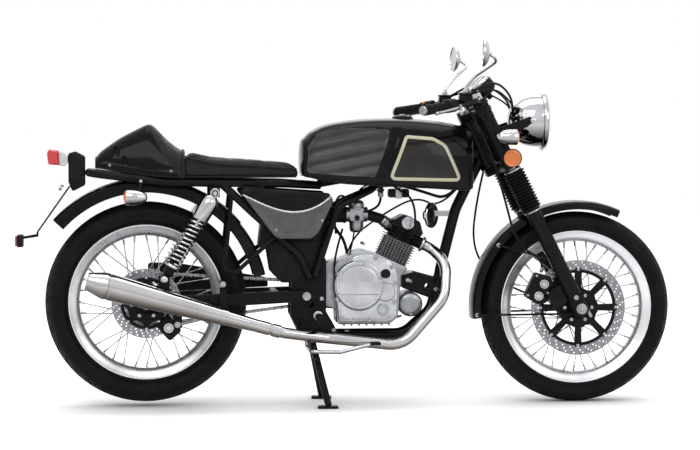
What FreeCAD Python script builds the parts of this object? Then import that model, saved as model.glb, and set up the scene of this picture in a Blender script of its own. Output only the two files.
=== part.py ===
import FreeCAD, Part
import math
import os
import re

import Sketcher

# Cafe racer motorcycle with a single cylinder engine, parked on its centre stand.
# X runs forward, Y to the rider's left, Z up, with the floor at zero. Places are worked out from the
# rear axle's line, and every sub-part's Placement then moves it so that the row's origin is halfway along.

V = FreeCAD.Vector
Y_AXIS = V(0, 1, 0)
doc = FreeCAD.newDocument("cafe_racer")

# Driving sizes in millimetres and degrees
SIZES = (
    ("wheelbase", 1375),
    ("rake", 26.5),
    ("fork_offset", 50),
    ("tail_reach", 409),
    ("fit_gap", 0.3),
    ("bearing_gap", 0.05),
    # wheels
    ("front_tyre_radius", 305.5),
    ("front_tyre_width", 92),
    ("rear_tyre_radius", 317),
    ("rear_tyre_width", 110),
    ("rear_tyre_lift", 14),
    ("rim_radius", 242.5),
    ("rim_width", 62),
    ("rim_depth", 34),
    ("flange_height", 15),
    ("spoke_count", 36),
    ("spoke_offset", 4),
    ("spoke_thickness", 3.6),
    ("spoke_sweep", 48),
    ("hub_barrel_radius", 34),
    ("hub_flange_radius", 56),
    ("hub_flange_spread", 36),
    ("front_hub_length", 116),
    ("front_axle_radius", 7.5),
    ("rear_axle_radius", 8.5),
    ("axle_nut_radius", 14),
    ("axle_nut_length", 12),
    # brake discs, sprocket and chain
    ("front_disc_radius", 152),
    ("front_disc_band", 30),
    ("rear_disc_radius", 109),
    ("rear_disc_band", 28),
    ("disc_thickness", 4),
    ("caliper_lug_overlap", 7.3),
    ("disc_arm_count", 8),
    ("disc_arm_width", 13),
    ("sprocket_teeth", 42),
    ("chain_pitch", 12.7),
    ("chain_line", 79),
    ("sprocket_thickness", 6),
    ("chain_width", 16),
    ("chain_slot", 9),
    ("chain_height", 13),
    ("drive_teeth", 15),
    ("drive_sprocket_x", 575),
    ("drive_sprocket_z", 352),
    # fork
    ("fork_spacing", 190),
    ("fork_tube_radius", 16.5),
    ("slider_radius", 25),
    ("slider_length", 345),
    ("gaiter_radius", 35),
    ("gaiter_length", 150),
    ("lower_clamp_height", 512),
    ("upper_clamp_height", 702),
    ("clamp_thickness", 26),
    ("fork_top_height", 772),
    ("stem_radius", 12.5),
    ("head_tube_radius", 27),
    # headlamp, dials and bars
    ("headlamp_radius", 89),
    ("headlamp_depth", 122),
    ("headlamp_face_x", 1277),
    ("headlamp_height", 902),
    ("dial_radius", 40),
    ("dial_depth", 52),
    ("dial_spacing", 92),
    ("bar_radius", 11),
    ("bar_end_x", 838),
    ("bar_end_y", 352),
    ("bar_end_z", 932),
    ("grip_radius", 16),
    ("grip_length", 118),
    ("mirror_radius", 42),
    ("mirror_x", 1030),
    ("mirror_y", 318),
    ("mirror_z", 1108),
    # mudguards
    ("front_guard_radius", 342),
    ("front_guard_width", 112),
    ("front_guard_start", 66),
    ("front_guard_sweep", 120),
    ("rear_guard_radius", 391),
    ("rear_guard_width", 140),
    ("rear_guard_start", 40),
    ("rear_guard_sweep", 98),
    ("guard_lip", 20),
    ("guard_wall", 2.5),
    # frame
    ("main_tube_radius", 20),
    ("down_tube_radius", 17),
    ("rail_radius", 12.5),
    ("backbone_rear_x", 560),
    ("backbone_rear_z", 712),
    ("seat_rail_y", 98),
    ("seat_rail_z", 710),
    ("rail_end", 177),
    ("rear_peg_x", 238),
    ("rear_peg_z", 392),
    ("pivot_x", 500),
    ("pivot_z", 352),
    ("pivot_radius", 9),
    ("plate_thickness", 8),
    ("cradle_z", 222),
    # swinging arm and shock absorbers
    ("arm_y", 98),
    ("arm_width", 26),
    ("arm_height", 42),
    ("shock_y", 134),
    ("shock_top_x", 213),
    ("shock_top_z", 677),
    ("shock_foot_x", 55),
    ("shock_foot_z", 409),
    ("shock_radius", 25),
    ("shock_eye_radius", 15),
    ("shock_bolt_radius", 6),
    # engine
    ("crank_x", 727),
    ("crank_z", 352),
    ("crankcase_half_width", 70),
    ("neck_half_width", 52),
    ("cylinder_lean", 25),
    ("clutch_x", 668),
    ("clutch_z", 382),
    ("clutch_radius", 75),
    ("magneto_radius", 68),
    ("starter_x", 834),
    ("starter_z", 344),
    ("starter_radius", 39),
    ("cylinder_base", 118),
    ("fin_count", 8),
    ("fin_pitch", 8.4),
    ("fin_thickness", 3),
    ("fin_length", 108),
    ("fin_width", 116),
    ("barrel_radius", 38),
    ("head_height", 74),
    ("carburettor_x", 668),
    # exhaust
    ("header_radius", 17.5),
    ("silencer_front_radius", 20),
    ("silencer_radius", 42.5),
    ("silencer_y", 185),
    ("silencer_tail_x", 183),
    ("silencer_tail_z", 410),
    ("silencer_rise", 15.4),
    ("silencer_length", 585),
    ("outlet_depth", 60),
    # bodywork
    ("tank_length", 534),
    ("tank_front_x", 1029),
    ("tank_half_width", 126),
    ("tank_top_z", 908),
    ("tunnel_half_width", 34),
    ("seat_half_width", 112),
    ("side_cover_y", 116),
    ("side_cover_thickness", 12),
    # lamps
    ("indicator_radius", 25),
    ("indicator_y", 158),
    ("side_reflector_radius", 30),
    # centre stand
    ("stand_pivot_x", 515),
    ("stand_pivot_z", 254),
    ("stand_pin_radius", 8),
    ("stand_tube_radius", 11),
    ("stand_foot_x", 566),
    ("stand_foot_y", 128),
)
NAMES = {alias for alias, value in SIZES}
sheet = doc.addObject("Spreadsheet::Sheet", "sizes")
for row, (alias, value) in enumerate(SIZES, start=1):
    sheet.set(f"A{row}", alias)
    sheet.set(f"B{row}", str(value))
    sheet.setAlias(f"B{row}", alias)
doc.recompute()

# Places that several pieces share, written with the sizes' names
MIDDLE_X = "((wheelbase + front_tyre_radius - tail_reach) / 2)"
REAR_AXLE_Z = "(rear_tyre_radius + rear_tyre_lift)"
SPOKE_BED = "(rim_radius - rim_depth)"
SPROCKET_PITCH_RADIUS = "(chain_pitch / (2 * sin(180 / sprocket_teeth)))"
DRIVE_PITCH_RADIUS = "(chain_pitch / (2 * sin(180 / drive_teeth)))"
REAR_HUB_LENGTH = "(2 * (chain_line - sprocket_thickness / 2 - fit_gap))"
PLATE_Y = "(neck_half_width + fit_gap + plate_thickness / 2)"
FRONT_DISC_Y = "(0 - front_hub_length / 2 - fit_gap - disc_thickness / 2)"
REAR_DISC_Y = f"(0 - {REAR_HUB_LENGTH} / 2 - fit_gap - disc_thickness / 2)"
TANK_REAR = "(tank_front_x - tank_length)"


def bound(text):
    """The same formula with each size's name led by the sheet's name."""
    return re.sub(r"[a-z_]+", lambda word: ("sizes." if word.group() in NAMES else "") + word.group(), text)


def number(text):
    """What a formula of sizes comes to."""
    return float(sheet.evalExpression(bound(str(text))))


parts = {}


def sub_part(item, label):
    """Names a finished sub-part."""
    item.Label = label
    parts[label] = item
    return item


def place(item, x="0", y="0", z="0", shifted=True):
    """Binds where a piece stands. A piece inside another keeps the rear axle's line as its start."""
    middle = MIDDLE_X if shifted else "0"
    item.setExpression("Placement.Base.x", bound(f"{x} - {middle}"))
    item.setExpression("Placement.Base.y", bound(y))
    item.setExpression("Placement.Base.z", bound(z))
    return item


def turn(item, axis, angle):
    """Binds how far a piece is turned about an axis."""
    item.Placement = FreeCAD.Placement(V(), FreeCAD.Rotation(axis, number(angle)))
    item.setExpression("Placement.Rotation.Angle", bound(angle))
    return item


def fork_x(x, z):
    """X of a place given along and ahead of the fork leg, from the front axle."""
    return f"(wheelbase + cos(rake) * ({x}) - sin(rake) * ({z}))"


def fork_z(x, z):
    """Height of a place given along and ahead of the fork leg, from the front axle."""
    return f"(front_tyre_radius + sin(rake) * ({x}) + cos(rake) * ({z}))"


def fork_point(x, y, z):
    return V(number(fork_x(x, z)), number(y), number(fork_z(x, z)))


def on_fork(item, x="0", y="0", z="0", shifted=True):
    """Stands a piece in line with the fork leg."""
    turn(item, Y_AXIS, "0 - rake")
    return place(item, fork_x(x, z), y, fork_z(x, z), shifted)


def origin_feature(body, role):
    return next(item for item in body.Origin.OriginFeatures if item.Role == role)


def new_body(name):
    return doc.addObject("PartDesign::Body", name)


def sketch_on(body, name, role, shift="0"):
    sketch = body.newObject("Sketcher::SketchObject", name)
    sketch.AttachmentSupport = [(origin_feature(body, role), "")]
    sketch.MapMode = "FlatFace"
    sketch.setExpression("AttachmentOffset.Base.z", bound(shift))
    return sketch


def bind_rows(sketch, rows):
    """Adds constraints whose values follow the sheet."""
    first = sketch.ConstraintCount
    sketch.addConstraint([Sketcher.Constraint(*row, number(text)) for row, text in rows])
    for step, (row, text) in enumerate(rows):
        sketch.setExpression(f"Constraints[{first + step}]", bound(text))


def draw(sketch, points):
    """A closed outline. A point is (x, y), or (x, y, radius) where an arc leads from it to the next one.

    The arc turns left with a positive radius and right with a negative one.
    """
    count = len(points)
    places = [V(number(point[0]), number(point[1]), 0) for point in points]
    first = sketch.GeometryCount
    edges, ends = [], []
    for i, point in enumerate(points):
        start, end = places[i], places[(i + 1) % count]
        if len(point) == 2:
            edges.append(Part.LineSegment(start, end))
            ends.append((1, 2))
            continue
        radius = number(point[2])
        half = (end - start) * 0.5
        away = math.sqrt(max(radius * radius - half.Length**2, 0.0))
        side = V(-half.y, half.x, 0).normalize() * math.copysign(away, radius)
        centre = start + half + side
        outward = (start + half - centre).normalize() * abs(radius)
        edges.append(Part.Arc(start, centre + outward, end))
        ends.append((1, 2) if radius > 0 else (2, 1))
    sketch.addGeometry(edges, False)
    joins, rows = [], []
    for i, point in enumerate(points):
        after = (i + 1) % count
        joins.append(Sketcher.Constraint("Coincident", first + i, ends[i][1], first + after, ends[after][0]))
        rows.append((("DistanceX", -1, 1, first + i, ends[i][0]), str(point[0])))
        rows.append((("DistanceY", -1, 1, first + i, ends[i][0]), str(point[1])))
        if len(point) == 3:
            rows.append((("Radius", first + i), str(point[2]).lstrip("-")))
    sketch.addConstraint(joins)
    bind_rows(sketch, rows)
    return sketch


def circle(sketch, x, y, radius):
    index = sketch.addGeometry(Part.Circle(V(number(x), number(y), 0), V(0, 0, 1), number(radius)), False)
    across, above = ("DistanceX", -1, 1, index, 3), ("DistanceY", -1, 1, index, 3)
    rows = [(across, x), (above, y), (("Radius", index), radius)]
    bind_rows(sketch, rows)
    return sketch


def pad(body, sketch, length, midplane=True):
    feature = body.newObject("PartDesign::Pad", sketch.Name + "_pad")
    feature.Profile = sketch
    feature.SideType = "Symmetric" if midplane else "One side"
    feature.Length = number(length)
    feature.setExpression("Length", bound(length))
    return feature


def pocket(body, sketch, length):
    feature = body.newObject("PartDesign::Pocket", sketch.Name + "_cut")
    feature.Profile = sketch
    feature.SideType = "Symmetric"
    feature.Length = number(length)
    feature.setExpression("Length", bound(length))
    return feature


def spin(body, sketch, axis="V_Axis", angle="360"):
    feature = body.newObject("PartDesign::Revolution", sketch.Name + "_spin")
    feature.Profile = sketch
    feature.ReferenceAxis = (sketch, [axis])
    feature.Angle = number(angle)
    feature.setExpression("Angle", bound(angle))
    return feature


def around(body, feature, count, role="Y_Axis"):
    """Repeats a feature around one of the body's own axes."""
    pattern = body.newObject("PartDesign::PolarPattern", feature.Name + "_ring")
    pattern.Originals = [feature]
    pattern.Axis = (origin_feature(body, role), [""])
    pattern.Angle = 360
    pattern.Occurrences = int(number(count))
    pattern.setExpression("Occurrences", bound(count))
    body.Tip = pattern
    return pattern


def side_plate(name, points, thickness, holes=()):
    """A flat plate seen from the side, centred on its own mid-plane. A hole is (x, z, radius)."""
    body = new_body(name)
    sketch = draw(sketch_on(body, name + "_outline", "XZ_Plane"), points)
    for x, z, radius in holes:
        circle(sketch, x, z, radius)
    pad(body, sketch, thickness)
    return body


def turned(name, points, role="XY_Plane", axis="V_Axis", angle="360"):
    """A turned piece. On the XY plane its axis is Y, as wheels have."""
    body = new_body(name)
    sketch = draw(sketch_on(body, name + "_section", role), points)
    spin(body, sketch, axis, angle)
    return body


def both_sides(item, name):
    """The piece and its mirror image on the other side of the motorcycle."""
    mirror = doc.addObject("Part::Mirroring", name + "_mirror")
    mirror.Source = item
    mirror.Normal = Y_AXIS
    return compound([item, mirror], name)


def compound(items, name):
    group = doc.addObject("Part::Compound", name)
    group.Links = items
    return group


def fused(items, name):
    result = doc.addObject("Part::MultiFuse", name)
    result.Shapes = items
    return result


def feature_of(shape, name):
    item = doc.addObject("Part::Feature", name)
    item.Shape = shape if shape.Placement.isIdentity() else Part.makeCompound([shape])
    return item


def bent_points(points, bend):
    """Straight runs with each corner cut by a short run, as a gentle bend of this radius is."""
    result = [points[0]]
    for before, corner, after in zip(points, points[1:], points[2:]):
        back, ahead = before - corner, after - corner
        half_turn = (math.pi - back.getAngle(ahead)) / 2
        reach = min(bend * math.tan(half_turn), 0.45 * min(back.Length, ahead.Length))
        result.append(corner + V(back).normalize() * reach)
        result.append(corner + V(ahead).normalize() * reach)
    return result + [points[-1]]


def across_middle(corners, width):
    """A flat-sided block of this width about the middle plane, from its outline's corners."""
    face = Part.Face(Part.makePolygon(corners + corners[:1]))
    return face.extrude(V(0, width, 0)).translated(V(0, -width / 2, 0))


def tube(points, radius, bend=None):
    """A round bar along straight runs with mitred corners, or with eased ones where a bend radius is given."""
    line = bent_points(points, bend) if bend else points
    ways = [(end - start).normalize() for start, end in zip(line, line[1:])]
    last = len(ways) - 1
    side = 4 * radius
    runs = []
    for i, way in enumerate(ways):
        start, end = line[i], line[i + 1]
        run = rod(start - way * (radius if i else 0), end + way * (radius if i < last else 0), radius)
        mitres = []
        if i:
            mitres.append((start, V(way + ways[i - 1]) * -1))
        if i < last:
            mitres.append((end, way + ways[i + 1]))
        for corner, facing in mitres:
            waste = Part.makeBox(side, side, side, V(-side / 2, -side / 2, 0))
            waste.Placement = FreeCAD.Placement(corner, FreeCAD.Rotation(V(0, 0, 1), facing))
            run = run.cut(waste)
        runs.append(run)
    return runs[0].fuse(runs[1:]).Solids[0] if last else runs[0]


def rod(start, end, radius):
    return Part.makeCylinder(radius, (end - start).Length, start, end - start)


def mirrored_y(shape):
    return shape.mirror(V(), Y_AXIS)


def tyre(label, radius, width):
    """Tyre seated between the rim's flanges, with upright side walls, shoulders and a flat-topped crown."""
    height = f"({radius} - rim_radius)"
    half = [
        ("rim_radius + fit_gap", f"{width} * 0.5"),
        (f"rim_radius + {height} * 0.55", f"{width} * 0.5"),
        (radius, f"{width} * 0.22"),
    ]
    other = [(x, f"0 - {y}") for x, y in reversed(half)]
    return sub_part(turned(label, half + other), label)


def spoke_bar(start, end, across):
    """A slim four-sided bar from one point to another."""
    along = (end - start).normalize()
    side = along.cross(Y_AXIS).normalize() * (across / 2)
    up = V(along).cross(V(side).normalize()) * (across / 2)
    corners = [start + side + up, start - side + up, start - side - up, start + side - up]
    return Part.Face(Part.makePolygon(corners + corners[:1])).extrude(end - start)


def spoked_wheel(label, hub_length, axle_radius):
    """Rim, hub with two flanges, and crossed wire spokes between them."""
    rim = [
        (SPOKE_BED, "12"),
        (SPOKE_BED, "-12"),
        ("rim_radius", "0 - rim_width / 2"),
        ("rim_radius", "rim_width / 2"),
    ]
    hub_half = [
        (f"{axle_radius} + bearing_gap", f"{hub_length} / 2"),
        ("hub_barrel_radius", f"{hub_length} / 2"),
        ("hub_barrel_radius", "hub_flange_spread + 4"),
        ("hub_flange_radius", "hub_flange_spread + 4"),
        ("hub_flange_radius", "hub_flange_spread - 4"),
        ("hub_barrel_radius", "hub_flange_spread - 4"),
    ]
    hub = hub_half + [(x, f"0 - ({y})") for x, y in reversed(hub_half)]
    pieces = [turned(label + "_rim", rim), turned(label + "_hub", hub)]
    count = int(number("spoke_count"))
    across = number("spoke_thickness")
    sweep = number("spoke_sweep")
    hub_radius = number("hub_flange_radius + fit_gap + spoke_thickness * 0.5")
    bed = number(f"{SPOKE_BED} - fit_gap - spoke_thickness * 0.25")
    spokes = []
    for i in range(count):
        side = 1 if i % 2 else -1
        lead = 1 if (i // 2) % 2 else -1
        rim_angle = math.radians(360 * i / count)
        hub_angle = rim_angle + math.radians(sweep * lead)
        hub_y = side * (number("hub_flange_spread") + lead * number("spoke_offset"))
        start = V(hub_radius * math.cos(hub_angle), hub_y, hub_radius * math.sin(hub_angle))
        bed_y = side * number(f"spoke_offset * (1.7 + {lead})")
        end = V(bed * math.cos(rim_angle), bed_y, bed * math.sin(rim_angle))
        spokes.append(spoke_bar(start, end, across))
    pieces.append(feature_of(Part.makeCompound(spokes), label + "_spokes"))
    return sub_part(compound(pieces, label), label)


def brake_disc(label, radius, band, bolt_circle, y):
    """Flat disc whose braking band is carried by arms from a bolted centre ring."""
    body = new_body(label)
    ring = sketch_on(body, label + "_ring", "XZ_Plane")
    circle(ring, "0", "0", radius)
    circle(ring, "0", "0", f"{radius} - {band}")
    pad(body, ring, "disc_thickness")
    centre = sketch_on(body, label + "_centre", "XZ_Plane")
    circle(centre, "0", "0", bolt_circle)
    circle(centre, "0", "0", "axle_nut_radius + 12")
    pad(body, centre, "disc_thickness")
    arm = sketch_on(body, label + "_arm", "XZ_Plane")
    inner, outer = f"{bolt_circle} - 3", f"{radius} - {band} + 3"
    lean = "disc_arm_width"
    draw(arm, [
        (inner, f"0 - {lean} / 2"),
        (outer, f"{lean} / 2"),
        (outer, f"{lean} * 1.5"),
        (inner, f"{lean} / 2"),
    ])
    around(body, pad(body, arm, "disc_thickness"), "disc_arm_count")
    return place_later(sub_part(body, label), y)


def place_later(item, y):
    item.setExpression("Placement.Base.y", bound(y))
    return item


def on_axle(item, x, z):
    """Puts a wheel piece on its axle's line, and keeps its own place across the motorcycle."""
    item.setExpression("Placement.Base.x", bound(f"{x} - {MIDDLE_X}"))
    item.setExpression("Placement.Base.z", bound(z))


def wheels():
    front = [tyre("front_tyre", "front_tyre_radius", "front_tyre_width")]
    front.append(spoked_wheel("front_wheel", "front_hub_length", "front_axle_radius"))
    flange = "hub_flange_radius"
    front.append(brake_disc("front_disc", "front_disc_radius", "front_disc_band", flange, FRONT_DISC_Y))
    for item in front:
        on_axle(item, "wheelbase", "front_tyre_radius")
    rear = [tyre("rear_tyre", "rear_tyre_radius", "rear_tyre_width")]
    rear.append(spoked_wheel("rear_wheel", REAR_HUB_LENGTH, "rear_axle_radius"))
    rear.append(brake_disc("rear_disc", "rear_disc_radius", "rear_disc_band", flange, REAR_DISC_Y))
    rear.append(sprocket())
    for item in rear:
        on_axle(item, "0", REAR_AXLE_Z)


def sprocket():
    """Rear sprocket, whose toothed edge runs in the slot between the chain's side plates."""
    body = new_body("rear_sprocket")
    plate = sketch_on(body, "sprocket_plate", "XZ_Plane")
    root = f"{SPROCKET_PITCH_RADIUS} - 3"
    circle(plate, "0", "0", root)
    circle(plate, "0", "0", "hub_barrel_radius - 8")
    pad(body, plate, "sprocket_thickness")
    tooth = sketch_on(body, "sprocket_tooth", "XZ_Plane")
    tip = f"{SPROCKET_PITCH_RADIUS} + 3"
    draw(tooth, [(f"{root} - 1", "-3.4"), (tip, "-1.2"), (tip, "1.2"), (f"{root} - 1", "3.4")])
    around(body, pad(body, tooth, "sprocket_thickness"), "sprocket_teeth")
    windows = sketch_on(body, "sprocket_window", "XZ_Plane")
    circle(windows, f"{SPROCKET_PITCH_RADIUS} - 24", "0", "9")
    window_ring = pocket(body, windows, "20")
    around(body, window_ring, "6")
    return place_later(sub_part(body, "rear_sprocket"), "chain_line")


def axles():
    """Axles with their spacers and nuts. They carry the hubs and are held by the fork legs and the arms."""
    for label, radius, hub, reach, x, z in (
        ("front_axle", "front_axle_radius", "front_hub_length", "fork_spacing / 2 + slider_radius", "wheelbase",
         "front_tyre_radius"),
        ("rear_axle", "rear_axle_radius", REAR_HUB_LENGTH, "arm_y + arm_width / 2", "0", REAR_AXLE_Z),
    ):
        inner = "fork_spacing / 2 - slider_radius" if label == "front_axle" else "arm_y - arm_width / 2"
        half = [
            (radius, f"{hub} / 2 + 1"),
            ("axle_nut_radius - 1", f"{hub} / 2 + 1"),
            ("axle_nut_radius - 1", f"{inner} - fit_gap"),
            (radius, f"{inner} - fit_gap"),
            (radius, f"{reach} + fit_gap"),
            ("axle_nut_radius", f"{reach} + fit_gap"),
            ("axle_nut_radius", f"{reach} + fit_gap + axle_nut_length"),
            ("0", f"{reach} + fit_gap + axle_nut_length"),
        ]
        points = half + [(r, f"0 - ({y})") for r, y in reversed(half)]
        item = sub_part(turned(label, points), label)
        on_axle(item, x, z)


def chain():
    """Drive chain as one fixed loop: two side bands joined by rollers along the straight runs."""
    big, small = number(SPROCKET_PITCH_RADIUS), number(DRIVE_PITCH_RADIUS)
    rear = V(0, 0, number(REAR_AXLE_Z))
    drive = V(number("drive_sprocket_x"), 0, number("drive_sprocket_z"))
    line = drive - rear
    tilt = math.atan2(line.z, line.x)
    open_angle = math.acos((big - small) / line.Length)

    def loop(extra):
        corners = []
        for sign in (1, -1):
            angle = tilt + sign * open_angle
            out = V(math.cos(angle), 0, math.sin(angle))
            corners.append((rear + out * (big + extra), drive + out * (small + extra)))
        (top_rear, top_drive), (low_rear, low_drive) = corners
        nose = drive + V(line).normalize() * (small + extra)
        tail = rear - V(line).normalize() * (big + extra)
        return Part.Wire([
            Part.makeLine(top_rear, top_drive),
            Part.Arc(top_drive, nose, low_drive).toShape(),
            Part.makeLine(low_drive, low_rear),
            Part.Arc(low_rear, tail, top_rear).toShape(),
        ]), corners

    half_height = number("chain_height") / 2
    outer, runs = loop(half_height)
    inner = loop(-half_height)[0]
    band_width = number("(chain_width - chain_slot) / 2")
    across = V(0, band_width, 0)
    band = Part.Face(outer).extrude(across).cut(Part.Face(inner).extrude(across))
    line_y = number("chain_line")
    near = band.translated(V(0, line_y - number("chain_width / 2"), 0))
    far = band.translated(V(0, line_y + number("chain_slot / 2"), 0))
    slot = number("chain_slot")
    rollers = []
    for start, end in runs:
        inward = (rear + line * 0.5 - (start + end) * 0.5).normalize() * half_height
        for share in (0.3, 0.7):
            middle = start + (end - start) * share + inward
            rollers.append(Part.makeCylinder(4, slot + 2, middle + V(0, line_y - slot / 2 - 1, 0), Y_AXIS))
    shape = near.fuse([far] + rollers)
    place(sub_part(feature_of(shape, "chain"), "chain"))


def fork():
    """Fork legs with their bellows, and the clamps with their stem."""
    leg = turned("fork_leg", [
        ("0", "-26"),
        ("slider_radius", "-26"),
        ("slider_radius", "slider_length"),
        ("gaiter_radius", "slider_length"),
        ("gaiter_radius", "slider_length + gaiter_length"),
        ("fork_tube_radius", "slider_length + gaiter_length"),
        ("fork_tube_radius", "fork_top_height"),
        ("0", "fork_top_height"),
    ], "XZ_Plane")
    on_fork(leg, "0", "0 - fork_spacing / 2", "0", shifted=False)
    bore = doc.addObject("Part::Cylinder", "axle_bore")
    bore.setExpression("Radius", bound("front_axle_radius + fit_gap"))
    bore.setExpression("Height", bound("fork_spacing * 2"))
    turn(bore, V(1, 0, 0), "90")
    place(bore, "wheelbase", "fork_spacing", "front_tyre_radius", shifted=False)
    drilled = doc.addObject("Part::Cut", "drilled_leg")
    drilled.Base = leg
    drilled.Tool = bore
    place(sub_part(both_sides(drilled, "fork_legs"), "fork_legs"))

    clamps = new_body("fork_clamps")
    ear = "(fork_tube_radius + 9)"
    half = "(fork_spacing / 2)"
    for level in ("lower_clamp_height", "upper_clamp_height"):
        top = level[:5]
        yoke = sketch_on(clamps, top + "_yoke", "XY_Plane", level)
        draw(yoke, [
            ("0 - fork_offset - 20", "0 - 18"),
            (f"0 - {ear} + 8", f"0 - {half} - {ear}"),
            (f"{ear} - 6", f"0 - {half} - {ear}"),
            (f"{ear}", f"0 - {half} + 10"),
            ("0 - fork_offset + 34", "0 - 26"),
            ("0 - fork_offset + 34", "26"),
            (f"{ear}", f"{half} - 10"),
            (f"{ear} - 6", f"{half} + {ear}"),
            (f"0 - {ear} + 8", f"{half} + {ear}"),
            ("0 - fork_offset - 20", "18"),
        ])
        circle(yoke, "0", half, "fork_tube_radius + fit_gap")
        circle(yoke, "0", f"0 - {half}", "fork_tube_radius + fit_gap")
        pad(clamps, yoke, "clamp_thickness")
    stem = sketch_on(clamps, "stem_section", "XY_Plane", "lower_clamp_height")
    circle(stem, "0 - fork_offset", "0", "stem_radius")
    pad(clamps, stem, "upper_clamp_height - lower_clamp_height + clamp_thickness / 2 + 12", midplane=False)
    on_fork(sub_part(clamps, "fork_clamps"))


def lamp_ears():
    """Sleeves over the fork tubes between the clamps, with the ears that hold the headlamp."""
    low = "lower_clamp_height + clamp_thickness / 2 + fit_gap"
    high = "upper_clamp_height - clamp_thickness / 2 - fit_gap"
    sleeve = turned("lamp_sleeve", [
        ("fork_tube_radius + fit_gap", low),
        ("fork_tube_radius + 8", low),
        ("fork_tube_radius + 8", high),
        ("fork_tube_radius + fit_gap", high),
    ], "XZ_Plane")
    on_fork(sleeve, "0", "0 - fork_spacing / 2", "0", shifted=False)
    lug = doc.addObject("Part::Feature", "lamp_lug")
    start = fork_point("fork_tube_radius", "0 - fork_spacing / 2", "lower_clamp_height + 95")
    lamp_x = number("headlamp_face_x - headlamp_depth * 0.45")
    lug_face = [
        V(start.x, 0, start.z - 45),
        V(lamp_x - 8, 0, number("headlamp_height") - 16),
        V(lamp_x + 12, 0, number("headlamp_height")),
        V(lamp_x - 8, 0, number("headlamp_height") + 16),
        V(start.x - 30, 0, start.z + 38),
    ]
    lug.Shape = Part.Face(Part.makePolygon(lug_face + lug_face[:1])).extrude(V(0, -4, 0))
    place(lug, "0", "0 - headlamp_radius + 6 - fit_gap", "0", shifted=False)
    bored = doc.addObject("Part::Cylinder", "sleeve_bore")
    bored.setExpression("Radius", bound("fork_tube_radius + fit_gap"))
    bored.setExpression("Height", bound("upper_clamp_height"))
    on_fork(bored, "0", "0 - fork_spacing / 2", "lower_clamp_height / 2", shifted=False)
    cut = doc.addObject("Part::Cut", "trimmed_lug")
    cut.Base = lug
    cut.Tool = bored
    ear = fused([sleeve, cut], "lamp_ear")
    place(sub_part(both_sides(ear, "lamp_ears"), "lamp_ears"))


def headlamp():
    """Round headlamp: domed shell with a rim, and a shallow convex lens seated in it."""
    shell = turned("headlamp_shell", [
        ("0 - headlamp_depth", "0"),
        ("0 - 14 - fit_gap", "0"),
        ("0 - 14 - fit_gap", "headlamp_radius - 8"),
        ("0", "headlamp_radius - 8"),
        ("0", "headlamp_radius + 2"),
        ("0 - 18", "headlamp_radius + 2"),
        ("0 - 18", "headlamp_radius - 6"),
        ("0 - headlamp_depth * 0.55", "headlamp_radius - 6"),
        ("0 - headlamp_depth", "headlamp_radius * 0.4"),
    ], "XZ_Plane", "H_Axis")
    place(sub_part(shell, "headlamp_shell"), "headlamp_face_x", "0", "headlamp_height")
    lens = turned("headlamp_lens", [
        ("-14", "0"),
        ("2", "0"),
        ("2", "headlamp_radius - 8 - fit_gap"),
        ("-14", "headlamp_radius - 8 - fit_gap"),
    ], "XZ_Plane", "H_Axis")
    place(sub_part(lens, "headlamp_lens"), "headlamp_face_x", "0", "headlamp_height")


def instruments():
    """Two round dials on a bracket above the upper clamp."""
    dial = turned("dial", [
        ("0", "0"),
        ("dial_radius - 14", "0"),
        ("dial_radius", "14"),
        ("dial_radius", "dial_depth"),
        ("0", "dial_depth"),
    ], "XZ_Plane")
    turn(dial, Y_AXIS, "0 - rake - 14")
    base_z = "upper_clamp_height + clamp_thickness / 2 + 22"
    place(dial, fork_x("44", base_z), "0 - dial_spacing / 2", fork_z("44", base_z), shifted=False)
    pair = both_sides(dial, "dial_pair")
    bracket = doc.addObject("Part::Box", "dial_bracket")
    bracket.setExpression("Length", "60")
    bracket.setExpression("Width", bound("dial_spacing + 10"))
    bracket.setExpression("Height", "26")
    on_fork(bracket, "-24", "0 - dial_spacing / 2 - 5", "upper_clamp_height + clamp_thickness / 2 + fit_gap",
            shifted=False)
    place(sub_part(fused([pair, bracket], "instruments"), "instruments"))


def bar_line():
    """The right bar's start at its clamp, its knee and its end."""
    base = "upper_clamp_height + clamp_thickness / 2 + fit_gap + 12"
    start = fork_point("0", "0 - fork_spacing / 2 - fork_tube_radius - 2", base)
    end = V(number("bar_end_x"), -number("bar_end_y"), number("bar_end_z"))
    along = end - start
    return start, start + V(along.x * 0.12, along.y * 0.18, 6), end


def reservoir_corner():
    knee, end = bar_line()[1:]
    return end - (end - knee).normalize() * number("grip_length + 60") + V(4, -22, 10)


def handlebars():
    """Low clip-on bars with grips, switch housings and levers, clamped to the fork tubes."""
    ring_base = fork_point("0", "0 - fork_spacing / 2", "upper_clamp_height + clamp_thickness / 2 + fit_gap")
    up = V(-math.sin(math.radians(number("rake"))), 0, math.cos(math.radians(number("rake"))))
    ring = Part.makeCylinder(number("fork_tube_radius + 8"), 24, ring_base, up)
    hole = Part.makeCylinder(number("fork_tube_radius + fit_gap"), 80, ring_base - up * 10, up)
    start, knee, end = bar_line()
    bar = tube([start + V(0, 12, 0), knee, end], number("bar_radius"), 40)
    direction = (end - knee).normalize()
    grip = rod(end - direction * number("grip_length"), end + direction * 6, number("grip_radius"))
    housing = rod(end - direction * number("grip_length + 44"), end - direction * number("grip_length + 3"), 21)
    reservoir = Part.makeBox(40, 40, 26, reservoir_corner())
    lever_start = end - direction * number("grip_length + 30") + V(26, 0, -6)
    lever = tube([lever_start + V(-24, 4, 4), lever_start, end + V(44, 26, -8)], 5)
    side = bar.cut(hole).fuse([ring.cut(hole), grip, housing, reservoir, lever])
    both = Part.makeCompound([side, mirrored_y(side)])
    place(sub_part(feature_of(both, "handlebars"), "handlebars"))


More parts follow.
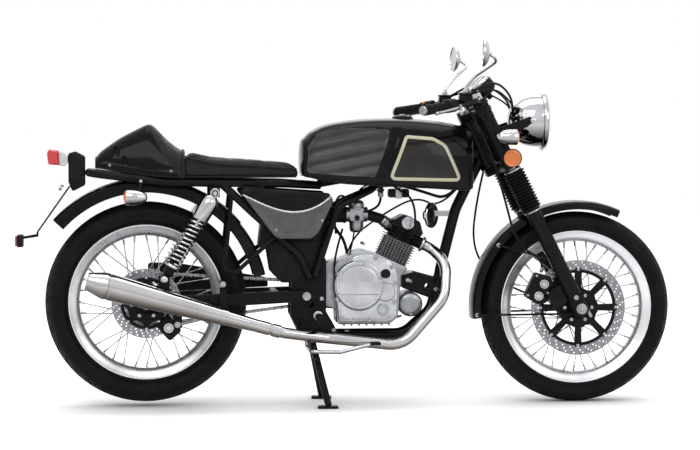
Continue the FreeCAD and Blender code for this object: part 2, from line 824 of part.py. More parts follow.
def mirrors():
    """Round mirrors on cranked stalks that rise from the bars."""
    centre = V(number("mirror_x"), -number("mirror_y"), number("mirror_z"))
    facing = V(-1, 0.12, 0.05).normalize()
    radius = number("mirror_radius")
    back = Part.makeCylinder(radius * 0.6, 13, centre - facing * 15, facing)
    face = Part.makeCylinder(radius, 5, centre - facing * 2, facing)
    base = reservoir_corner() + V(20, 20, number("26 + fit_gap"))
    stalk = tube([
        base + V(0, 0, 4),
        base + V(2, 0, 20),
        base + V(30, -14, 52),
        centre + V(44, 8, -22),
        centre - facing * 10,
    ], 5, 24)
    boss = Part.makeCylinder(9, 12, base, V(0, 0, 1))
    side = back.fuse([face, stalk, boss])
    both = Part.makeCompound([side, mirrored_y(side)])
    place(sub_part(feature_of(both, "mirrors"), "mirrors"))


def mudguard(label, radius, width, start, sweep, x, z):
    """A curved blade with turned-down sides, around a wheel."""
    inner = f"({radius} - guard_wall)"
    wall_y = f"({width} / 2 - guard_wall)"
    points = [
        (f"{radius} - guard_lip", f"{width} / 2"),
        (f"{radius} - 7", f"{width} / 2"),
        (radius, f"{width} / 2 - 16"),
        (radius, f"0 - {width} / 2 + 16"),
        (f"{radius} - 7", f"0 - {width} / 2"),
        (f"{radius} - guard_lip", f"0 - {width} / 2"),
        (f"{radius} - guard_lip", f"0 - {wall_y}"),
        (f"{radius} - 8", f"0 - {wall_y}"),
        (inner, f"0 - {width} / 2 + 17"),
        (inner, f"{width} / 2 - 17"),
        (f"{radius} - 8", wall_y),
        (f"{radius} - guard_lip", wall_y),
    ]
    blade = turned(label + "_blade", points, angle=sweep)
    turn(blade, Y_AXIS, f"0 - {start} - {sweep}")
    return place(blade, x, "0", z, shifted=False)


def front_mudguard():
    blade = mudguard("front_mudguard", "front_guard_radius", "front_guard_width", "front_guard_start",
                     "front_guard_sweep", "wheelbase", "front_tyre_radius")
    axle = V(number("wheelbase"), 0, number("front_tyre_radius"))
    guard_edge = number("front_guard_radius - guard_lip + 4")
    out = number("front_guard_width") / 2
    stays = []
    for angle, level in ((142, "190"), (184, "0 - 8")):
        way = V(math.cos(math.radians(angle)), 0, math.sin(math.radians(angle)))
        high = axle + way * guard_edge + V(0, -out + 1, 0)
        low = fork_point("0 - slider_radius", "0 - fork_spacing / 2 + slider_radius / 2", level)
        stays.append(rod(low, high, 3.5))
    extra = feature_of(Part.makeCompound(stays + [mirrored_y(stay) for stay in stays]), "guard_stays")
    place(sub_part(fused([blade, extra], "front_mudguard"), "front_mudguard"))


def front_brake():
    """Caliper behind the right fork leg, across the disc, on a lug that meets the leg."""
    disc_y = number(FRONT_DISC_Y)
    axle = V(number("wheelbase"), 0, number("front_tyre_radius"))
    way = V(math.cos(math.radians(155)), 0, math.sin(math.radians(155)))
    centre = axle + way * number("front_disc_radius - front_disc_band / 2")
    half_slot = number("disc_thickness") / 2 + 3
    body = Part.makeBox(74, 40, 98, V(-40, -20, -46))
    body = body.cut(Part.makeBox(90, 2 * half_slot, 110, V(-22, -half_slot, -58)))
    body = body.rotated(V(), Y_AXIS, 25).translated(V(centre.x, disc_y, centre.z))
    face = number("0 - slider_radius - fit_gap")
    foot = fork_point("0", "0 - fork_spacing / 2 + 4", "66")
    outer, inner = foot.y - 12, disc_y - 20 + number("caliper_lug_overlap")
    lug = Part.makeBox(52, inner - outer, 60, V(face - 52, outer, -30))
    lug = lug.rotated(V(), Y_AXIS, number("0 - rake")).translated(V(foot.x, 0, foot.z))
    place(sub_part(feature_of(body.fuse(lug), "front_brake"), "front_brake"))


def brake_hose():
    """Hydraulic hose from the right bar's master cylinder, behind the fork leg, to the caliper."""
    grip = V(number("bar_end_x"), -number("bar_end_y"), number("bar_end_z"))
    points = [
        grip + V(142, 182, 42),
        fork_point("0 - 34", "0 - fork_spacing / 2 - 44", "upper_clamp_height - 60"),
        fork_point("0 - 62", "0 - fork_spacing / 2 - 38", "lower_clamp_height - 60"),
        fork_point("0 - 96", "0 - fork_spacing / 2 - 14", "slider_length - 70"),
        V(1262, -90, 458),
        V(1250.8, -74.7, 423),
    ]
    hose = tube(points, 4, 90)
    place(sub_part(feature_of(hose, "brake_hose"), "brake_hose"))


def bullet_lamp(facing):
    """Small bullet-shaped turn lamp along X, with its lens towards +X or -X."""
    profile = [
        ("0 - 62", "0"),
        ("12", "0"),
        ("12", "indicator_radius"),
        ("0 - 28", "indicator_radius"),
        ("0 - 62", "indicator_radius * 0.5"),
    ]
    lamp = turned("turn_lamp_" + ("front" if facing > 0 else "rear"), profile, "XZ_Plane", "H_Axis")
    if facing < 0:
        turn(lamp, V(0, 0, 1), "180")
    return lamp


def front_indicators():
    """Front turn lamps on stems from the fork sleeves, and round side reflectors on the lower clamp."""
    level = "lower_clamp_height + 92"
    lamp = bullet_lamp(1)
    x, z = fork_x("10", level), fork_z("10", level)
    place(lamp, f"{x} + 40", "0 - indicator_y", z, shifted=False)
    root = fork_point("10", "0 - fork_spacing / 2 - fork_tube_radius - 8 - fit_gap", level)
    stem = feature_of(rod(root, root + V(0, -number("indicator_y") - root.y, 0), 6), "front_lamp_stem")
    reflector = doc.addObject("Part::Cylinder", "side_reflector")
    reflector.setExpression("Radius", bound("side_reflector_radius"))
    reflector.setExpression("Height", "9")
    turn(reflector, V(1, 0, 0), "90")
    edge = "fork_spacing / 2 + fork_tube_radius + 9 + fit_gap"
    level = "lower_clamp_height + 17"
    place(reflector, fork_x("12", level), f"0 - ({edge})", fork_z("12", level), shifted=False)
    lamp_and_stem = fused([lamp, stem], "front_lamp")
    near = compound([lamp_and_stem, reflector], "front_lamp_side")
    place(sub_part(both_sides(near, "front_indicators"), "front_indicators"))


def rear_indicators():
    """Rear turn lamps on stems from the seat rails."""
    lamp = bullet_lamp(-1)
    place(lamp, "0 - 58", "0 - indicator_y", "665", shifted=False)
    rail = rail_point(-16)
    socket = V(rail.x, -number("indicator_y"), 668)
    seat = rail + (socket - rail).normalize() * number("rail_radius + fit_gap * 3")
    near = fused([lamp, feature_of(rod(seat, socket, 6), "rear_lamp_stem")], "rear_lamp")
    place(sub_part(both_sides(near, "rear_indicators"), "rear_indicators"))


def rail_run():
    """The right seat rail's line, from beside the backbone to its rear end."""
    side = -number("seat_rail_y")
    return [
        V(number("backbone_rear_x") - 12, -18, number("backbone_rear_z") - 15),
        V(430, side, number("seat_rail_z") - 5),
        V(60, side, number("seat_rail_z")),
        V(-150, side + 6, number("seat_rail_z") + 26),
        V(number("0 - rail_end"), side + 30, number("seat_rail_z") + 30),
        V(number("0 - rail_end"), 0, number("seat_rail_z") + 30),
    ]


def rail_point(x):
    """Where the rear stretch of the right seat rail is at a given X."""
    front, back = rail_run()[2:4]
    return front + (back - front) * ((front.x - x) / (front.x - back.x))


def backbone_run():
    """The backbone's ends, at the steering head and above the swinging arm's pivot."""
    return (fork_point("0 - fork_offset", "0", "lower_clamp_height + 68"),
            V(number("backbone_rear_x") - 16, 0, number("backbone_rear_z") - 3))


def main_frame():
    """Steering head, backbone and front down tube."""
    low = "lower_clamp_height + clamp_thickness / 2 + fit_gap"
    high = "upper_clamp_height - clamp_thickness / 2 - fit_gap"
    foot, top = fork_point("0 - fork_offset", "0", low), fork_point("0 - fork_offset", "0", high)
    head = rod(foot, top, number("head_tube_radius"))
    bore = rod(foot - (top - foot), top + (top - foot), number("stem_radius + fit_gap"))
    start, end = backbone_run()
    backbone = rod(start, end, number("main_tube_radius"))
    down_start = fork_point("0 - fork_offset", "0", "lower_clamp_height + 62")
    down = tube([down_start, V(986, 0, 618), V(938, 0, 430), V(926, 0, 350)], number("down_tube_radius"), 160)
    gusset = Part.Face(Part.makePolygon([
        start + V(-20, 0, -10), start + V(-110, 0, -32), down_start + V(-52, 0, -82), start + V(-20, 0, -10),
    ])).extrude(V(0, 6, 0)).translated(V(0, -3, 0))
    frame = head.fuse([backbone, down, gusset]).cut(bore)
    place(sub_part(feature_of(frame, "main_frame"), "main_frame"))


def frame_cradle():
    """Lower rails, engine brackets, and the plates that hold the swinging arm and the stand."""
    rail_y = number("down_tube_radius + rail_radius + fit_gap")
    plate_y = number(PLATE_Y)
    cradle_z = number("cradle_z")
    rail = tube([
        V(934, rail_y, 410),
        V(908, rail_y + 4, 300),
        V(824, plate_y, cradle_z),
        V(560, plate_y, cradle_z),
    ], number("rail_radius"), 70)
    thick = number("plate_thickness")
    plate_shape = [V(452, 0, 290), V(480, 0, 232), V(606, 0, 214), V(594, 0, 252), V(566, 0, 300), V(566, 0, 470),
                   V(520, 0, 478), V(456, 0, 400)]
    plate = Part.Face(Part.makePolygon(plate_shape + plate_shape[:1])).extrude(V(0, thick, 0))
    plate = plate.translated(V(0, plate_y - thick / 2, 0))
    bracket_shape = [V(808, 0, 372), V(930, 0, 326), V(938, 0, 398), V(850, 0, 422), V(808, 0, 410)]
    bracket = Part.Face(Part.makePolygon(bracket_shape + bracket_shape[:1])).extrude(V(0, 6, 0))
    bracket = bracket.translated(V(0, rail_y + 3, 0))
    side = rail.fuse([plate, bracket])
    pivot = V(number("pivot_x"), 0, number("pivot_z"))
    reach = number("arm_y + arm_width / 2 + axle_nut_length")
    bolt = rod(pivot - V(0, reach, 0), pivot + V(0, reach, 0), number("pivot_radius"))
    pin_end = V(0, plate_y, 0)
    stand = V(number("stand_pivot_x"), 0, number("stand_pivot_z"))
    pin = rod(stand - pin_end, stand + pin_end, number("stand_pin_radius"))
    cross = rod(V(640, -plate_y, cradle_z), V(640, plate_y, cradle_z), 10)
    cradle = side.fuse([mirrored_y(side), bolt, pin, cross])
    place(sub_part(feature_of(cradle, "frame_cradle"), "frame_cradle"))


def rear_subframe():
    """Seat rails with their loop, struts to the pivot plates, shock mounts and footrest hangers."""
    radius = number("rail_radius")
    run = rail_run()
    plate_face = number(PLATE_Y) + number("plate_thickness") / 2 + number("fit_gap") + radius
    shock_top = V(number("shock_top_x"), 0, number("shock_top_z"))
    strut_foot = V(512, -plate_face, 412)
    strut_top = V(shock_top.x + 18, run[1].y, number("seat_rail_z"))
    strut = [strut_foot + V(0, 0, -4), strut_foot + V(-26, -6, 60), strut_top]
    pieces = [tube(run, radius, 60), tube(strut, radius)]
    brace_top = V(735, -12, number("backbone_rear_z") + 14)
    brace = [
        brace_top, V(725, -17, 688), V(600, -78, 632), V(548, -plate_face - 2, 470), V(530, -plate_face, 412),
    ]
    pieces.append(tube(brace, radius - 1, 60))
    tab_height = abs(run[1].z - shock_top.z) + 14
    tab = Part.makeBox(34, 8, tab_height, V(shock_top.x - 17, run[1].y - 4, min(run[1].z, shock_top.z) - 14))
    pieces.append(tab)
    pin_start = V(shock_top.x, run[1].y, shock_top.z)
    shock_inner = number("shock_y") - 14 - number("fit_gap")
    pieces.append(rod(pin_start, V(shock_top.x, -shock_inner, shock_top.z), 10))
    pin_end = V(shock_top.x, -number("shock_y") - 22, shock_top.z)
    pieces.append(rod(pin_start, pin_end, number("shock_bolt_radius")))
    share = 0.3
    high = strut_foot + V(-26, -6, 60) + (strut_top - strut_foot - V(-26, -6, 60)) * share
    peg = V(number("rear_peg_x"), -116, number("rear_peg_z"))
    back = strut_foot + V(-26, -6, 60) + (strut_top - strut_foot - V(-26, -6, 60)) * 0.86
    pieces.append(tube([high, peg, back], 7))
    pieces.append(rod(peg, peg + V(0, -72, 0), 9))
    pieces += [mirrored_y(piece) for piece in pieces]
    front, back = backbone_run()
    beyond = (back - front).normalize() * 60
    seat = rod(front, back + beyond, number("main_tube_radius + fit_gap"))
    rails = pieces[0].fuse(pieces[1:]).cut(seat)
    place(sub_part(feature_of(rails, "rear_subframe"), "rear_subframe"))


def swinging_arm():
    """Fork that carries the rear axle, with lugs for the shock absorbers."""
    axle = V(0, 0, number(REAR_AXLE_Z))
    pivot = V(number("pivot_x"), 0, number("pivot_z"))
    along = (pivot - axle).normalize()
    up = V(-along.z, 0, along.x) * (number("arm_height") / 2)
    start, end = axle - along * 38, pivot + along * 26
    width = V(0, number("arm_width"), 0)
    middle = axle + along * 60
    shape = [start - up * 0.7, middle - up, end - up * 0.8, end + up * 0.8, middle + up, start + up * 0.7]
    arm = Part.Face(Part.makePolygon(shape + shape[:1])).extrude(width)
    arm = arm.translated(V(0, -number("arm_y + arm_width / 2"), 0))
    foot = V(number("shock_foot_x"), 0, number("shock_foot_z"))
    lug = Part.makeBox(36, 10, foot.z - axle.z + 12, V(foot.x - 18, -number("arm_y") - 6, axle.z))
    pin_root = foot - V(0, number("arm_y"), 0)
    boss = rod(pin_root, V(foot.x, -number("shock_y") + 14 + number("fit_gap"), foot.z), 10)
    pin = rod(pin_root, V(foot.x, -number("shock_y") - 22, foot.z), number("shock_bolt_radius"))
    cross_at = axle + along * 405
    half_cross = V(0, number("arm_y"), 0)
    cross = rod(cross_at - half_cross, cross_at + half_cross, 18)
    side = arm.fuse([lug, boss, pin])
    whole = side.fuse([mirrored_y(side), cross])
    wide = V(0, 200, 0)
    whole = whole.cut([
        rod(axle - wide, axle + wide, number("rear_axle_radius + fit_gap")),
        rod(pivot - wide, pivot + wide, number("pivot_radius + fit_gap")),
    ])
    place(sub_part(feature_of(whole, "swinging_arm"), "swinging_arm"))


def shock_absorbers():
    """Sprung shock absorbers between the arm's lugs and the seat rails."""
    foot_x, foot_z = number("shock_foot_x"), number("shock_foot_z")
    rise_x, rise_z = number("shock_top_x") - foot_x, number("shock_top_z") - foot_z
    length = math.hypot(rise_x, rise_z)
    eye = number("shock_eye_radius")
    radius = number("shock_radius")
    rows = [(0, eye - 4), (10, eye - 4), (10, 46), (radius, 46), (radius, length - 96), (radius + 2, length - 96),
            (radius + 2, length - 34), (10, length - 34), (10, length - eye + 4), (0, length - eye + 4)]
    corners = [V(r, 0, z) for r, z in rows]
    body = Part.Face(Part.makePolygon(corners + corners[:1])).revolve(V(), V(0, 0, 1), 360)
    eye_tube = Part.makeCylinder(eye, 28, V(0, -14, 0), Y_AXIS)
    damper = body.fuse([eye_tube, eye_tube.translated(V(0, 0, length))])
    hole = Part.makeCylinder(number("shock_bolt_radius + fit_gap"), 60, V(0, -30, 0), Y_AXIS)
    damper = damper.cut([hole, hole.translated(V(0, 0, length))])
    damper = damper.rotated(V(), Y_AXIS, math.degrees(math.atan2(rise_x, rise_z)))
    damper = damper.translated(V(foot_x, -number("shock_y"), foot_z))
    both = Part.makeCompound([damper, mirrored_y(damper)])
    place(sub_part(feature_of(both, "shock_absorbers"), "shock_absorbers"))


def rear_mudguard():
    blade = mudguard("rear_mudguard", "rear_guard_radius", "rear_guard_width", "rear_guard_start",
                     "rear_guard_sweep", "0", REAR_AXLE_Z)
    reach = number("seat_rail_y - rail_radius - fit_gap")
    bridge_z = number(f"{REAR_AXLE_Z} + rear_guard_radius") - 14
    rail_z = number("seat_rail_z") - 4
    bridge_low = min(bridge_z, rail_z)
    bridge = Part.makeBox(30, 2 * reach, abs(bridge_z - rail_z) + 8, V(50, -reach, bridge_low))
    inner_width = number("rear_guard_width") - 20
    inside = Part.makeBox(60, inner_width, 60, V(35, -inner_width / 2, bridge_z - 55))
    ends = feature_of(bridge.cut(inside), "guard_bridge")
    place(sub_part(fused([blade, ends], "rear_mudguard"), "rear_mudguard"))


def tail():
    """Lamp bracket behind the seat rail's loop, with the plate holder and its reflector, and the tail lamp."""
    front = number("0 - rail_end - rail_radius - fit_gap")
    loop_z = number("seat_rail_z") + 30
    post_shape = [V(front, 0, loop_z - 40), V(front, 0, loop_z + 50), V(front - 30, 0, loop_z + 66),
                  V(front - 52, 0, loop_z + 60), V(front - 52, 0, loop_z - 30), V(front - 40, 0, loop_z - 60)]
    post = across_middle(post_shape, 64)
    reach = number("tail_reach")
    top = V(front - 46, 0, loop_z - 44)
    foot = V(72 - reach, 0, 552)
    strip_shape = [top, top + V(-6, 0, 0), foot + V(-6, 0, 0), foot]
    strip = across_middle(strip_shape, 110)
    stay_shape = [foot, foot + V(-6, 0, 0), foot + V(-6, 0, -6), V(20 - reach, 0, 538), V(20 - reach, 0, 530),
                  foot + V(0, 0, -14)]
    stay = across_middle(stay_shape, 12)
    reflector = Part.makeBox(25, 62, 38, V(-reach, -31, 506))
    holder = post.fuse([strip, stay, reflector])
    place(sub_part(feature_of(holder, "plate_bracket"), "plate_bracket"))
    back = front - 52 - number("fit_gap")
    lamp_shape = [V(back, 0, loop_z + 32), V(back, 0, loop_z + 52), V(back - 12, 0, loop_z + 66),
                  V(back - 60, 0, loop_z + 74), V(back - 66, 0, loop_z + 60), V(back - 62, 0, loop_z + 24),
                  V(back - 12, 0, loop_z + 20)]
    lamp = across_middle(lamp_shape, 96)
    place(sub_part(feature_of(lamp, "tail_lamp"), "tail_lamp"))


def lofted(name, sections):
    """A body skinned over upright sections with eased shoulders.

    A section is (x, z, lean, height, half width, corner), and its lean tips the top forwards.
    """
    body = new_body(name)
    sketches = []
    for i, (x, z, lean, height, half, corner) in enumerate(sections):
        sketch = body.newObject("Sketcher::SketchObject", f"{name}_section_{i}")
        sketch.AttachmentSupport = [(origin_feature(body, "YZ_Plane"), "")]
        sketch.MapMode = "FlatFace"
        sketch.AttachmentOffset = FreeCAD.Placement(V(), FreeCAD.Rotation(V(1, 0, 0), number(lean)))
        sketch.setExpression("AttachmentOffset.Base.z", bound(x))
        sketch.setExpression("AttachmentOffset.Base.y", bound(z))
        draw(sketch, [
            (f"0 - {half}", "0"),
            (half, "0"),
            (half, f"{height} - {corner}"),
            (f"{half} - {corner} * 0.3", f"{height} - {corner} * 0.3"),
            (f"{half} - {corner}", height),
            (f"{corner} - {half}", height),
            (f"{corner} * 0.3 - {half}", f"{height} - {corner} * 0.3"),
            (f"0 - {half}", f"{height} - {corner}"),
        ])
        sketches.append(sketch)
    loft = body.newObject("PartDesign::AdditiveLoft", name + "_loft")
    loft.Ruled = True
    loft.Profile = sketches[0]
    loft.Sections = sketches[1:]
    return body


def fuel_tank():
    """Long flat-topped tank over the backbone, with its filler cap."""
    rear = TANK_REAR
    height = "(tank_top_z - 700)"
    wide = "tank_half_width"
    body = lofted("tank_shell", [
        (rear, "728", "10", f"{height} * 0.56", f"{wide} * 0.7", "30"),
        (f"{rear} + tank_length * 0.13", "714", "6", f"{height} * 0.84", f"{wide} * 0.88", "42"),
        (f"{rear} + tank_length * 0.42", "700", "0", height, wide, "52"),
        (f"{rear} + tank_length * 0.76", "690", "0 - 8", f"{height} * 1.03", f"{wide} * 0.98", "48"),
        (f"{rear} + tank_length", "680", "0 - 14.6", f"{height} * 1.02", f"{wide} * 0.74", "38"),
    ])
    slope_start, end = backbone_run()
    slope = (slope_start.z - end.z) / (slope_start.x - end.x)
    rise = number("main_tube_radius + fit_gap") * math.hypot(1, slope)
    half = number("tunnel_half_width")
    low_x, high_x = end.x - 120, slope_start.x + 60
    corners = [V(low_x, 0, 500), V(high_x, 0, 500), V(high_x, 0, end.z + rise + slope * (high_x - end.x)),
               V(low_x, 0, end.z + rise + slope * (low_x - end.x))]
    cutter = across_middle(corners, 2 * half)
    tunnel = feature_of(cutter, "tank_tunnel")
    cap = doc.addObject("Part::Cylinder", "filler_cap")
    cap.setExpression("Radius", "37")
    cap.setExpression("Height", "44")
    place(cap, f"{rear} + tank_length * 0.6", "0", "tank_top_z - 28", shifted=False)
    capped = fused([body, cap], "capped_tank")
    tank = doc.addObject("Part::Cut", "fuel_tank")
    tank.Base = capped
    tank.Tool = tunnel
    place(sub_part(tank, "fuel_tank"))


def seat_and_cowl():
    """Flat seat pad, and the hump behind it."""
    wide = "seat_half_width"
    base = "seat_rail_z + rail_radius + fit_gap"
    pad_body = lofted("seat", [
        ("116", base, "0", "84", f"{wide} * 0.97", "24"),
        ("200", base, "0", "66", f"{wide}", "22"),
        ("300", base, "0", "58", f"{wide}", "20"),
        ("400", base, "0", "50", f"{wide} * 0.9", "18"),
        (f"{TANK_REAR} - 16", base, "0", "44", f"{wide} * 0.72", "16"),
    ])
    place(sub_part(pad_body, "seat"))
    cowl = lofted("seat_cowl", [
        ("115.7", f"{base}", "0", "86", f"{wide} * 0.97", "30"),
        ("60", f"{base} + 2", "0", "124", f"{wide} * 0.96", "40"),
        ("14", f"{base} + 6", "0", "165", f"{wide} * 0.9", "48"),
        ("0 - 60", f"{base} + 16", "0", "124", f"{wide} * 0.8", "42"),
        ("0 - 158", f"{base} + 31", "0", "34", f"{wide} * 0.6", "14"),
    ])
    place(sub_part(cowl, "seat_cowl"))


def side_covers():
    """Shield-shaped covers below the seat."""
    y = "(side_cover_y + side_cover_thickness / 2)"
    plate = side_plate("side_cover", [
        ("288", "684", "-900"),
        ("399", "540", "20"),
        ("415", "532"),
        ("516", "532", "40"),
        ("538", "552"),
        ("586", "652", "30"),
        ("570", "676"),
        ("310", "694", "16"),
    ], "side_cover_thickness")
    place(plate, "0", f"0 - {y}", "0", shifted=False)
    reach = number("side_cover_y - seat_rail_y - rail_radius - fit_gap")
    inner = Part.makeBox(16, reach, 32, V(352, -number("side_cover_y"), number("seat_rail_z") - 28))
    lug = feature_of(inner, "cover_lug")
    near = fused([plate, lug], "cover_side")
    place(sub_part(both_sides(near, "side_covers"), "side_covers"))


def air_box():
    """Air filter and battery housing behind the engine."""
    half = number("neck_half_width") + 6
    rail_z = number("seat_rail_z")
    shape = [
        V(352, 0, 500), V(470, 0, 484), V(560, 0, 484), V(574, 0, 560), V(560, 0, rail_z - 42), V(372, 0, rail_z - 34),
    ]
    box = across_middle(shape, 2 * half)
    reach = number("seat_rail_y - rail_radius - fit_gap")
    straps = Part.makeBox(24, 2 * reach, 5, V(372, -reach, rail_z - 3))
    post = Part.makeBox(24, 40, 50, V(372, -20, rail_z - 50))
    duct = rod(V(560, 0, 604), V(number("carburettor_x") - 34 - number("fit_gap"), 0, 604), 26)
    place(sub_part(feature_of(box.fuse([straps, post, duct]), "air_box"), "air_box"))


def cylinder_frame(x, z):
    """A place given across and along the leaning cylinder, from the crankshaft."""
    lean = math.radians(number("cylinder_lean"))
    along = V(math.sin(lean), 0, math.cos(lean))
    ahead = V(math.cos(lean), 0, -math.sin(lean))
    return V(number("crank_x"), 0, number("crank_z")) + ahead * x + along * z


def lean_shape(shape):
    """Stands a shape made upright on the crankshaft's centre in line with the cylinder."""
    crank = V(number("crank_x"), 0, number("crank_z"))
    return shape.rotated(V(), Y_AXIS, number("cylinder_lean")).translated(crank)


def crankcase():
    """Crankcase and gearbox in one casting, narrower behind, with the front mount's lug."""
    base = number("cylinder_base")
    half_fin = number("fin_length") / 2
    rear_top, front_top = cylinder_frame(-half_fin - 4, base), cylinder_frame(half_fin, base)
    main = side_plate("crankcase_block", [
        ("600", "258"),
        ("768", "258", "30"),
        ("794", "280"),
        ("800", "360"),
        ("802", "412"),
        (str(round(front_top.x, 3)), str(round(front_top.z, 3))),
        (str(round(rear_top.x, 3)), str(round(rear_top.z, 3))),
        ("676", "500", "118"),
        ("592", "452"),
    ], "2 * crankcase_half_width")
    place(main, shifted=False)
    neck = side_plate("gearbox_neck", [("548", "318"), ("620", "300"), ("620", "470"), ("560", "452")],
                      "2 * neck_half_width")
    place(neck, shifted=False)
    lug = side_plate("mount_lug", [("790", "370"), ("846", "380"), ("846", "424"), ("800", "430")],
                     "2 * (down_tube_radius + rail_radius + 3)")
    place(lug, shifted=False)
    starter = doc.addObject("Part::Cylinder", "starter_motor")
    starter.setExpression("Radius", bound("starter_radius"))
    starter.setExpression("Height", bound("crankcase_half_width * 2 + 10"))
    turn(starter, V(1, 0, 0), "90")
    place(starter, "starter_x", "crankcase_half_width - 8", "starter_z - 24", shifted=False)
    drive = [
        ("0", "neck_half_width - 2"),
        ("8", "neck_half_width - 2"),
        ("8", "chain_line - chain_width / 2 - 6"),
        (f"{DRIVE_PITCH_RADIUS} - chain_height / 2 - fit_gap", "chain_line - chain_width / 2 - 6"),
        (f"{DRIVE_PITCH_RADIUS} - chain_height / 2 - fit_gap", "chain_line + chain_width / 2"),
        ("0", "chain_line + chain_width / 2"),
    ]
    sprocket_shaft = turned("drive_sprocket", drive)
    place(sprocket_shaft, "drive_sprocket_x", "0", "drive_sprocket_z", shifted=False)
    place(sub_part(fused([main, neck, lug, starter, sprocket_shaft], "crankcase"), "crankcase"))


def engine_covers():
    """Right cover with its round clutch cover, and left cover with the magneto and sprocket guard."""
    right = side_plate("right_cover", [
        ("604", "268"),
        ("770", "268", "24"),
        ("786", "288"),
        ("792", "420", "60"),
        ("764", "462"),
        ("668", "492", "110"),
        ("590", "420"),
    ], "20")
    place(right, "0", "0 - crankcase_half_width - fit_gap - 10", "0", shifted=False)
    clutch = turned("clutch_cover", [
        ("0", "0 - 20"),
        ("clutch_radius", "0 - 20"),
        ("clutch_radius", "6"),
        ("0", "6"),
    ])
    place(clutch, "clutch_x", "0 - crankcase_half_width - fit_gap - 24", "clutch_z", shifted=False)
    left = side_plate("left_cover", [
        ("644", "276"),
        ("776", "276", "30"),
        ("792", "300"),
        ("792", "404", "70"),
        ("740", "448"),
        ("644", "448"),
    ], "22")
    place(left, "0", "crankcase_half_width + fit_gap + 11", "0", shifted=False)
    magneto = turned("magneto_cover", [
        ("0", "20"),
        ("0", "0 - 6"),
        ("magneto_radius", "0 - 6"),
        ("magneto_radius", "20"),
    ])
    place(magneto, "crank_x", "crankcase_half_width + fit_gap + 22", "crank_z", shifted=False)
    guard = side_plate("sprocket_guard", [
        ("548", "300"),
        ("660", "290"),
        ("660", "436"),
        ("556", "420", "160"),
    ], "6")
    place(guard, "0", "chain_line + chain_width / 2 + 6", "0", shifted=False)
    left_side = fused([left, magneto, guard], "left_covers")
    right_side = fused([right, clutch], "right_covers")
    place(sub_part(compound([right_side, left_side], "engine_covers"), "engine_covers"))


def fin_block(low, count, length, width, pitch, thick, core, top):
    """Cooling fins with clipped corners around a round core."""
    clip = 14
    side = core * 1.8
    pieces = [Part.makeBox(side, side, top - low, V(-side / 2, -side / 2, low))]
    for i in range(count):
        level = low + pitch * i + (pitch - thick) / 2
        half_x, half_y = length / 2, width / 2
        corners = [
            V(-half_x + clip, -half_y, level), V(half_x - clip, -half_y, level), V(half_x, -half_y + clip, level),
            V(half_x, half_y - clip, level), V(half_x - clip, half_y, level), V(-half_x + clip, half_y, level),
            V(-half_x, half_y - clip, level), V(-half_x, -half_y + clip, level),
        ]
        pieces.append(Part.Face(Part.makePolygon(corners + corners[:1])).extrude(V(0, 0, thick)))
    return pieces[0].fuse(pieces[1:])


def cylinder():
    """Finned cylinder barrel on the crankcase."""
    gap = number("fit_gap")
    base = number("cylinder_base") + gap
    pitch, thick = number("fin_pitch"), number("fin_thickness")
    count = int(number("fin_count"))
    top = base + pitch * count
    barrel = fin_block(base, count, number("fin_length"), number("fin_width"), pitch, thick,
                       number("barrel_radius + 8"), top)
    place(sub_part(feature_of(lean_shape(barrel), "cylinder"), "cylinder"))


def cylinder_head():
    """Head with its own fins, ports and the rocker cover."""
    gap = number("fit_gap")
    low = number("cylinder_base") + 2 * gap + number("fin_pitch * fin_count")
    pitch, thick = number("fin_pitch"), number("fin_thickness")
    length, width = number("fin_length"), number("fin_width")
    fins = fin_block(low, 4, length + 6, width + 4, pitch, thick, number("barrel_radius + 6"), low + 40)
    high = low + number("head_height")
    block = Part.makeBox(72, 84, high - low - 6, V(-38, -42, low))
    outline = [V(-48, 0, low + 34), V(50, 0, low + 34), V(54, 0, low + 52), V(30, 0, high + 8), V(-26, 0, high + 8),
               V(-50, 0, low + 52)]
    rocker = across_middle(outline, 100)
    exhaust_port = Part.makeCylinder(19, 30, V(34, -22, low + 20), V(1, 0, 0))
    intake_port = Part.makeCylinder(18, 34, V(-34, 0, low + 26), V(-1, 0, 0.25))
    head = lean_shape(fins.fuse([block, rocker, exhaust_port, intake_port]))
    place(sub_part(feature_of(head, "cylinder_head"), "cylinder_head"))


def intake_face():
    """Where the head's intake port ends, and its direction."""
    low = number("cylinder_base") + 2 * number("fit_gap") + number("fin_pitch * fin_count")
    way = V(-1, 0, 0.25).normalize()
    end = V(-34, 0, low + 26) + way * 34
    lean = FreeCAD.Rotation(Y_AXIS, number("cylinder_lean"))
    return lean.multVec(end) + V(number("crank_x"), 0, number("crank_z")), lean.multVec(way)


def carburettor():
    """Carburettor between the air box and the head, on its intake stub."""
    port, way = intake_face()
    x = number("carburettor_x")
    body_z = 604
    mouth = V(x - 34, 0, body_z)
    body = rod(mouth, V(x + 36, 0, body_z), 24)
    bowl = rod(V(x, 0, body_z - 58), V(x, 0, body_z), 25)
    dome = rod(V(x, 0, body_z), V(x, 0, body_z + 46), 27)
    start = port + way * number("fit_gap")
    stub = tube([start, start + way * 14, V(x + 30, 0, body_z)], 17)
    place(sub_part(feature_of(body.fuse([bowl, dome, stub]), "carburettor"), "carburettor"))


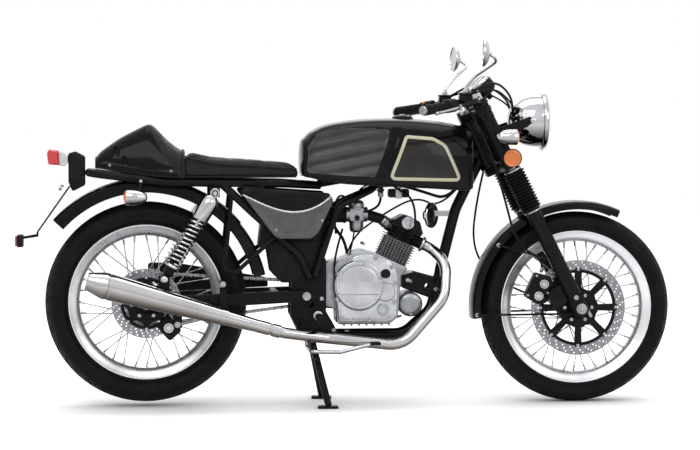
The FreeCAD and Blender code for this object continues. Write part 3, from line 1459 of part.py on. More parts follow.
def exhaust():
    """Header pipe from the front of the head, under the engine, to a long tapered silencer on the right."""
    low = number("cylinder_base") + 2 * number("fit_gap") + number("fin_pitch * fin_count")
    lean = FreeCAD.Rotation(Y_AXIS, number("cylinder_lean"))
    crank = V(number("crank_x"), 0, number("crank_z"))
    start = lean.multVec(V(64 + number("fit_gap"), -22, low + 20)) + crank
    first = lean.multVec(V(1, 0, 0))
    front = silencer_point(number("silencer_length"))
    points = [
        start,
        start + first * 34,
        V(948, -66, 452),
        V(938, -100, 344),
        V(802, -126, 194),
        V(560, -138, 222),
        front + (front - silencer_point(0)).normalize() * 46,
        front,
    ]
    pipe = tube(points, number("header_radius"), 95)
    flange = rod(start, start + first * 10, number("header_radius") + 9)
    place(sub_part(feature_of(pipe.fuse(flange), "exhaust_pipe"), "exhaust_pipe"))
    rear = silencer_point(0)
    way = (front - rear).normalize()
    length = (front - rear).Length - number("fit_gap")
    wide, slim = number("silencer_radius"), number("silencer_front_radius")
    outlet = number("outlet_depth")
    rows = [(0, outlet), (wide * 0.5, outlet), (wide * 0.5, 0), (wide * 0.62, 0), (wide, 52), (slim, length - 40),
            (slim, length), (0, length)]
    corners = [V(r, 0, z) for r, z in rows]
    body = Part.Face(Part.makePolygon(corners + corners[:1])).revolve(V(), V(0, 0, 1), 360)
    body.Placement = FreeCAD.Placement(rear, FreeCAD.Rotation(V(0, 0, 1), way))
    peg = V(number("rear_peg_x"), -116, number("rear_peg_z"))
    share = (peg.x - rear.x) / (front.x - rear.x)
    under = rear + (front - rear) * share
    hanger_top = peg.z - 9 - number("fit_gap")
    hanger = Part.makeBox(22, 5, hanger_top - under.z, V(peg.x - 11, -number("silencer_y") + 50, under.z))
    foot = Part.makeBox(22, 10, 5, V(peg.x - 11, -number("silencer_y") + 50, hanger_top - 5))
    web = Part.makeBox(22, 44, 5, V(peg.x - 11, -number("silencer_y") + 8, under.z - 2))
    place(sub_part(feature_of(body.fuse([hanger, foot, web]), "silencer"), "silencer"))


def silencer_point(distance):
    """A place on the silencer's axis, this far forward of its rear end."""
    rise = math.radians(number("silencer_rise"))
    return V(number("0 - silencer_tail_x"), -number("silencer_y"), number("silencer_tail_z")) + V(
        math.cos(rise), 0.024, -math.sin(rise)) * distance


def chain_guard():
    """Plate over the upper run of the chain, seated on the left arm."""
    axle = V(0, 0, number(REAR_AXLE_Z))
    pivot = V(number("pivot_x"), 0, number("pivot_z"))
    along = (pivot - axle).normalize()
    up = V(-along.z, 0, along.x)
    seat = number("arm_height / 2 + fit_gap")
    corners = [(96, 0), (392, 0), (392, 30), (96, 92), (10, 96), (10, 70)]
    shape = [axle + along * x + up * (seat + z) for x, z in corners]
    plate = Part.Face(Part.makePolygon(shape + shape[:1])).extrude(V(0, 3, 0))
    plate = plate.translated(V(0, number("chain_line + chain_width / 2") + 3, 0))
    place(sub_part(feature_of(plate, "chain_guard"), "chain_guard"))


def foot_controls():
    """Rider's footrests, rear brake pedal and gear lever."""
    plate_face = number(PLATE_Y) + number("plate_thickness") / 2 + number("fit_gap")
    peg = V(540, 0, 286)
    pieces = []
    for side in (-1, 1):
        base = V(peg.x, side * plate_face, peg.z)
        pieces.append(rod(base, base + V(0, side * 56, 0), 9))
        pieces.append(rod(base + V(0, side * 56, 0), base + V(0, side * 150, 0), 12))
    outer = -number("silencer_y") + 6
    pedal_path = [V(500, -plate_face - 6, 226), V(503, -100, 188), V(510, outer, 184), V(600, outer, 182),
                  V(700, outer, 206)]
    pedal = tube(pedal_path, 6)
    hinge = rod(V(500, -plate_face, 226), V(500, -plate_face - 24, 226), 12)
    pad_shape = Part.makeBox(34, 44, 8, V(692, outer - 22, 204))
    right = pedal.fuse([hinge, pad_shape])
    case_face = number("crankcase_half_width + fit_gap")
    lever_y = case_face + 40
    shaft = rod(V(622, case_face, 268), V(622, lever_y + 8, 268), 8)
    lever = rod(V(622, lever_y, 268), V(714, lever_y, 258), 6)
    toe_piece = rod(V(714, lever_y - 9, 258), V(714, lever_y + 48, 258), 9)
    left = shaft.fuse([lever, toe_piece])
    place(sub_part(feature_of(Part.makeCompound(pieces + [right, left]), "foot_controls"), "foot_controls"))


def rear_brake():
    """Caliper under the right arm, across the rear disc, with its torque rod."""
    disc_y = number(REAR_DISC_Y)
    axle = V(0, 0, number(REAR_AXLE_Z))
    way = V(math.cos(math.radians(-48)), 0, math.sin(math.radians(-48)))
    centre = axle + way * number("rear_disc_radius - rear_disc_band / 2")
    half_slot = number("disc_thickness") / 2 + 3
    body = Part.makeBox(66, 38, 52, V(-24, -19, -26))
    body = body.cut(Part.makeBox(70, 2 * half_slot, 60, V(-44, -half_slot, -30)))
    body = body.rotated(V(), Y_AXIS, 48).translated(V(centre.x, disc_y, centre.z))
    arm_bottom = number("arm_height / 2 + fit_gap")
    bracket_x = 96
    along = (V(number("pivot_x"), 0, number("pivot_z")) - axle).normalize()
    seat = axle + along * bracket_x - V(0, 0, arm_bottom + 0.3)
    bracket = Part.makeBox(30, 8, seat.z - centre.z + 6, V(seat.x - 15, disc_y - 19, centre.z - 6))
    tie = rod(V(seat.x, disc_y - 15, centre.z + 4), V(230, disc_y - 15, 296), 6)
    place(sub_part(feature_of(body.fuse([bracket, tie]), "rear_brake"), "rear_brake"))


def centre_stand():
    """Two-legged stand on its pin, with flat feet on the floor, set just past upright."""
    pivot = V(number("stand_pivot_x"), 0, number("stand_pivot_z"))
    foot = V(number("stand_foot_x"), -number("stand_foot_y"), 0)
    half = number(f"{PLATE_Y} - plate_thickness / 2 - fit_gap")
    radius = number("stand_tube_radius")
    sleeve = rod(pivot - V(0, half, 0), pivot + V(0, half, 0), number("stand_pin_radius") + 5)
    hip = pivot + V(2, -half + radius + 5, -4)
    leg = tube([hip, hip + V(10, -3, -62), V(foot.x - 4, foot.y + 8, radius + 22), foot + V(2, 0, 10)], radius)
    shoe = Part.makeBox(64, 34, 9, foot + V(-32, -17, 0))
    side = leg.fuse(shoe)
    tie_z = 150
    tie = rod(V(538, -90, tie_z), V(538, 90, tie_z), 8)
    stand = sleeve.fuse([side, mirrored_y(side), tie])
    stand = stand.cut(rod(pivot - V(0, 200, 0), pivot + V(0, 200, 0), number("stand_pin_radius + bearing_gap")))
    floor = Part.makeBox(400, 600, 100, V(foot.x - 200, -300, -100))
    place(sub_part(feature_of(stand.cut(floor), "centre_stand"), "centre_stand"))


BUILDERS = (
    wheels, axles, chain, fork, lamp_ears, headlamp, instruments, handlebars, mirrors, front_mudguard, front_brake,
    brake_hose, front_indicators, rear_indicators, main_frame, frame_cradle, rear_subframe, swinging_arm,
    shock_absorbers, rear_mudguard, tail, fuel_tank, seat_and_cowl, side_covers, air_box, crankcase, engine_covers,
    cylinder, cylinder_head, carburettor, exhaust, chain_guard, foot_controls, rear_brake, centre_stand,
)
for build in BUILDERS:
    build()
doc.recompute()
faults = [item.Label for item in doc.Objects if {"Invalid", "Error"} & set(item.State)]
for label, item in parts.items():
    if item.Shape.isNull() or not item.Shape.isValid() or not item.Shape.Solids:
        faults.append(label + " has no sound shape")
if faults:
    raise RuntimeError("failed objects: " + ", ".join(faults))
os.makedirs("parts", exist_ok=True)
for label, item in parts.items():
    item.Shape.exportStep(f"parts/{label}.step")
print(f"{len(parts)} sub-parts written")
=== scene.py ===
"""Cafe racer motorcycle on its centre stand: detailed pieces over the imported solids."""
import math

import bmesh
import bpy
from mathutils import Matrix, Vector


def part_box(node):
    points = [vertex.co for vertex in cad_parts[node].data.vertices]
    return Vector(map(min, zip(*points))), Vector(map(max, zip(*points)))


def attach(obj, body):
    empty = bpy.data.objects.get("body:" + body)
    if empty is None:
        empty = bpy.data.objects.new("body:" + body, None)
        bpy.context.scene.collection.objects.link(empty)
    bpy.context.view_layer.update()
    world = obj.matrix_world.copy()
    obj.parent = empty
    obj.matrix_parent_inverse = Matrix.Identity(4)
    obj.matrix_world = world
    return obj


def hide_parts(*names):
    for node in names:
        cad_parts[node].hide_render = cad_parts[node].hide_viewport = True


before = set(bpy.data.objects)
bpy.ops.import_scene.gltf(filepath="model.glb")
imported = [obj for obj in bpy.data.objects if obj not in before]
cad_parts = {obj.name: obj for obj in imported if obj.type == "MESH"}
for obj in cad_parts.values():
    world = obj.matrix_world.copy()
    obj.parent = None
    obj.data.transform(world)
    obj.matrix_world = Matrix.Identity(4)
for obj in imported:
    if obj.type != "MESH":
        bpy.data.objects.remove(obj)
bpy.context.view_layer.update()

# Lengths are in millimetres along the motorcycle, from the rear axle's line
MIDDLE_X = 635.75
WHEELBASE = 1375
FRONT_AXLE_Z = 305.5
REAR_AXLE_Z = 331
RAKE = math.radians(26.5)
FORK_HALF = 95
CLAMP_LEVELS = (512, 702)
STEM_X = -50
PIVOT = Vector((500, 0, 352))
REST_PEG = (238, -116, 392)
CHAIN_PITCH = 12.7
# The knee pad's ribs: the first one's height and where it is measured, their slope and their distance
RIB_START, RIB_FOOT_X, RIB_RISE, RIB_PITCH = 728, 512, 0.2, 38
X_AXIS, Y_AXIS, Z_AXIS = Vector((1, 0, 0)), Vector((0, 1, 0)), Vector((0, 0, 1))

# Shading: how much light of its own the floor shows, and how far from the object its painted shadow reaches, in
# metres
FLOOR_LIFT = 0.62
PAINTED_SHADOW_REACH = 0.45
WHITE = (1, 1, 1, 1)


def at(x, y, z):
    """A place on the motorcycle, in the frame's metres."""
    return Vector(((x - MIDDLE_X) / 1000, y / 1000, z / 1000))


def side_place(place):
    """How far along and how high a place in the frame's metres is, in millimetres."""
    return place.x * 1000 + MIDDLE_X, place.z * 1000


def around(turn):
    """A direction in the side view, turned up from straight ahead."""
    return X_AXIS * math.cos(turn) + Z_AXIS * math.sin(turn)


def polar(radius, turn):
    return radius * math.cos(turn), radius * math.sin(turn)


def on_fork(x, y, z):
    """A place given ahead of the fork leg, across, and up along it from the front axle."""
    return at(WHEELBASE + math.cos(RAKE) * x - math.sin(RAKE) * z, y,
              FRONT_AXLE_Z + math.sin(RAKE) * x + math.cos(RAKE) * z)


FORK_UP = (on_fork(0, 0, 1) - on_fork(0, 0, 0)).normalized()
FORK_AHEAD = (on_fork(1, 0, 0) - on_fork(0, 0, 0)).normalized()
FRONT_AXLE = at(WHEELBASE, 0, FRONT_AXLE_Z)
REAR_AXLE = at(0, 0, REAR_AXLE_Z)
ARM_START = Vector((0, 0, REAR_AXLE_Z))
ARM_ALONG = (PIVOT - ARM_START).normalized()
ARM_UP = Vector((-ARM_ALONG.z, 0, ARM_ALONG.x))


# Camera

def linked(name, data):
    """An object in the scene for a mesh, lamp or camera."""
    made = bpy.data.objects.new(name, data)
    bpy.context.scene.collection.objects.link(made)
    return made


def look_at(holder, target):
    holder.rotation_euler = (target - holder.location).to_track_quat("-Z", "Y").to_euler()


def camera(yaw=math.radians(5.6), distance=7, rise=0.32, lens_length=113):
    """A long lens off the right side, a little behind the middle and above it."""
    optics = bpy.data.cameras.new("camera")
    optics.lens = lens_length
    optics.sensor_width = 36
    eye = linked("camera", optics)
    target = Vector((0.012, 0, 0.57))
    eye.location = target + Vector((-math.sin(yaw) * distance, -math.cos(yaw) * distance, rise))
    look_at(eye, target)
    bpy.context.scene.camera = eye


camera()
bpy.context.scene.view_settings.view_transform = "Standard"


# Materials

def feed(tree, made, inputs):
    """Sets a node's inputs, each to a value or to the output that it comes from."""
    for socket, value in inputs.items():
        if isinstance(value, bpy.types.NodeSocket):
            tree.links.new(value, made.inputs[socket])
        else:
            made.inputs[socket].default_value = value


def node(tree, kind, output, inputs):
    """One output of a new shader node."""
    made = tree.nodes.new("ShaderNode" + kind)
    feed(tree, made, inputs)
    return made.outputs[output]


def calculated(tree, operation, first, second=None):
    made = tree.nodes.new("ShaderNodeMath")
    made.operation = operation
    feed(tree, made, {0: first} if second is None else {0: first, 1: second})
    return made.outputs["Value"]


def new_material(name):
    made = bpy.data.materials.new(name)
    made.use_nodes = True
    return made, made.node_tree, made.node_tree.nodes["Principled BSDF"]


def place_coordinates(tree):
    return tree.nodes.new("ShaderNodeTexCoord").outputs["Object"]


def noise(tree, scale, detail=4):
    """Noise over the object's own coordinates."""
    return node(tree, "TexNoise", "Fac", {"Vector": place_coordinates(tree), "Scale": scale, "Detail": detail})


def spread(tree, value, low, high):
    """Maps a value from the middle of noise's range to low and high."""
    return node(tree, "MapRange", "Result", {"Value": value, "From Min": 0.3, "From Max": 0.7, "To Min": low,
                                             "To Max": high})


def drift(tree, scale, low, high, detail=4):
    """A value that wanders between low and high over the object."""
    return spread(tree, noise(tree, scale, detail), low, high)


def blend_colours(tree, value, first, second):
    """Goes from the first colour to the second. The second may be another node's output."""
    made = tree.nodes.new("ShaderNodeMix")
    made.data_type = "RGBA"
    if not isinstance(second, bpy.types.NodeSocket):
        second = (*second, 1)
    feed(tree, made, {0: value, 6: (*first, 1), 7: second})
    return made.outputs[2]


def bump(tree, shader, value, strength, depth):
    normal = node(tree, "Bump", "Normal", {"Height": value, "Strength": strength, "Distance": depth})
    feed(tree, shader, {"Normal": normal})


def split_axes(tree, vector):
    parts = tree.nodes.new("ShaderNodeSeparateXYZ")
    feed(tree, parts, {0: vector})
    return parts.outputs


def painted_ground_reflection(tree, colour, low, turn_at):
    """The colour, turning to a dark one where the surface faces the ground: a painted reflection of a dark ground in
    bright metal.
    """
    facing = tree.nodes.new("ShaderNodeMapRange")
    facing.interpolation_type = "SMOOTHSTEP"
    normal = tree.nodes.new("ShaderNodeNewGeometry").outputs["Normal"]
    feed(tree, facing, {"From Min": -0.75, "From Max": turn_at, "Value": split_axes(tree, normal)["Z"]})
    return blend_colours(tree, facing.outputs["Result"], low, colour)


def finish(name, colours, roughness, metallic=0.0, patches=22, grain=None, coat=0.0, gloss=0.5, below=None,
           turn_at=0.3):
    """A finish whose colour and roughness drift in patches, over a fine grain of (scale, strength, depth). A below
    colour is a painted reflection of a dark ground, put on the faces that point down.
    """
    made, tree, shader = new_material(name)
    colour = blend_colours(tree, drift(tree, patches, 0, 1, 5), *colours)
    # Painted reflection of a dark ground, on the faces that point down
    if below:
        colour = painted_ground_reflection(tree, colour, below, turn_at)
    feed(tree, shader, {"Base Color": colour, "Roughness": drift(tree, patches * 3, *roughness, 6),
                        "Metallic": metallic, "Specular IOR Level": gloss})
    if coat:
        feed(tree, shader, {"Coat Weight": coat, "Coat Roughness": 0.04})
    if grain:
        scale, strength, depth = grain
        bump(tree, shader, noise(tree, scale, 3), strength, depth)
    return made


def rib_at(x, z):
    """From nought between the knee pad's ribs to one on their crests."""
    return 0.5 - 0.5 * math.cos(math.tau * (z - RIB_START - RIB_RISE * (x - RIB_FOOT_X)) / RIB_PITCH)


def ribbed(name):
    """Dark moulded pad with a painted highlight along the crests of its slanting ribs, which fades out as painted
    shade towards its top.
    """
    made, tree, shader = new_material(name)
    axes = split_axes(tree, place_coordinates(tree))
    value = axes["X"]
    start = (RIB_START + RIB_RISE * (MIDDLE_X - RIB_FOOT_X)) / 1000
    for kind, second in (("MULTIPLY", -RIB_RISE), ("ADD", axes["Z"]), ("SUBTRACT", start),
                         ("MULTIPLY", math.tau * 1000 / RIB_PITCH), ("COSINE", None), ("MULTIPLY", -0.2),
                         ("ADD", 0.5), ("ADD", drift(tree, 9, -0.16, 0.16, 3))):
        value = calculated(tree, kind, value, second)
    # Painted shade: the crests' painted highlight fades out towards the top of the pad
    lower = node(tree, "MapRange", "Result", {"Value": axes["Z"], "From Min": 0.87, "From Max": 0.75, "To Min": 0.25,
                                              "To Max": 1.0})
    # Painted highlight along the rib crests
    crest = calculated(tree, "MULTIPLY", spread(tree, value, 0, 1), lower)
    feed(tree, shader, {"Base Color": blend_colours(tree, crest, (0.018, 0.018, 0.019), (0.085, 0.084, 0.083)),
                        "Roughness": drift(tree, 30, 0.24, 0.4), "Specular IOR Level": 0.3})
    bump(tree, shader, noise(tree, 900, 3), 0.2, 0.0004)
    return made


def leather(name):
    """Grained black cover, with cells of a few millimetres."""
    made, tree, shader = new_material(name)
    cells = node(tree, "TexVoronoi", "Distance", {"Scale": 420, "Vector": place_coordinates(tree)})
    colour = blend_colours(tree, drift(tree, 14, 0, 1), (0.005, 0.005, 0.006), (0.012, 0.012, 0.013))
    feed(tree, shader, {"Base Color": colour, "Specular IOR Level": 0.18, "Roughness": drift(tree, 40, 0.42, 0.6)})
    bump(tree, shader, cells, 0.35, 0.0006)
    return made


def lens(name, colour, strength):
    """Ribbed coloured lens that lets light through, with a faint painted glow of its own."""
    made, tree, shader = new_material(name)
    wave = node(tree, "TexWave", "Fac", {"Scale": 60, "Distortion": 0.4, "Vector": place_coordinates(tree)})
    # The emission is a faint painted glow
    feed(tree, shader, {"Base Color": blend_colours(tree, wave, colour, [part * 0.72 for part in colour]),
                        "Roughness": 0.12, "Transmission Weight": 0.25, "Coat Weight": 0.8,
                        "Emission Color": (*colour, 1), "Emission Strength": strength})
    bump(tree, shader, wave, 0.25, 0.0006)
    return made


def clear_glass(name):
    """Clear moulded glass with faint upright flutes."""
    made, tree, shader = new_material(name)
    flutes = tree.nodes.new("ShaderNodeTexWave")
    flutes.bands_direction = "Y"
    feed(tree, flutes, {"Scale": 45, "Vector": place_coordinates(tree)})
    wave = flutes.outputs["Fac"]
    feed(tree, shader, {"Base Color": blend_colours(tree, wave, (0.93, 0.95, 0.96), (0.85, 0.89, 0.92)),
                        "Roughness": 0.03, "IOR": 1.45, "Transmission Weight": 0.85})
    bump(tree, shader, wave, 0.2, 0.0008)
    return made


# The below colours are painted reflections of a dark ground, on the faces that point down
GLOSS_BLACK = finish("gloss_black", ((0.003, 0.003, 0.004), (0.005, 0.005, 0.006)), (0.12, 0.2), coat=0.14,
                     grain=(900, 0.03, 0.0002), gloss=0.05)
SATIN_BLACK = finish("satin_black", ((0.004, 0.004, 0.005), (0.008, 0.008, 0.009)), (0.24, 0.38),
                     grain=(1400, 0.1, 0.0002), gloss=0.1)
MOULDED_BLACK = finish("moulded_black", ((0.005, 0.005, 0.006), (0.01, 0.01, 0.011)), (0.4, 0.56),
                       grain=(1600, 0.25, 0.0004), gloss=0.12)
CHROME = finish("chrome", ((0.7, 0.71, 0.73), (0.5, 0.5, 0.52)), (0.04, 0.1), metallic=1.0, patches=9,
                grain=(300, 0.02, 0.0002), below=(0.06, 0.056, 0.052))
EXHAUST_CHROME = finish("exhaust_chrome", ((0.66, 0.66, 0.68), (0.5, 0.5, 0.51)), (0.05, 0.12), metallic=1.0,
                        patches=9, grain=(300, 0.02, 0.0002), below=(0.13, 0.11, 0.095), turn_at=0.6)
RIM_ALLOY = finish("rim_alloy", ((0.76, 0.77, 0.79), (0.66, 0.67, 0.69)), (0.24, 0.36), metallic=0.85, patches=12,
                   grain=(700, 0.06, 0.0002))
CAST_ALLOY = finish("cast_alloy", ((0.4, 0.41, 0.43), (0.24, 0.25, 0.27)), (0.28, 0.46), metallic=1.0,
                    grain=(900, 0.3, 0.0005), below=(0.05, 0.05, 0.052))
COVER_ALLOY = finish("cover_alloy", ((0.6, 0.61, 0.64), (0.44, 0.45, 0.48)), (0.18, 0.3), metallic=1.0,
                     grain=(1200, 0.08, 0.0002), below=(0.08, 0.08, 0.085))
FIN_ALLOY = finish("fin_alloy", ((0.12, 0.125, 0.13), (0.07, 0.075, 0.08)), (0.35, 0.55), metallic=0.7,
                   grain=(800, 0.3, 0.0006))
PLATED = finish("plated_steel", ((0.46, 0.46, 0.48), (0.3, 0.3, 0.31)), (0.2, 0.36), metallic=1.0, patches=60,
                grain=(1500, 0.15, 0.0003), below=(0.08, 0.08, 0.08))
DISC_STEEL = finish("disc_steel", ((0.26, 0.27, 0.29), (0.18, 0.18, 0.19)), (0.24, 0.36), metallic=1.0, patches=80,
                    grain=(2500, 0.12, 0.0002))
TYRE_RUBBER = finish("tyre_rubber", ((0.005, 0.005, 0.0055), (0.01, 0.01, 0.0105)), (0.46, 0.66), patches=18,
                     grain=(700, 0.2, 0.0006), gloss=0.08)
SOFT_RUBBER = finish("soft_rubber", ((0.004, 0.004, 0.004), (0.008, 0.008, 0.008)), (0.44, 0.62),
                     grain=(1200, 0.2, 0.0004), gloss=0.1)
CREAM_LINE = finish("cream_line", ((0.6, 0.57, 0.4), (0.54, 0.51, 0.35)), (0.2, 0.3), coat=0.4, patches=60)
PANEL_FIELD = finish("panel_field", ((0.016, 0.0145, 0.0135), (0.024, 0.022, 0.0205)), (0.16, 0.26), coat=0.2,
                     patches=30, gloss=0.15)
GREY_PLASTIC = finish("grey_plastic", ((0.04, 0.04, 0.042), (0.07, 0.07, 0.073)), (0.2, 0.34), coat=0.3,
                      grain=(900, 0.1, 0.0002))
KNEE_PAD = ribbed("knee_pad")
SEAT_LEATHER = leather("seat_leather")
# The lenses glow faintly with painted light, on the lamps and also on the reflectors, switches and pointer that use
# them
AMBER = lens("amber_lens", (0.95, 0.22, 0.01), 0.12)
RED = lens("red_lens", (0.75, 0.02, 0.02), 0.08)
DARK_RED = lens("dark_red_lens", (0.28, 0.01, 0.01), 0.02)
GLASS = clear_glass("clear_glass")
MIRROR = finish("mirror_glass", ((0.55, 0.57, 0.6), (0.5, 0.52, 0.55)), (0.02, 0.05), metallic=1.0)
DIAL_FACE = finish("dial_face", ((0.02, 0.02, 0.022), (0.03, 0.03, 0.03)), (0.3, 0.4))


# Making pieces

def smoothed(data, angle):
    """Smooth shading whose edges stay sharp past an angle in degrees."""
    data.polygons.foreach_set("use_smooth", [True] * len(data.polygons))
    data.set_sharp_from_angle(angle=math.radians(angle))


def cleaned(name, data, angle):
    """A mesh's object, with doubled points joined and its faces turned outward."""
    work = bmesh.new()
    work.from_mesh(data)
    bmesh.ops.remove_doubles(work, verts=work.verts, dist=1e-6)
    bmesh.ops.recalc_face_normals(work, faces=work.faces)
    work.to_mesh(data)
    work.free()
    smoothed(data, angle)
    return linked(name, data)


def mesh_object(name, points, faces, angle=35):
    data = bpy.data.meshes.new(name)
    data.from_pydata([tuple(point) for point in points], [], faces)
    return cleaned(name, data, angle)


def painted(piece, material):
    piece.data.materials.clear()
    piece.data.materials.append(material)
    return piece


def add(pieces, material, made):
    """Puts a made piece in a list, with its finish."""
    pieces.append(painted(made, material))


def finished(piece, body, nodes=()):
    """Puts a piece on its body and hides the imported nodes that it stands for."""
    if nodes:
        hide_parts(*nodes)
    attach(piece, body)
    return piece


def joined(name, pieces):
    """Several meshes as one, each with its own materials."""
    work = bmesh.new()
    materials = []
    for piece in pieces:
        data = piece.data.copy()
        data.transform(piece.matrix_world)
        shift = []
        for material in data.materials:
            if material not in materials:
                materials.append(material)
            shift.append(materials.index(material))
        first = len(work.faces)
        work.from_mesh(data)
        work.faces.ensure_lookup_table()
        for face in work.faces[first:]:
            face.material_index = shift[face.material_index] if shift else 0
        bpy.data.meshes.remove(data)
        bpy.data.objects.remove(piece)
    data = bpy.data.meshes.new(name)
    work.to_mesh(data)
    work.free()
    for material in materials:
        data.materials.append(material)
    return linked(name, data)


def built(pieces, body, node_name):
    """Joins the meshes that stand for one node and finishes them."""
    return finished(joined(node_name + "_built", pieces), body, [node_name])


def basis(axis):
    """Two directions square to an axis and to each other."""
    axis = axis.normalized()
    side = axis.cross(Z_AXIS if abs(axis.z) < 0.9 else X_AXIS).normalized()
    return side, axis.cross(side)


def quads(rings, count, ring_closed=False, skin_closed=False):
    """Faces between rings that have the same count of points."""
    faces = []
    for i in range(rings if skin_closed else rings - 1):
        a, b = i * count, (i + 1) % rings * count
        for j in range(count if ring_closed else count - 1):
            k = (j + 1) % count
            faces.append((a + j, a + k, b + k, b + j))
    return faces


def skinned(name, rings, caps=True, angle=35, closed=True):
    """A skin over rings of places, each ring with the same count."""
    count = len(rings[0])
    faces = quads(len(rings), count, ring_closed=closed)
    if caps:
        faces.append(tuple(range(count))[::-1])
        faces.append(tuple((len(rings) - 1) * count + j for j in range(count)))
    return mesh_object(name, [place for ring in rings for place in ring], faces, angle)


def turned(name, profile, centre, axis, segments=48, angle=35):
    """A turned piece. The profile's points are (radius, distance along the axis) in millimetres."""
    side, up = basis(axis)
    axis = axis.normalized()
    points = []
    for i in range(segments):
        turn = math.tau * i / segments
        way = side * math.cos(turn) + up * math.sin(turn)
        points += [centre + way * (radius / 1000) + axis * (along / 1000) for radius, along in profile]
    return mesh_object(name, points, quads(segments, len(profile), skin_closed=True), angle)


def swept(name, path, radius, sides=14, flat=1.0):
    """A round bar along a path of places. The radius is one value, or one for each place, in millimetres."""
    radii = radius if isinstance(radius, (list, tuple)) else [radius] * len(path)
    rings = []
    side = None
    for i, place in enumerate(path):
        way = (path[min(i + 1, len(path) - 1)] - path[max(i - 1, 0)]).normalized()
        if side is None:
            side = basis(way)[0]
        side = (side - way * side.dot(way)).normalized()
        up = way.cross(side)
        ring = []
        for j in range(sides):
            turn = math.tau * j / sides
            out = side * math.cos(turn) + up * math.sin(turn) * flat
            ring.append(place + out * (radii[i] / 1000))
        rings.append(ring)
    return skinned(name, rings, angle=40)


def eased(points, bend, steps=8):
    """A path whose corners are arcs of a bend radius in millimetres, or of less where a run is short."""
    path = [points[0]]
    for before, corner, after in zip(points, points[1:], points[2:]):
        back, ahead = before - corner, after - corner
        half = (math.pi - back.angle(ahead)) / 2
        reach = min(bend / 1000 * math.tan(half), 0.48 * min(back.length, ahead.length))
        if reach < 1e-6:
            path.append(corner)
            continue
        radius = reach / math.tan(half)
        inward = (back.normalized() + ahead.normalized()).normalized()
        centre = corner + inward * (radius / math.cos(half))
        first = corner + back.normalized() * reach - centre
        last = corner + ahead.normalized() * reach - centre
        path += [centre + first.slerp(last, i / steps, first).normalized() * radius for i in range(steps + 1)]
    path.append(points[-1])
    return path


def spline_points(points, steps=10):
    """Places along one smooth line that starts and ends at its first and last control points."""
    drawing = bpy.data.curves.new("line", "CURVE")
    drawing.dimensions = "3D"
    drawing.resolution_u = steps
    spline = drawing.splines.new("NURBS")
    spline.points.add(len(points) - 1)
    for point, place in zip(spline.points, points):
        point.co = (*place, 1)
    spline.order_u = 3
    spline.use_endpoint_u = True
    holder = bpy.data.objects.new("line", drawing)
    data = bpy.data.meshes.new_from_object(holder)
    line = [vertex.co.copy() for vertex in data.vertices]
    bpy.data.objects.remove(holder)
    bpy.data.meshes.remove(data)
    return line


def cable(name, points, radius):
    return painted(swept(name, spline_points(points), radius, 10), SOFT_RUBBER)


def block(name, low, high, edge=2.0, segments=2):
    """A box between two corners with rounded edges, in millimetres along the motorcycle."""
    work = bmesh.new()
    bmesh.ops.create_cube(work, size=1)
    low, high = at(*low), at(*high)
    size, middle = high - low, (high + low) / 2
    for vertex in work.verts:
        vertex.co = middle + Vector([vertex.co[i] * size[i] for i in range(3)])
    bmesh.ops.bevel(work, geom=work.edges, offset=edge / 1000, segments=segments, profile=0.5, affect="EDGES")
    data = bpy.data.meshes.new(name)
    work.to_mesh(data)
    work.free()
    smoothed(data, 40)
    return linked(name, data)


def plate(name, outline, holes, thickness, centre, ahead, up, edge=0.6):
    """A flat plate with rounded edges. Its outline and holes lie ahead and up of its centre, in millimetres."""
    drawing = bpy.data.curves.new(name, "CURVE")
    drawing.dimensions = "2D"
    drawing.fill_mode = "BOTH"
    drawing.extrude = max(thickness / 2 - edge, 0.01) / 1000
    drawing.bevel_depth = edge / 1000
    drawing.bevel_resolution = 1
    drawing.offset = -edge / 1000
    for loop in [outline, *holes]:
        spline = drawing.splines.new("POLY")
        spline.points.add(len(loop) - 1)
        for point, (x, y) in zip(spline.points, loop):
            point.co = (x / 1000, y / 1000, 0, 1)
        spline.use_cyclic_u = True
    holder = bpy.data.objects.new(name, drawing)
    data = bpy.data.meshes.new_from_object(holder)
    bpy.data.objects.remove(holder)
    turn = Matrix((ahead, up, ahead.cross(up))).transposed().to_4x4()
    data.transform(Matrix.Translation(centre) @ turn)
    return cleaned(name, data, 35)


def slab(name, outline, holes, y, thickness, edge, material, body_x=700, body_z=360):
    """A flat part seen from the side, between its faces at y plus and minus half its thickness."""
    local = [[(x - body_x, z - body_z) for x, z in loop] for loop in (outline, *holes)]
    made = plate(name, local[0], local[1:], thickness, at(body_x, y, body_z), X_AXIS, Z_AXIS, edge)
    return painted(made, material)


def scaled(outline, x, z, scale):
    """An outline made larger or smaller about a point."""
    return [(x + (px - x) * scale, z + (pz - z) * scale) for px, pz in outline]


def ring_points(radius, count, x=0.0, y=0.0):
    return [(x + radius * math.cos(math.tau * i / count), y + radius * math.sin(math.tau * i / count))
            for i in range(count)]


def rounded(corners, radius, steps=5):
    """A flat outline with its corners rounded. A corner may give its own radius as a third value."""
    result = []
    count = len(corners)
    for i, corner in enumerate(corners):
        own = corner[2] if len(corner) > 2 else radius
        here = Vector(corner[:2])
        back = Vector(corners[i - 1][:2]) - here
        ahead = Vector(corners[(i + 1) % count][:2]) - here
        half = (math.pi - back.angle(ahead)) / 2
        reach = min(own * math.tan(half), 0.48 * min(back.length, ahead.length))
        first, last = here + back.normalized() * reach, here + ahead.normalized() * reach
        for j in range(steps + 1):
            t = j / steps
            point = first * (1 - t) ** 2 + here * 2 * t * (1 - t) + last * t**2
            result.append((point.x, point.y))
    return result


def divided(outline, step):
    """A closed outline with more points on its long runs."""
    dense = []
    for (x0, z0), (x1, z1) in zip(outline, outline[1:] + outline[:1]):
        parts = max(1, round(math.hypot(x1 - x0, z1 - z0) / step))
        dense += [(x0 + (x1 - x0) * k / parts, z0 + (z1 - z0) * k / parts) for k in range(parts)]
    return dense


def mirrored(rows):
    """A profile that goes on, from its last point, as its own mirror image about nought."""
    return rows + [(r, -y) for r, y in reversed(rows[:-1])]


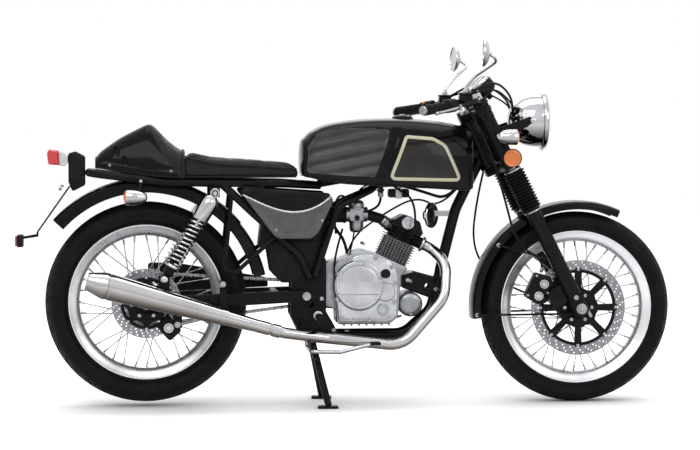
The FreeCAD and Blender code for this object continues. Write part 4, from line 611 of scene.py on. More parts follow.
def bolt_heads(name, places, facing, across=10, height=5, hollow=True):
    """Hexagon or socket heads at several places, standing out along a direction."""
    heads = []
    for place in places:
        radius = across / 2
        profile = [(0, height), (radius * 0.86, height), (radius, height - 0.8), (radius, -0.5)]
        if hollow:
            profile = [(0, height - 3), (radius * 0.45, height - 3), (radius * 0.45, height), *profile[1:]]
        heads.append(turned(name, profile, place, facing, 14 if hollow else 6))
    return painted(joined(name, heads), PLATED)


# Floor, backdrop and light

def seen_directly(tree):
    """One for rays from the camera, a gloss or a glass, and nought for the rays that light the object."""
    path = tree.nodes.new("ShaderNodeLightPath").outputs
    glossy = calculated(tree, "MAXIMUM", path["Is Camera Ray"], path["Is Glossy Ray"])
    return calculated(tree, "MAXIMUM", glossy, path["Is Transmission Ray"])


def white_floor():
    """A pale floor that looks white where the light falls on it and keeps the shadows, with a painted shadow near the
    object where ambient occlusion takes away its glow.
    """
    made, tree, shader = new_material("floor_white")
    # Painted shadow: the floor's glow fades where ambient occlusion finds the object close by
    painted_shadow_occlusion = tree.nodes.new("ShaderNodeAmbientOcclusion")
    painted_shadow_occlusion.samples = 6
    feed(tree, painted_shadow_occlusion, {"Distance": PAINTED_SHADOW_REACH})
    painted_shadow_glow = node(tree, "MapRange", "Result", {"Value": painted_shadow_occlusion.outputs["AO"], "From Min": 0.55, "From Max": 0.98,
                                              "To Max": FLOOR_LIFT})
    colour = blend_colours(tree, drift(tree, 3, 0, 1, 2), (0.9, 0.9, 0.9), (0.88, 0.88, 0.88))
    feed(tree, shader, {"Base Color": colour, "Roughness": 0.9, "Specular IOR Level": 0.1, "Emission Color": WHITE,
                        "Emission Strength": calculated(tree, "MULTIPLY", seen_directly(tree), painted_shadow_glow)})
    return made


def stage():
    """The floor, the white world around it and the lamps."""
    grid = bpy.data.meshes.new("floor")
    work = bmesh.new()
    bmesh.ops.create_grid(work, x_segments=8, y_segments=8, size=14)
    work.to_mesh(grid)
    work.free()
    grid.materials.append(white_floor())
    floor = linked("floor", grid)

    world = bpy.data.worlds.new("studio")
    bpy.context.scene.world = world
    world.use_nodes = True
    tree = world.node_tree
    base = tree.nodes["Background"]
    feed(tree, base, {"Color": WHITE, "Strength": 0.5})
    seen = node(tree, "Background", "Background", {"Color": WHITE, "Strength": 1.0})
    mix = node(tree, "MixShader", "Shader", {"Fac": seen_directly(tree), 1: base.outputs["Background"], 2: seen})
    feed(tree, tree.nodes["World Output"], {"Surface": mix})

    for name, place, size, power in (
        ("key", (-1.6, -3.4, 3.6), 3.4, 62),
        ("fill", (2.6, -3.0, 2.2), 3.0, 26),
        ("top", (0.0, 0.4, 4.2), 3.6, 42),
        ("back", (0.4, 3.6, 2.8), 3.0, 30),
    ):
        lamp = bpy.data.lights.new(name, "AREA")
        lamp.shape = "RECTANGLE"
        lamp.size = size
        lamp.size_y = size * 0.6
        lamp.energy = power
        holder = linked(name, lamp)
        holder.location = place
        look_at(holder, Vector((0, 0, 0.5)))


stage()


# Wheels

BEAD_RADIUS = 243
CROWN_STEPS, TYRE_SEGMENTS = 46, 420
SPOKES = 36
CHAIN_Y = 79


def tread_depth(around, across, pitch):
    """How deep the tread is cut at a place, in millimetres, from chevron grooves and a centre channel."""
    reach = abs(across)
    if reach > 0.97:
        return 0
    phase = (around / pitch + (0.5 if across > 0 else 0) + reach * 0.85) % 1
    if abs(reach - 0.2) < 0.035:
        return 3
    if 0.28 < reach < 0.92 and abs(phase - 0.5) < 0.07:
        return 3
    if 0.05 < reach < 0.5 and phase < 0.09:
        return 2.2
    return 0


def tyre(name, body, centre, radius, half, tread_pitch):
    """Road tyre with ribbed side walls, a rounded crown and cut tread."""
    wall = [(243.2, 27.5), (247, 33), (251, 35), (253, 37.2), (255, 36.6), (258, half - 7), (259.5, half - 5.6),
            (261.5, half - 5.4)]
    height = radius - BEAD_RADIUS
    for share, out in ((0.36, 0.96), (0.46, 0.99), (0.56, 1.0), (0.64, 0.985), (0.69, 0.955), (0.695, 0.95)):
        wall.append((BEAD_RADIUS + height * share, half * out))
    edge_y, edge_r = half * 0.94, BEAD_RADIUS + height * 0.71
    crown = []
    for i in range(CROWN_STEPS + 1):
        across = 1 - 2 * i / CROWN_STEPS
        lift = 1 - abs(across) ** 2.1
        crown.append((edge_r + (radius - edge_r) * lift, edge_y * across, across))
    profile = [(r, y, None) for r, y in wall] + crown + [(r, -y, None) for r, y in reversed(wall)]
    profile += [(241.5, -24, None), (241.5, 24, None), (243.2, 27.5, None)]
    points = []
    for i in range(TYRE_SEGMENTS):
        turn = math.tau * i / TYRE_SEGMENTS
        way = around(turn)
        for r, y, across in profile:
            cut = 0 if across is None else tread_depth(turn * radius, across, tread_pitch)
            points.append(centre + way * ((r - cut) / 1000) + Y_AXIS * (y / 1000))
    carcass = mesh_object(name + "_carcass", points, quads(TYRE_SEGMENTS, len(profile), skin_closed=True), 28)
    finished(painted(carcass, TYRE_RUBBER), body, [name])


def rim_piece(name, centre):
    half = [(208.5, 0), (209, 7), (212, 14), (219, 20), (227, 23.5), (233, 26.5), (238, 29), (241, 31), (244, 31),
            (245, 30), (245, 28.2), (242, 27.2), (239, 25), (234, 21), (226, 15), (219, 9), (218, 0)]
    return painted(turned(name + "_rim", mirrored(half), centre, Y_AXIS, 160, 30), RIM_ALLOY)


def hub_profile(length, barrel=34, flange=56):
    half = length / 2
    rows = [(9, half), (barrel - 4, half), (barrel, half - 3), (barrel, 43), (barrel + 6, 40.5), (flange - 3, 40),
            (flange, 38.5), (flange, 33.5), (flange - 3, 32), (barrel + 8, 31), (barrel, 25), (barrel - 3, 12),
            (barrel - 4, 0)]
    return mirrored(rows)


def spokes(name, centre):
    """Crossed wire spokes with their nipples, each from a hole in a flange to a hole in the rim."""
    pieces = []
    nipple = [(1.6, -17), (2.6, -17), (2.9, -15), (2.9, -3), (4.2, 0.5), (1.6, 1)]
    for i in range(SPOKES):
        side = 1 if i % 2 else -1
        lead = 1 if (i // 2) % 2 else -1
        rim_angle = math.tau * i / SPOKES
        low = centre + around(rim_angle + math.radians(48 * lead)) * 0.051
        low += Y_AXIS * (side * (36 + lead * 5.6) / 1000)
        high = centre + around(rim_angle) * 0.2085
        high += Y_AXIS * (side * 4 * (1.7 + lead) / 1000)
        way = (high - low).normalized()
        inward = Y_AXIS * (side * lead)
        pieces.append(swept("spoke", [low - inward * 0.009, low - inward * 0.001, low + way * 0.004, high],
                            [1.9, 1.9, 1.75, 1.5], 8))
        pieces.append(turned("nipple", nipple, high, way, 8))
        pieces.append(turned("head", [(0, 2.2), (3, 1.4), (3.4, 0), (0, -0.2)], low - inward * 0.0088, -inward, 10))
    return painted(joined(name + "_spokes", pieces), PLATED)


def spoked_wheel(name, body, centre, hub_length):
    hub = painted(turned(name + "_hub", hub_profile(hub_length), centre, Y_AXIS, 72, 30), SATIN_BLACK)
    built([rim_piece(name, centre), hub, spokes(name, centre)], body, name)


def disc(name, body, centre, radius, band, y, rows, bolts=56):
    """Drilled stainless band on a black carrier with eight arms and floating buttons."""
    middle = centre + Y_AXIS * (y / 1000)
    inner = radius - band
    drill = [ring_points(2.6, 10, *polar(r, math.tau * (i + 0.28 * j) / 32))
             for i in range(32) for j, r in enumerate(rows)]
    ring = plate(name + "_band", ring_points(radius, 160), [ring_points(inner, 120), *drill], 4, middle, X_AXIS,
                 Z_AXIS, 0.4)
    outline = []
    for i in range(8):
        for turn, r in ((-22.5, bolts + 6), (-9, bolts + 10), (-6, inner - 6), (-4.5, inner + 5), (4.5, inner + 5),
                        (6, inner - 6), (9, bolts + 10)):
            outline.append(polar(r, math.radians(45 * i + turn)))
    sixths = [math.tau * i / 6 for i in range(6)]
    holes = [ring_points(27, 40)] + [ring_points(4, 10, *polar(bolts - 4, turn)) for turn in sixths]
    carrier = plate(name + "_carrier", outline, holes, 5, middle, X_AXIS, Z_AXIS, 0.6)
    rim = [(inner - 10, -1.8), (inner + 1, -1.8), (inner + 1, 1.8), (inner - 10, 1.8), (inner - 10, -1.8)]
    spider = [(27, -2.2), (bolts + 3, -2.2), (bolts + 5, 0), (bolts + 3, 2.2), (27, 2.2), (27, -2.2)]
    button = [(0, 3.6), (4.6, 3.6), (5.4, 2.8), (5.4, -2.8), (4.6, -3.6), (0, -3.6)]
    buttons = [turned("button", button, middle + around(math.tau * i / 8) * (inner / 1000), Y_AXIS, 16)
               for i in range(8)]
    bolts_at = [middle + around(turn) * ((bolts - 12) / 1000) + Y_AXIS * math.copysign(0.0025, y) for turn in sixths]
    built([painted(ring, DISC_STEEL), painted(carrier, SATIN_BLACK),
           painted(turned(name + "_ring", rim, middle, Y_AXIS, 96, 30), SATIN_BLACK),
           painted(turned(name + "_spider", spider, middle, Y_AXIS, 64, 30), SATIN_BLACK),
           painted(joined("buttons", buttons), PLATED),
           bolt_heads("disc_bolts", bolts_at, Y_AXIS * math.copysign(1, y), 12, 4)], body, name)


def wheels():
    tyre("front_tyre", "front_roller", FRONT_AXLE, 305.5, 46, 46)
    tyre("rear_tyre", "rear_roller", REAR_AXLE, 317, 55, 52)
    spoked_wheel("front_wheel", "front_roller", FRONT_AXLE, 116)
    spoked_wheel("rear_wheel", "rear_roller", REAR_AXLE, 151.4)
    disc("front_disc", "front_roller", FRONT_AXLE, 152, 30, -60.3, (129, 137, 145))
    disc("rear_disc", "rear_roller", REAR_AXLE, 109, 28, -78, (87, 95, 103))
    for name, centre, hub, inner, reach, radius in (
        ("front_axle", FRONT_AXLE, 116, 70, 120, 7.5), ("rear_axle", REAR_AXLE, 151.4, 85, 111, 8.5),
    ):
        half = [(0, reach + 18), (radius - 1, reach + 18), (radius, reach + 17), (radius, reach + 12.3)]
        nut = [(13.4, reach + 12.3), (14, reach + 11.3), (14, reach + 3.3), (17, reach + 2.6), (17, reach + 0.3),
               (radius, reach + 0.3)]
        spacer = [(radius, inner - 0.3), (12, inner - 0.3), (13, inner - 1.3), (13, hub / 2 + 1),
                  (radius, hub / 2 + 1)]
        bar = half + nut + spacer
        rows = bar + [(r, -y) for r, y in reversed(bar)]
        body = "steering" if name == "front_axle" else "chassis"
        finished(painted(turned(name + "_built", rows, centre, Y_AXIS, 24, 30), PLATED), body, [name])


wheels()


def sprocket_radius(teeth):
    return CHAIN_PITCH / (2 * math.sin(math.pi / teeth))


def drive(teeth=42):
    """Rear sprocket with cut teeth, and the chain's links around both sprockets."""
    large, small = sprocket_radius(teeth), sprocket_radius(15)
    outline = []
    for i in range(teeth):
        for share, r in ((0.0, -4.2), (0.14, -3.6), (0.3, 0.4), (0.43, 3.4), (0.57, 3.4), (0.7, 0.4), (0.86, -3.6)):
            outline.append(polar(large + r, math.tau * (i + share) / teeth))
    windows = [ring_points(27, 36)]
    for i in range(6):
        turn = math.tau * i / 6
        windows.append(ring_points(9, 20, *polar(large - 24, turn)))
        windows.append(ring_points(4.2, 12, *polar(46, turn + math.tau / 12)))
    middle = REAR_AXLE + Y_AXIS * (CHAIN_Y / 1000)
    wheel = plate("sprocket_built", outline, windows, 6, middle, X_AXIS, Z_AXIS, 0.7)
    finished(painted(wheel, PLATED), "rear_roller", ["rear_sprocket"])

    rear, front = Vector((0, REAR_AXLE_Z)), Vector((575, 352))
    line = front - rear
    open_angle = math.acos((large - small) / line.length)
    top = math.atan2(line.y, line.x) + open_angle
    low = math.atan2(line.y, line.x) - open_angle
    run = line.length * math.sin(open_angle)
    front_arc = small * 2 * open_angle
    total = 2 * run + large * (math.tau - 2 * open_angle) + front_arc
    count = 2 * round(total / CHAIN_PITCH / 2)

    def place(distance):
        """Where the chain is, going over the top, around the front, back below and around the rear."""
        distance %= total
        if distance < run:
            out = Vector(polar(1, top))
            start, end = rear + out * large, front + out * small
            return start + (end - start) * (distance / run)
        distance -= run
        if distance < front_arc:
            return front + Vector(polar(1, top - distance / small)) * small
        distance -= front_arc
        if distance < run:
            out = Vector(polar(1, low))
            start, end = front + out * small, rear + out * large
            return start + (end - start) * (distance / run)
        return rear + Vector(polar(1, low - (distance - run) / large)) * large

    outline = []
    for end in (1, -1):
        for j in range(9):
            x, y = polar(5.6, math.pi * (j / 8 - end / 2))
            outline.append((end * CHAIN_PITCH / 2 + x, y))
        outline.append((0, end * 4.3))
    roller = [(0, 8.2), (2.2, 8.2), (2.2, 4.4), (3.9, 4.4), (3.9, -4.4), (2.2, -4.4), (2.2, -8.2), (0, -8.2)]
    links = []
    for i in range(count):
        here, ahead = place(i * total / count), place((i + 1) * total / count)
        way = (ahead - here).normalized()
        middle = (here + ahead) / 2
        along, up = Vector((way.x, 0, way.y)), Vector((-way.y, 0, way.x))
        for side in (-1, 1):
            y = CHAIN_Y + side * (5.3 if i % 2 else 7)
            links.append(plate("link", outline, [], 1.5, at(middle.x, y, middle.y), along, up, 0.25))
        links.append(turned("roller", roller, at(here.x, CHAIN_Y, here.y), Y_AXIS, 10))
    finished(painted(joined("chain_links", links), PLATED), "chassis", ["chain"])


drive()


# Front end

def fork_outline(name, outline, holes, thickness, level, edge):
    """A plate square to the fork legs. Its points lie ahead of the legs' line and across."""
    return plate(name, outline, holes, thickness, on_fork(0, 0, level), FORK_AHEAD, Y_AXIS, edge)


def fork():
    legs, clamps = [], []
    for side in (-1, 1):
        foot = on_fork(0, side * FORK_HALF, 0)
        slider = [(0, -26), (14, -26), (19, -24), (23, -18), (25, -10), (25, 16), (24, 30), (24, 300), (25, 312),
                  (25, 333), (23, 343), (18, 345)]
        add(legs, SATIN_BLACK, turned("slider", slider, foot, FORK_UP, 40))
        gaiter = [(24, 341), (27, 343), (27.5, 352)]
        folds = 13
        step = 132 / folds
        for i in range(folds):
            low = 354 + i * step
            gaiter += [(27, low), (30, low + step * 0.14), (33.8, low + step * 0.38), (34.8, low + step * 0.5),
                       (33.8, low + step * 0.62), (30, low + step * 0.86)]
        gaiter += [(27, 486), (27.5, 489), (27.5, 495), (18, 497)]
        add(legs, SOFT_RUBBER, turned("gaiter", gaiter, foot, FORK_UP, 44, 50))
        for level in (347, 491):
            band = [(27.4, level - 2.6), (28.6, level - 2.2), (28.6, level + 2.2), (27.4, level + 2.6)]
            add(legs, PLATED, turned("gaiter_band", band, foot, FORK_UP, 40))
        tube_rows = [(16.5, 495), (16.5, 768), (15, 771), (9, 772), (8, 770.4), (0, 770.4)]
        add(legs, CHROME, turned("fork_tube", tube_rows, foot, FORK_UP, 32))
        add(legs, PLATED, turned("axle_pinch", [(0, 8), (5, 8), (6, 7), (6, -30), (0, -30)],
                                 on_fork(19, side * FORK_HALF, -10), FORK_UP, 14))
        screw = [(0, 3), (7, 3), (8, 2), (8, -2), (0, -2)]
        add(legs, PLATED, turned("drain_screw", screw, on_fork(0, side * (FORK_HALF + 24.5), 40), Y_AXIS * side, 14))
    built(legs, "steering", "fork_legs")

    ear = 25.5
    for level in CLAMP_LEVELS:
        outline = rounded([
            (-70, -19), (-34, -60), (-ear + 4, -FORK_HALF - ear, 16), (ear - 4, -FORK_HALF - ear, 16),
            (ear, -FORK_HALF + 10), (-16, -30), (-16, 30), (ear, FORK_HALF - 10), (ear - 4, FORK_HALF + ear, 16),
            (-ear + 4, FORK_HALF + ear, 16), (-34, 60), (-70, 19),
        ], 14, 6)
        holes = [ring_points(16.8, 40, 0, side * FORK_HALF) for side in (-1, 1)]
        holes.append(ring_points(12.6, 32, STEM_X, 0))
        add(clamps, SATIN_BLACK, fork_outline("clamp", outline, holes, 26, level, 3.0))
        heads = [on_fork(ear - 2, side * (FORK_HALF - 22), level) for side in (-1, 1)]
        clamps.append(bolt_heads("pinch_bolts", heads, FORK_AHEAD, 12, 7))
    add(clamps, PLATED, turned("stem", [(12.5, 500), (12.5, 724), (20, 715.4), (20, 724), (17, 727), (8, 727),
                                        (8, 722), (0, 722)], on_fork(STEM_X, 0, 0), FORK_UP, 32))
    finished(joined("clamps_built", clamps), "steering", ["fork_clamps"])

    ears = []
    for side in (-1, 1):
        foot = on_fork(0, side * FORK_HALF, 0)
        rows = [(16.8, 525.4), (24, 525.4), (24.5, 527), (24.5, 540), (23.4, 543), (23.4, 671), (24.5, 674),
                (24.5, 687), (24, 688.6), (16.8, 688.6)]
        add(ears, SATIN_BLACK, turned("sleeve", rows, foot, FORK_UP, 36))
        x, z = side_place(on_fork(16.5, 0, 607))
        bracket = rounded([(x - 1, z - 26), (1180, 868), (1212, 889), (1232, 902, 11), (1212, 915), (1176, 902),
                           (x - 17, z + 20)], 7)
        ears.append(slab("lamp_bracket", bracket, [], side * 85, 4, 1.2, SATIN_BLACK, 1200, 880))
        add(ears, CHROME, bolt_heads("lamp_bolts", [at(1222, side * 87, 902)], Y_AXIS * side, 17, 7))
    built(ears, "steering", "lamp_ears")


fork()


def headlamp():
    centre = at(1277, 0, 902)
    shell = turned("lamp_bowl", [
        (0, -122), (16, -121.4), (30, -118.6), (44, -112.4), (57, -102), (68, -88), (76, -71), (81, -52), (83, -34),
        (83, -20), (83, -15), (79, -15), (79, -20),
    ], centre, X_AXIS, 80)
    rim = turned("lamp_rim", [
        (83, -18), (87.5, -18), (90, -16.4), (91, -13), (91, -8), (89.6, -3.6), (86.6, -0.8), (83, 0), (80.4, -1.6),
        (80.4, -12), (83, -12),
    ], centre, X_AXIS, 90, 50)
    tab = block("rim_screw", (1262, -6, 807), (1272, 6, 813), 1.4)
    whole = joined("headlamp_built", [painted(shell, CHROME), painted(rim, CHROME), painted(tab, CHROME)])
    finished(whole, "steering", ["headlamp_shell"])
    glass = turned("headlamp_glass", [
        (0, 9), (24, 8), (46, 5.2), (64, 0.6), (75, -4.4), (80.2, -9), (80.2, -11), (74, -7), (63, -2), (45, 2.6),
        (24, 5.2), (0, 6),
    ], centre, X_AXIS, 64, 60)
    reflector = turned("lamp_reflector", [
        (79, -11.4), (70, -26), (58, -41), (44, -53), (30, -61), (16, -66), (12, -60), (0, -58),
    ], centre, X_AXIS, 64, 60)
    bulb = turned("lamp_bulb", [(0, -30), (7, -32), (9, -38), (8, -50), (5, -60)], centre, X_AXIS, 20, 60)
    whole = joined("headlamp_front", [painted(glass, GLASS), painted(reflector, CHROME), painted(bulb, MIRROR)])
    finished(whole, "steering", ["headlamp_lens"])


headlamp()


def instruments():
    """Two dials with plain scales, in cups on a cushioned bracket."""
    pieces = []
    tilt = math.radians(40.5)
    axis = Vector((-math.sin(tilt), 0, math.cos(tilt)))
    up = Vector((math.cos(tilt), 0, math.sin(tilt)))
    for side in (-1, 1):
        base = on_fork(44, side * 46, 737)
        cup = [(0, 0), (18, 0), (25, 1.6), (32, 6), (37, 13), (39, 22), (39, 43), (38, 45)]
        add(pieces, MOULDED_BLACK, turned("dial_cup", cup, base, axis, 48))
        ring = [(36, 43), (39.4, 43.4), (40, 46), (39.6, 50), (37.4, 52), (35, 51), (34.4, 47.6)]
        add(pieces, CHROME, turned("dial_ring", ring, base, axis, 56, 50))
        add(pieces, DIAL_FACE, turned("dial_card", [(0, 46.4), (34.8, 46.4), (35, 46)], base, axis, 48))
        ticks = []
        for i in range(25):
            turn = math.radians(-120 + 10 * i)
            way = up * math.cos(turn) + Y_AXIS * math.sin(turn)
            length = 6.5 if i % 3 == 0 else 3.5
            inner, outer = base + axis * 0.0468 + way * ((32 - length) / 1000), base + axis * 0.0468 + way * 0.032
            ticks.append(swept("tick", [inner, outer], 0.45 if i % 3 else 0.8, 4))
        add(pieces, CREAM_LINE, joined("ticks", ticks))
        way = up * math.cos(math.radians(-118)) + Y_AXIS * math.sin(math.radians(-118))
        hand = [base + axis * 0.0482 - way * 0.006, base + axis * 0.0482 + way * 0.027]
        add(pieces, RED, swept("pointer", hand, [1.1, 0.4], 6))
        add(pieces, MOULDED_BLACK, turned("pointer_cap", [(0, 49.4), (3, 49.2), (3.6, 47)], base, axis, 16))
        add(pieces, GLASS, turned("dial_glass", [(0, 50.6), (20, 50.3), (34.8, 49.6), (34.8, 49), (0, 49.9)], base,
                                  axis, 40, 60))
        boss = [(0, -14), (9, -14), (9, 0.4), (0, 0.4)]
        add(pieces, SOFT_RUBBER, turned("dial_boss", boss, base, axis, 16))
    bar = rounded([(-22, -50), (34, -50), (34, 50), (-22, 50)], 10)
    add(pieces, SATIN_BLACK, plate("dial_bracket", bar, [], 5, on_fork(0, 0, 722), FORK_AHEAD, Y_AXIS, 1))
    line = [on_fork(44, 46, 735), at(1100, 50, 800), at(1066, 62, 650), at(1050, 70, 500), at(1110, 78, 400),
            at(1250, 76, 330), at(1352, 66, 306)]
    pieces.append(cable("speedo_cable", line, 3.4))
    add(pieces, MOULDED_BLACK, block("warning_lamps", (1040, -20, 978), (1062, 20, 990), 3))
    for i, material in enumerate((AMBER, DARK_RED, AMBER)):
        spot = at(1050, -12 + 12 * i, 990)
        add(pieces, material, turned("lamp_bead", [(0, 2), (2.6, 1.2), (3.4, -0.4)], spot, Z_AXIS, 14))
    built(pieces, "steering", "instruments")


instruments()


def bars():
    """Clip-on bars with ribbed grips, switch housings, reservoirs and levers."""
    for side in (-1, 1):
        pieces = []

        def here(x, y, z):
            return at(x, side * y, z)

        ring_foot = on_fork(0, side * FORK_HALF, 715.3)
        ring = [(16.8, 0), (23.6, 0), (24.5, 1), (24.5, 23), (23.6, 24), (16.8, 24)]
        add(pieces, SATIN_BLACK, turned("bar_ring", ring, ring_foot, FORK_UP, 36))
        pieces.append(bolt_heads("bar_bolts", [on_fork(24, side * (FORK_HALF - 12), 727)], FORK_AHEAD, 11, 5))
        start = on_fork(0, side * 113.5, 727.3)
        end = here(838, 352, 932)
        along = end - start
        knee = start + Vector((along.x * 0.12, along.y * 0.18, 0.006))
        path = eased([start - Y_AXIS * (side * 0.012), knee, end], 40)
        add(pieces, SATIN_BLACK, swept("bar", path, 11, 24))
        way = (end - knee).normalized()
        grip_start = end - way * 0.118
        rows = [(11, 0), (19.5, 0), (20.5, 1.6), (20.5, 4.4), (19, 6), (15.6, 8)]
        for i in range(19):
            low = 9 + i * 5.2
            rows += [(15.4, low), (15.4, low + 1.2), (16.1, low + 1.8), (16.1, low + 4.4), (15.4, low + 5.0)]
        rows += [(15.6, 109), (16.2, 111), (16.2, 115), (14.6, 117), (10, 118)]
        add(pieces, SOFT_RUBBER, turned("grip", rows, grip_start, way, 30, 30))
        weight = [(10, 117), (13, 117.6), (14, 119), (14, 123), (12.6, 124), (4, 124), (3.4, 122), (0, 122)]
        add(pieces, PLATED, turned("bar_end", weight, grip_start, way, 28))
        house_start = end - way * 0.162
        house = [(11, 0), (18, 0), (20.4, 2), (21, 4), (21, 18.8), (20, 19.4), (20, 20.2), (21, 20.8), (21, 36),
                 (20, 38.6), (17, 40.4), (11, 41)]
        add(pieces, MOULDED_BLACK, turned("switch_housing", house, house_start, way, 32))
        button_at = house_start + way * 0.02
        for lift, reach, material in ((20, 6, DARK_RED if side < 0 else AMBER), (-2, 7, MOULDED_BLACK)):
            spot = button_at + Vector((-0.019, 0, lift / 1000 * 0.6))
            add(pieces, material, turned("switch", [(0, reach), (4, reach), (5, reach - 1), (5, -3)], spot,
                                         Vector((-1, 0, 0.15)), 16))
        corner = end - way * 0.178 + Vector((0.004, 0, 0.010))
        low_x, low_z = side_place(corner)
        mid_y = abs(corner.y) * 1000
        y_low, y_high = sorted((side * (mid_y - 18), side * (mid_y + 22)))
        low, high = (low_x, y_low, low_z), (low_x + 40, y_high, low_z + 20)
        add(pieces, SATIN_BLACK, block("reservoir", low, high, 5, 3))
        lid_low = (low[0] - 1, low[1] - 1, low[2] + 20)
        lid_high = (high[0] + 1, high[1] + 1, low[2] + 25.6)
        add(pieces, MOULDED_BLACK, block("reservoir_lid", lid_low, lid_high, 2.2, 3))
        lid_bolts = [at((low[0] + high[0]) / 2 + dx, (low[1] + high[1]) / 2 + dy, low[2] + 25.4)
                     for dx, dy in ((-13, -13), (13, 13))]
        pieces.append(bolt_heads("lid_screws", lid_bolts, Z_AXIS, 7, 0.8))
        lever_root = end - way * 0.148 + Vector((0.026, 0, -0.006))
        tip = end + Vector((0.044, -0.026 * side, -0.008))
        mid = lever_root.lerp(tip, 0.5) + Vector((0.006, side * 0.002, 0))
        line = spline_points([lever_root + Vector((-0.024, -0.004 * side, 0.004)), lever_root, mid, tip], 14)
        count = len(line)
        widths = [5.4 - 1.8 * i / count for i in range(count)]
        add(pieces, COVER_ALLOY, swept("lever", line, widths, 12, flat=1.5))
        ball_way = (line[-1] - line[-2]).normalized()
        ball = [(0, 7), (4, 5.8), (6.2, 2), (6.2, -2), (4, -5.8), (3, -7)]
        add(pieces, COVER_ALLOY, turned("lever_ball", ball, line[-1], ball_way, 16, 60))
        pivot = [(0, 9), (5, 9), (6, 8), (6, -8), (5, -9), (0, -9)]
        add(pieces, PLATED, turned("lever_pivot", pivot, lever_root, Z_AXIS, 16))
        for reach, thick, rise in ((0.010, 3.6, 1030), (0.026, 2.8, 1008)):
            leave = house_start + way * reach - FORK_AHEAD * 0.006
            loop = [leave, leave + Vector((0.05, -side * 0.03, 0.03)), at(1080, side * 170, rise),
                    at(1150, side * 70, rise - 40), at(1172, side * 16, 936), at(1164, side * 10, 905)]
            pieces.append(cable("control_cable", loop, thick))
        tag = "right" if side < 0 else "left"
        whole = joined(f"bar_{tag}", pieces)
        finished(whole, "steering", ["handlebars"] if side < 0 else ())

        centre = here(1030, 318, 1108)
        facing = Vector((-1, 0.12 * -side, 0.05)).normalized()
        back = [(0, -16), (10, -15.6), (22, -13.4), (32, -9), (39, -3), (41.4, 0), (41.8, 2), (41.8, 4.6),
                (41, 5.6), (39.6, 5.6), (39.2, 3.6)]
        pieces = [painted(turned("mirror_shell", back, centre, facing, 56, 50), CHROME)]
        add(pieces, MIRROR, turned("mirror_face", [(0, 3.8), (39.4, 3.8), (39.6, 3.4)], centre, facing, 56))
        base = corner + Vector((0.020, 0, 0.0263))
        base.y = side * (mid_y + 2) / 1000
        stalk = eased([
            base + Vector((0, 0, 0.004)), base + Vector((0.002, 0, 0.02)),
            base + Vector((0.030, side * 0.014, 0.052)),
            centre + Vector((0.044, -side * 0.008, -0.022)), centre - facing * 0.010,
        ], 30, 10)
        add(pieces, CHROME, swept("mirror_stalk", stalk, 4.6, 14))
        boss = [(0, 12), (5.4, 12), (8, 10), (9, 8), (9, 1), (8, 0)]
        add(pieces, PLATED, turned("mirror_boss", boss, base, Z_AXIS, 6, 30))
        add(pieces, CHROME, turned("stalk_ball", [(0, 8), (6, 6), (8.4, 0), (6, -6), (0, -8)],
                                   centre - facing * 0.014, facing, 20, 60))
        whole = joined(f"mirror_{tag}", pieces)
        finished(whole, "steering", ["mirrors"] if side < 0 else ())


bars()


def guard_blade(name, centre, radius, half, lip, start, sweep, segments=72):
    """A mudguard's blade, rounded at the shoulders, with rolled edges and a hollow inside."""
    outer = []
    for i in range(13):
        turn = math.radians(90 * i / 12)
        outer.append((12 * (1 - math.cos(turn)) ** 1.25, half * math.sin(turn)))
    inner = [(drop + 2.4, across * (half - 2.6) / half) for drop, across in reversed(outer[1:12])]
    edge = [(lip - 4, half), (lip - 1, half + 0.6), (lip + 0.6, half - 0.6), (lip, half - 2.4), (12.6, half - 2.6)]
    right = [(radius - drop, across) for drop, across in outer + edge + inner]
    left = [(r, -y) for r, y in reversed(right[1:])]
    rings = []
    for i in range(segments + 1):
        way = around(math.radians(start + sweep * i / segments))
        rings.append([centre + way * (r / 1000) + Y_AXIS * (y / 1000) for r, y in right + left])
    return skinned(name, rings, True, 30)


def mudguards():
    blade = painted(guard_blade("front_blade", FRONT_AXLE, 342, 55.4, 28, 66, 120), GLOSS_BLACK)
    pieces = [blade]
    for side in (-1, 1):
        for angle, level in ((142, 190), (184, -8)):
            high = FRONT_AXLE + around(math.radians(angle)) * 0.326 + Y_AXIS * (side * 0.0555)
            low = on_fork(-25, side * (FORK_HALF - 12.5), level)
            add(pieces, SATIN_BLACK, swept("guard_stay", [low, high], 3.4, 12))
            add(pieces, PLATED, turned("stay_end", [(0, 1.6), (6.5, 1.6), (7.2, 0.8), (7.2, -1.5), (0, -1.5)], high,
                                       Y_AXIS * side, 16))
    built(pieces, "steering", "front_mudguard")
    blade = painted(guard_blade("rear_blade", REAR_AXLE, 391, 69.4, 44, 40, 98), GLOSS_BLACK)
    pieces = [blade, painted(guard_blade("inner_flap", REAR_AXLE, 386, 66, 38, 13, 29, 30), MOULDED_BLACK)]
    for side in (-1, 1):
        low_y, high_y = sorted((side * 60, side * 85))
        add(pieces, SATIN_BLACK, block("guard_mount", (50, low_y, 698), (80, high_y, 706), 2))
        pieces.append(bolt_heads("guard_bolt", [at(65, side * 76, 706)], Z_AXIS, 10, 4))
    built(pieces, "chassis", "rear_mudguard")


mudguards()


def tilted(turn):
    """Ahead and up, both leaning forward by a turn."""
    return Vector((math.cos(turn), 0, -math.sin(turn))), Vector((math.sin(turn), 0, math.cos(turn)))


def caliper(centre, ahead, up, body, halves, bridge):
    """Two halves on either side of a disc and the bridge between them."""
    pieces = []
    for y_low, y_high in halves:
        middle = Vector((centre.x, (y_low + y_high) / 2000, centre.z))
        add(pieces, SATIN_BLACK, plate("caliper_half", rounded(body, 12), [], y_high - y_low, middle, ahead, up, 2.4))
    add(pieces, SATIN_BLACK, plate("caliper_bridge", bridge, [], 22, centre, ahead, up, 2))
    return pieces


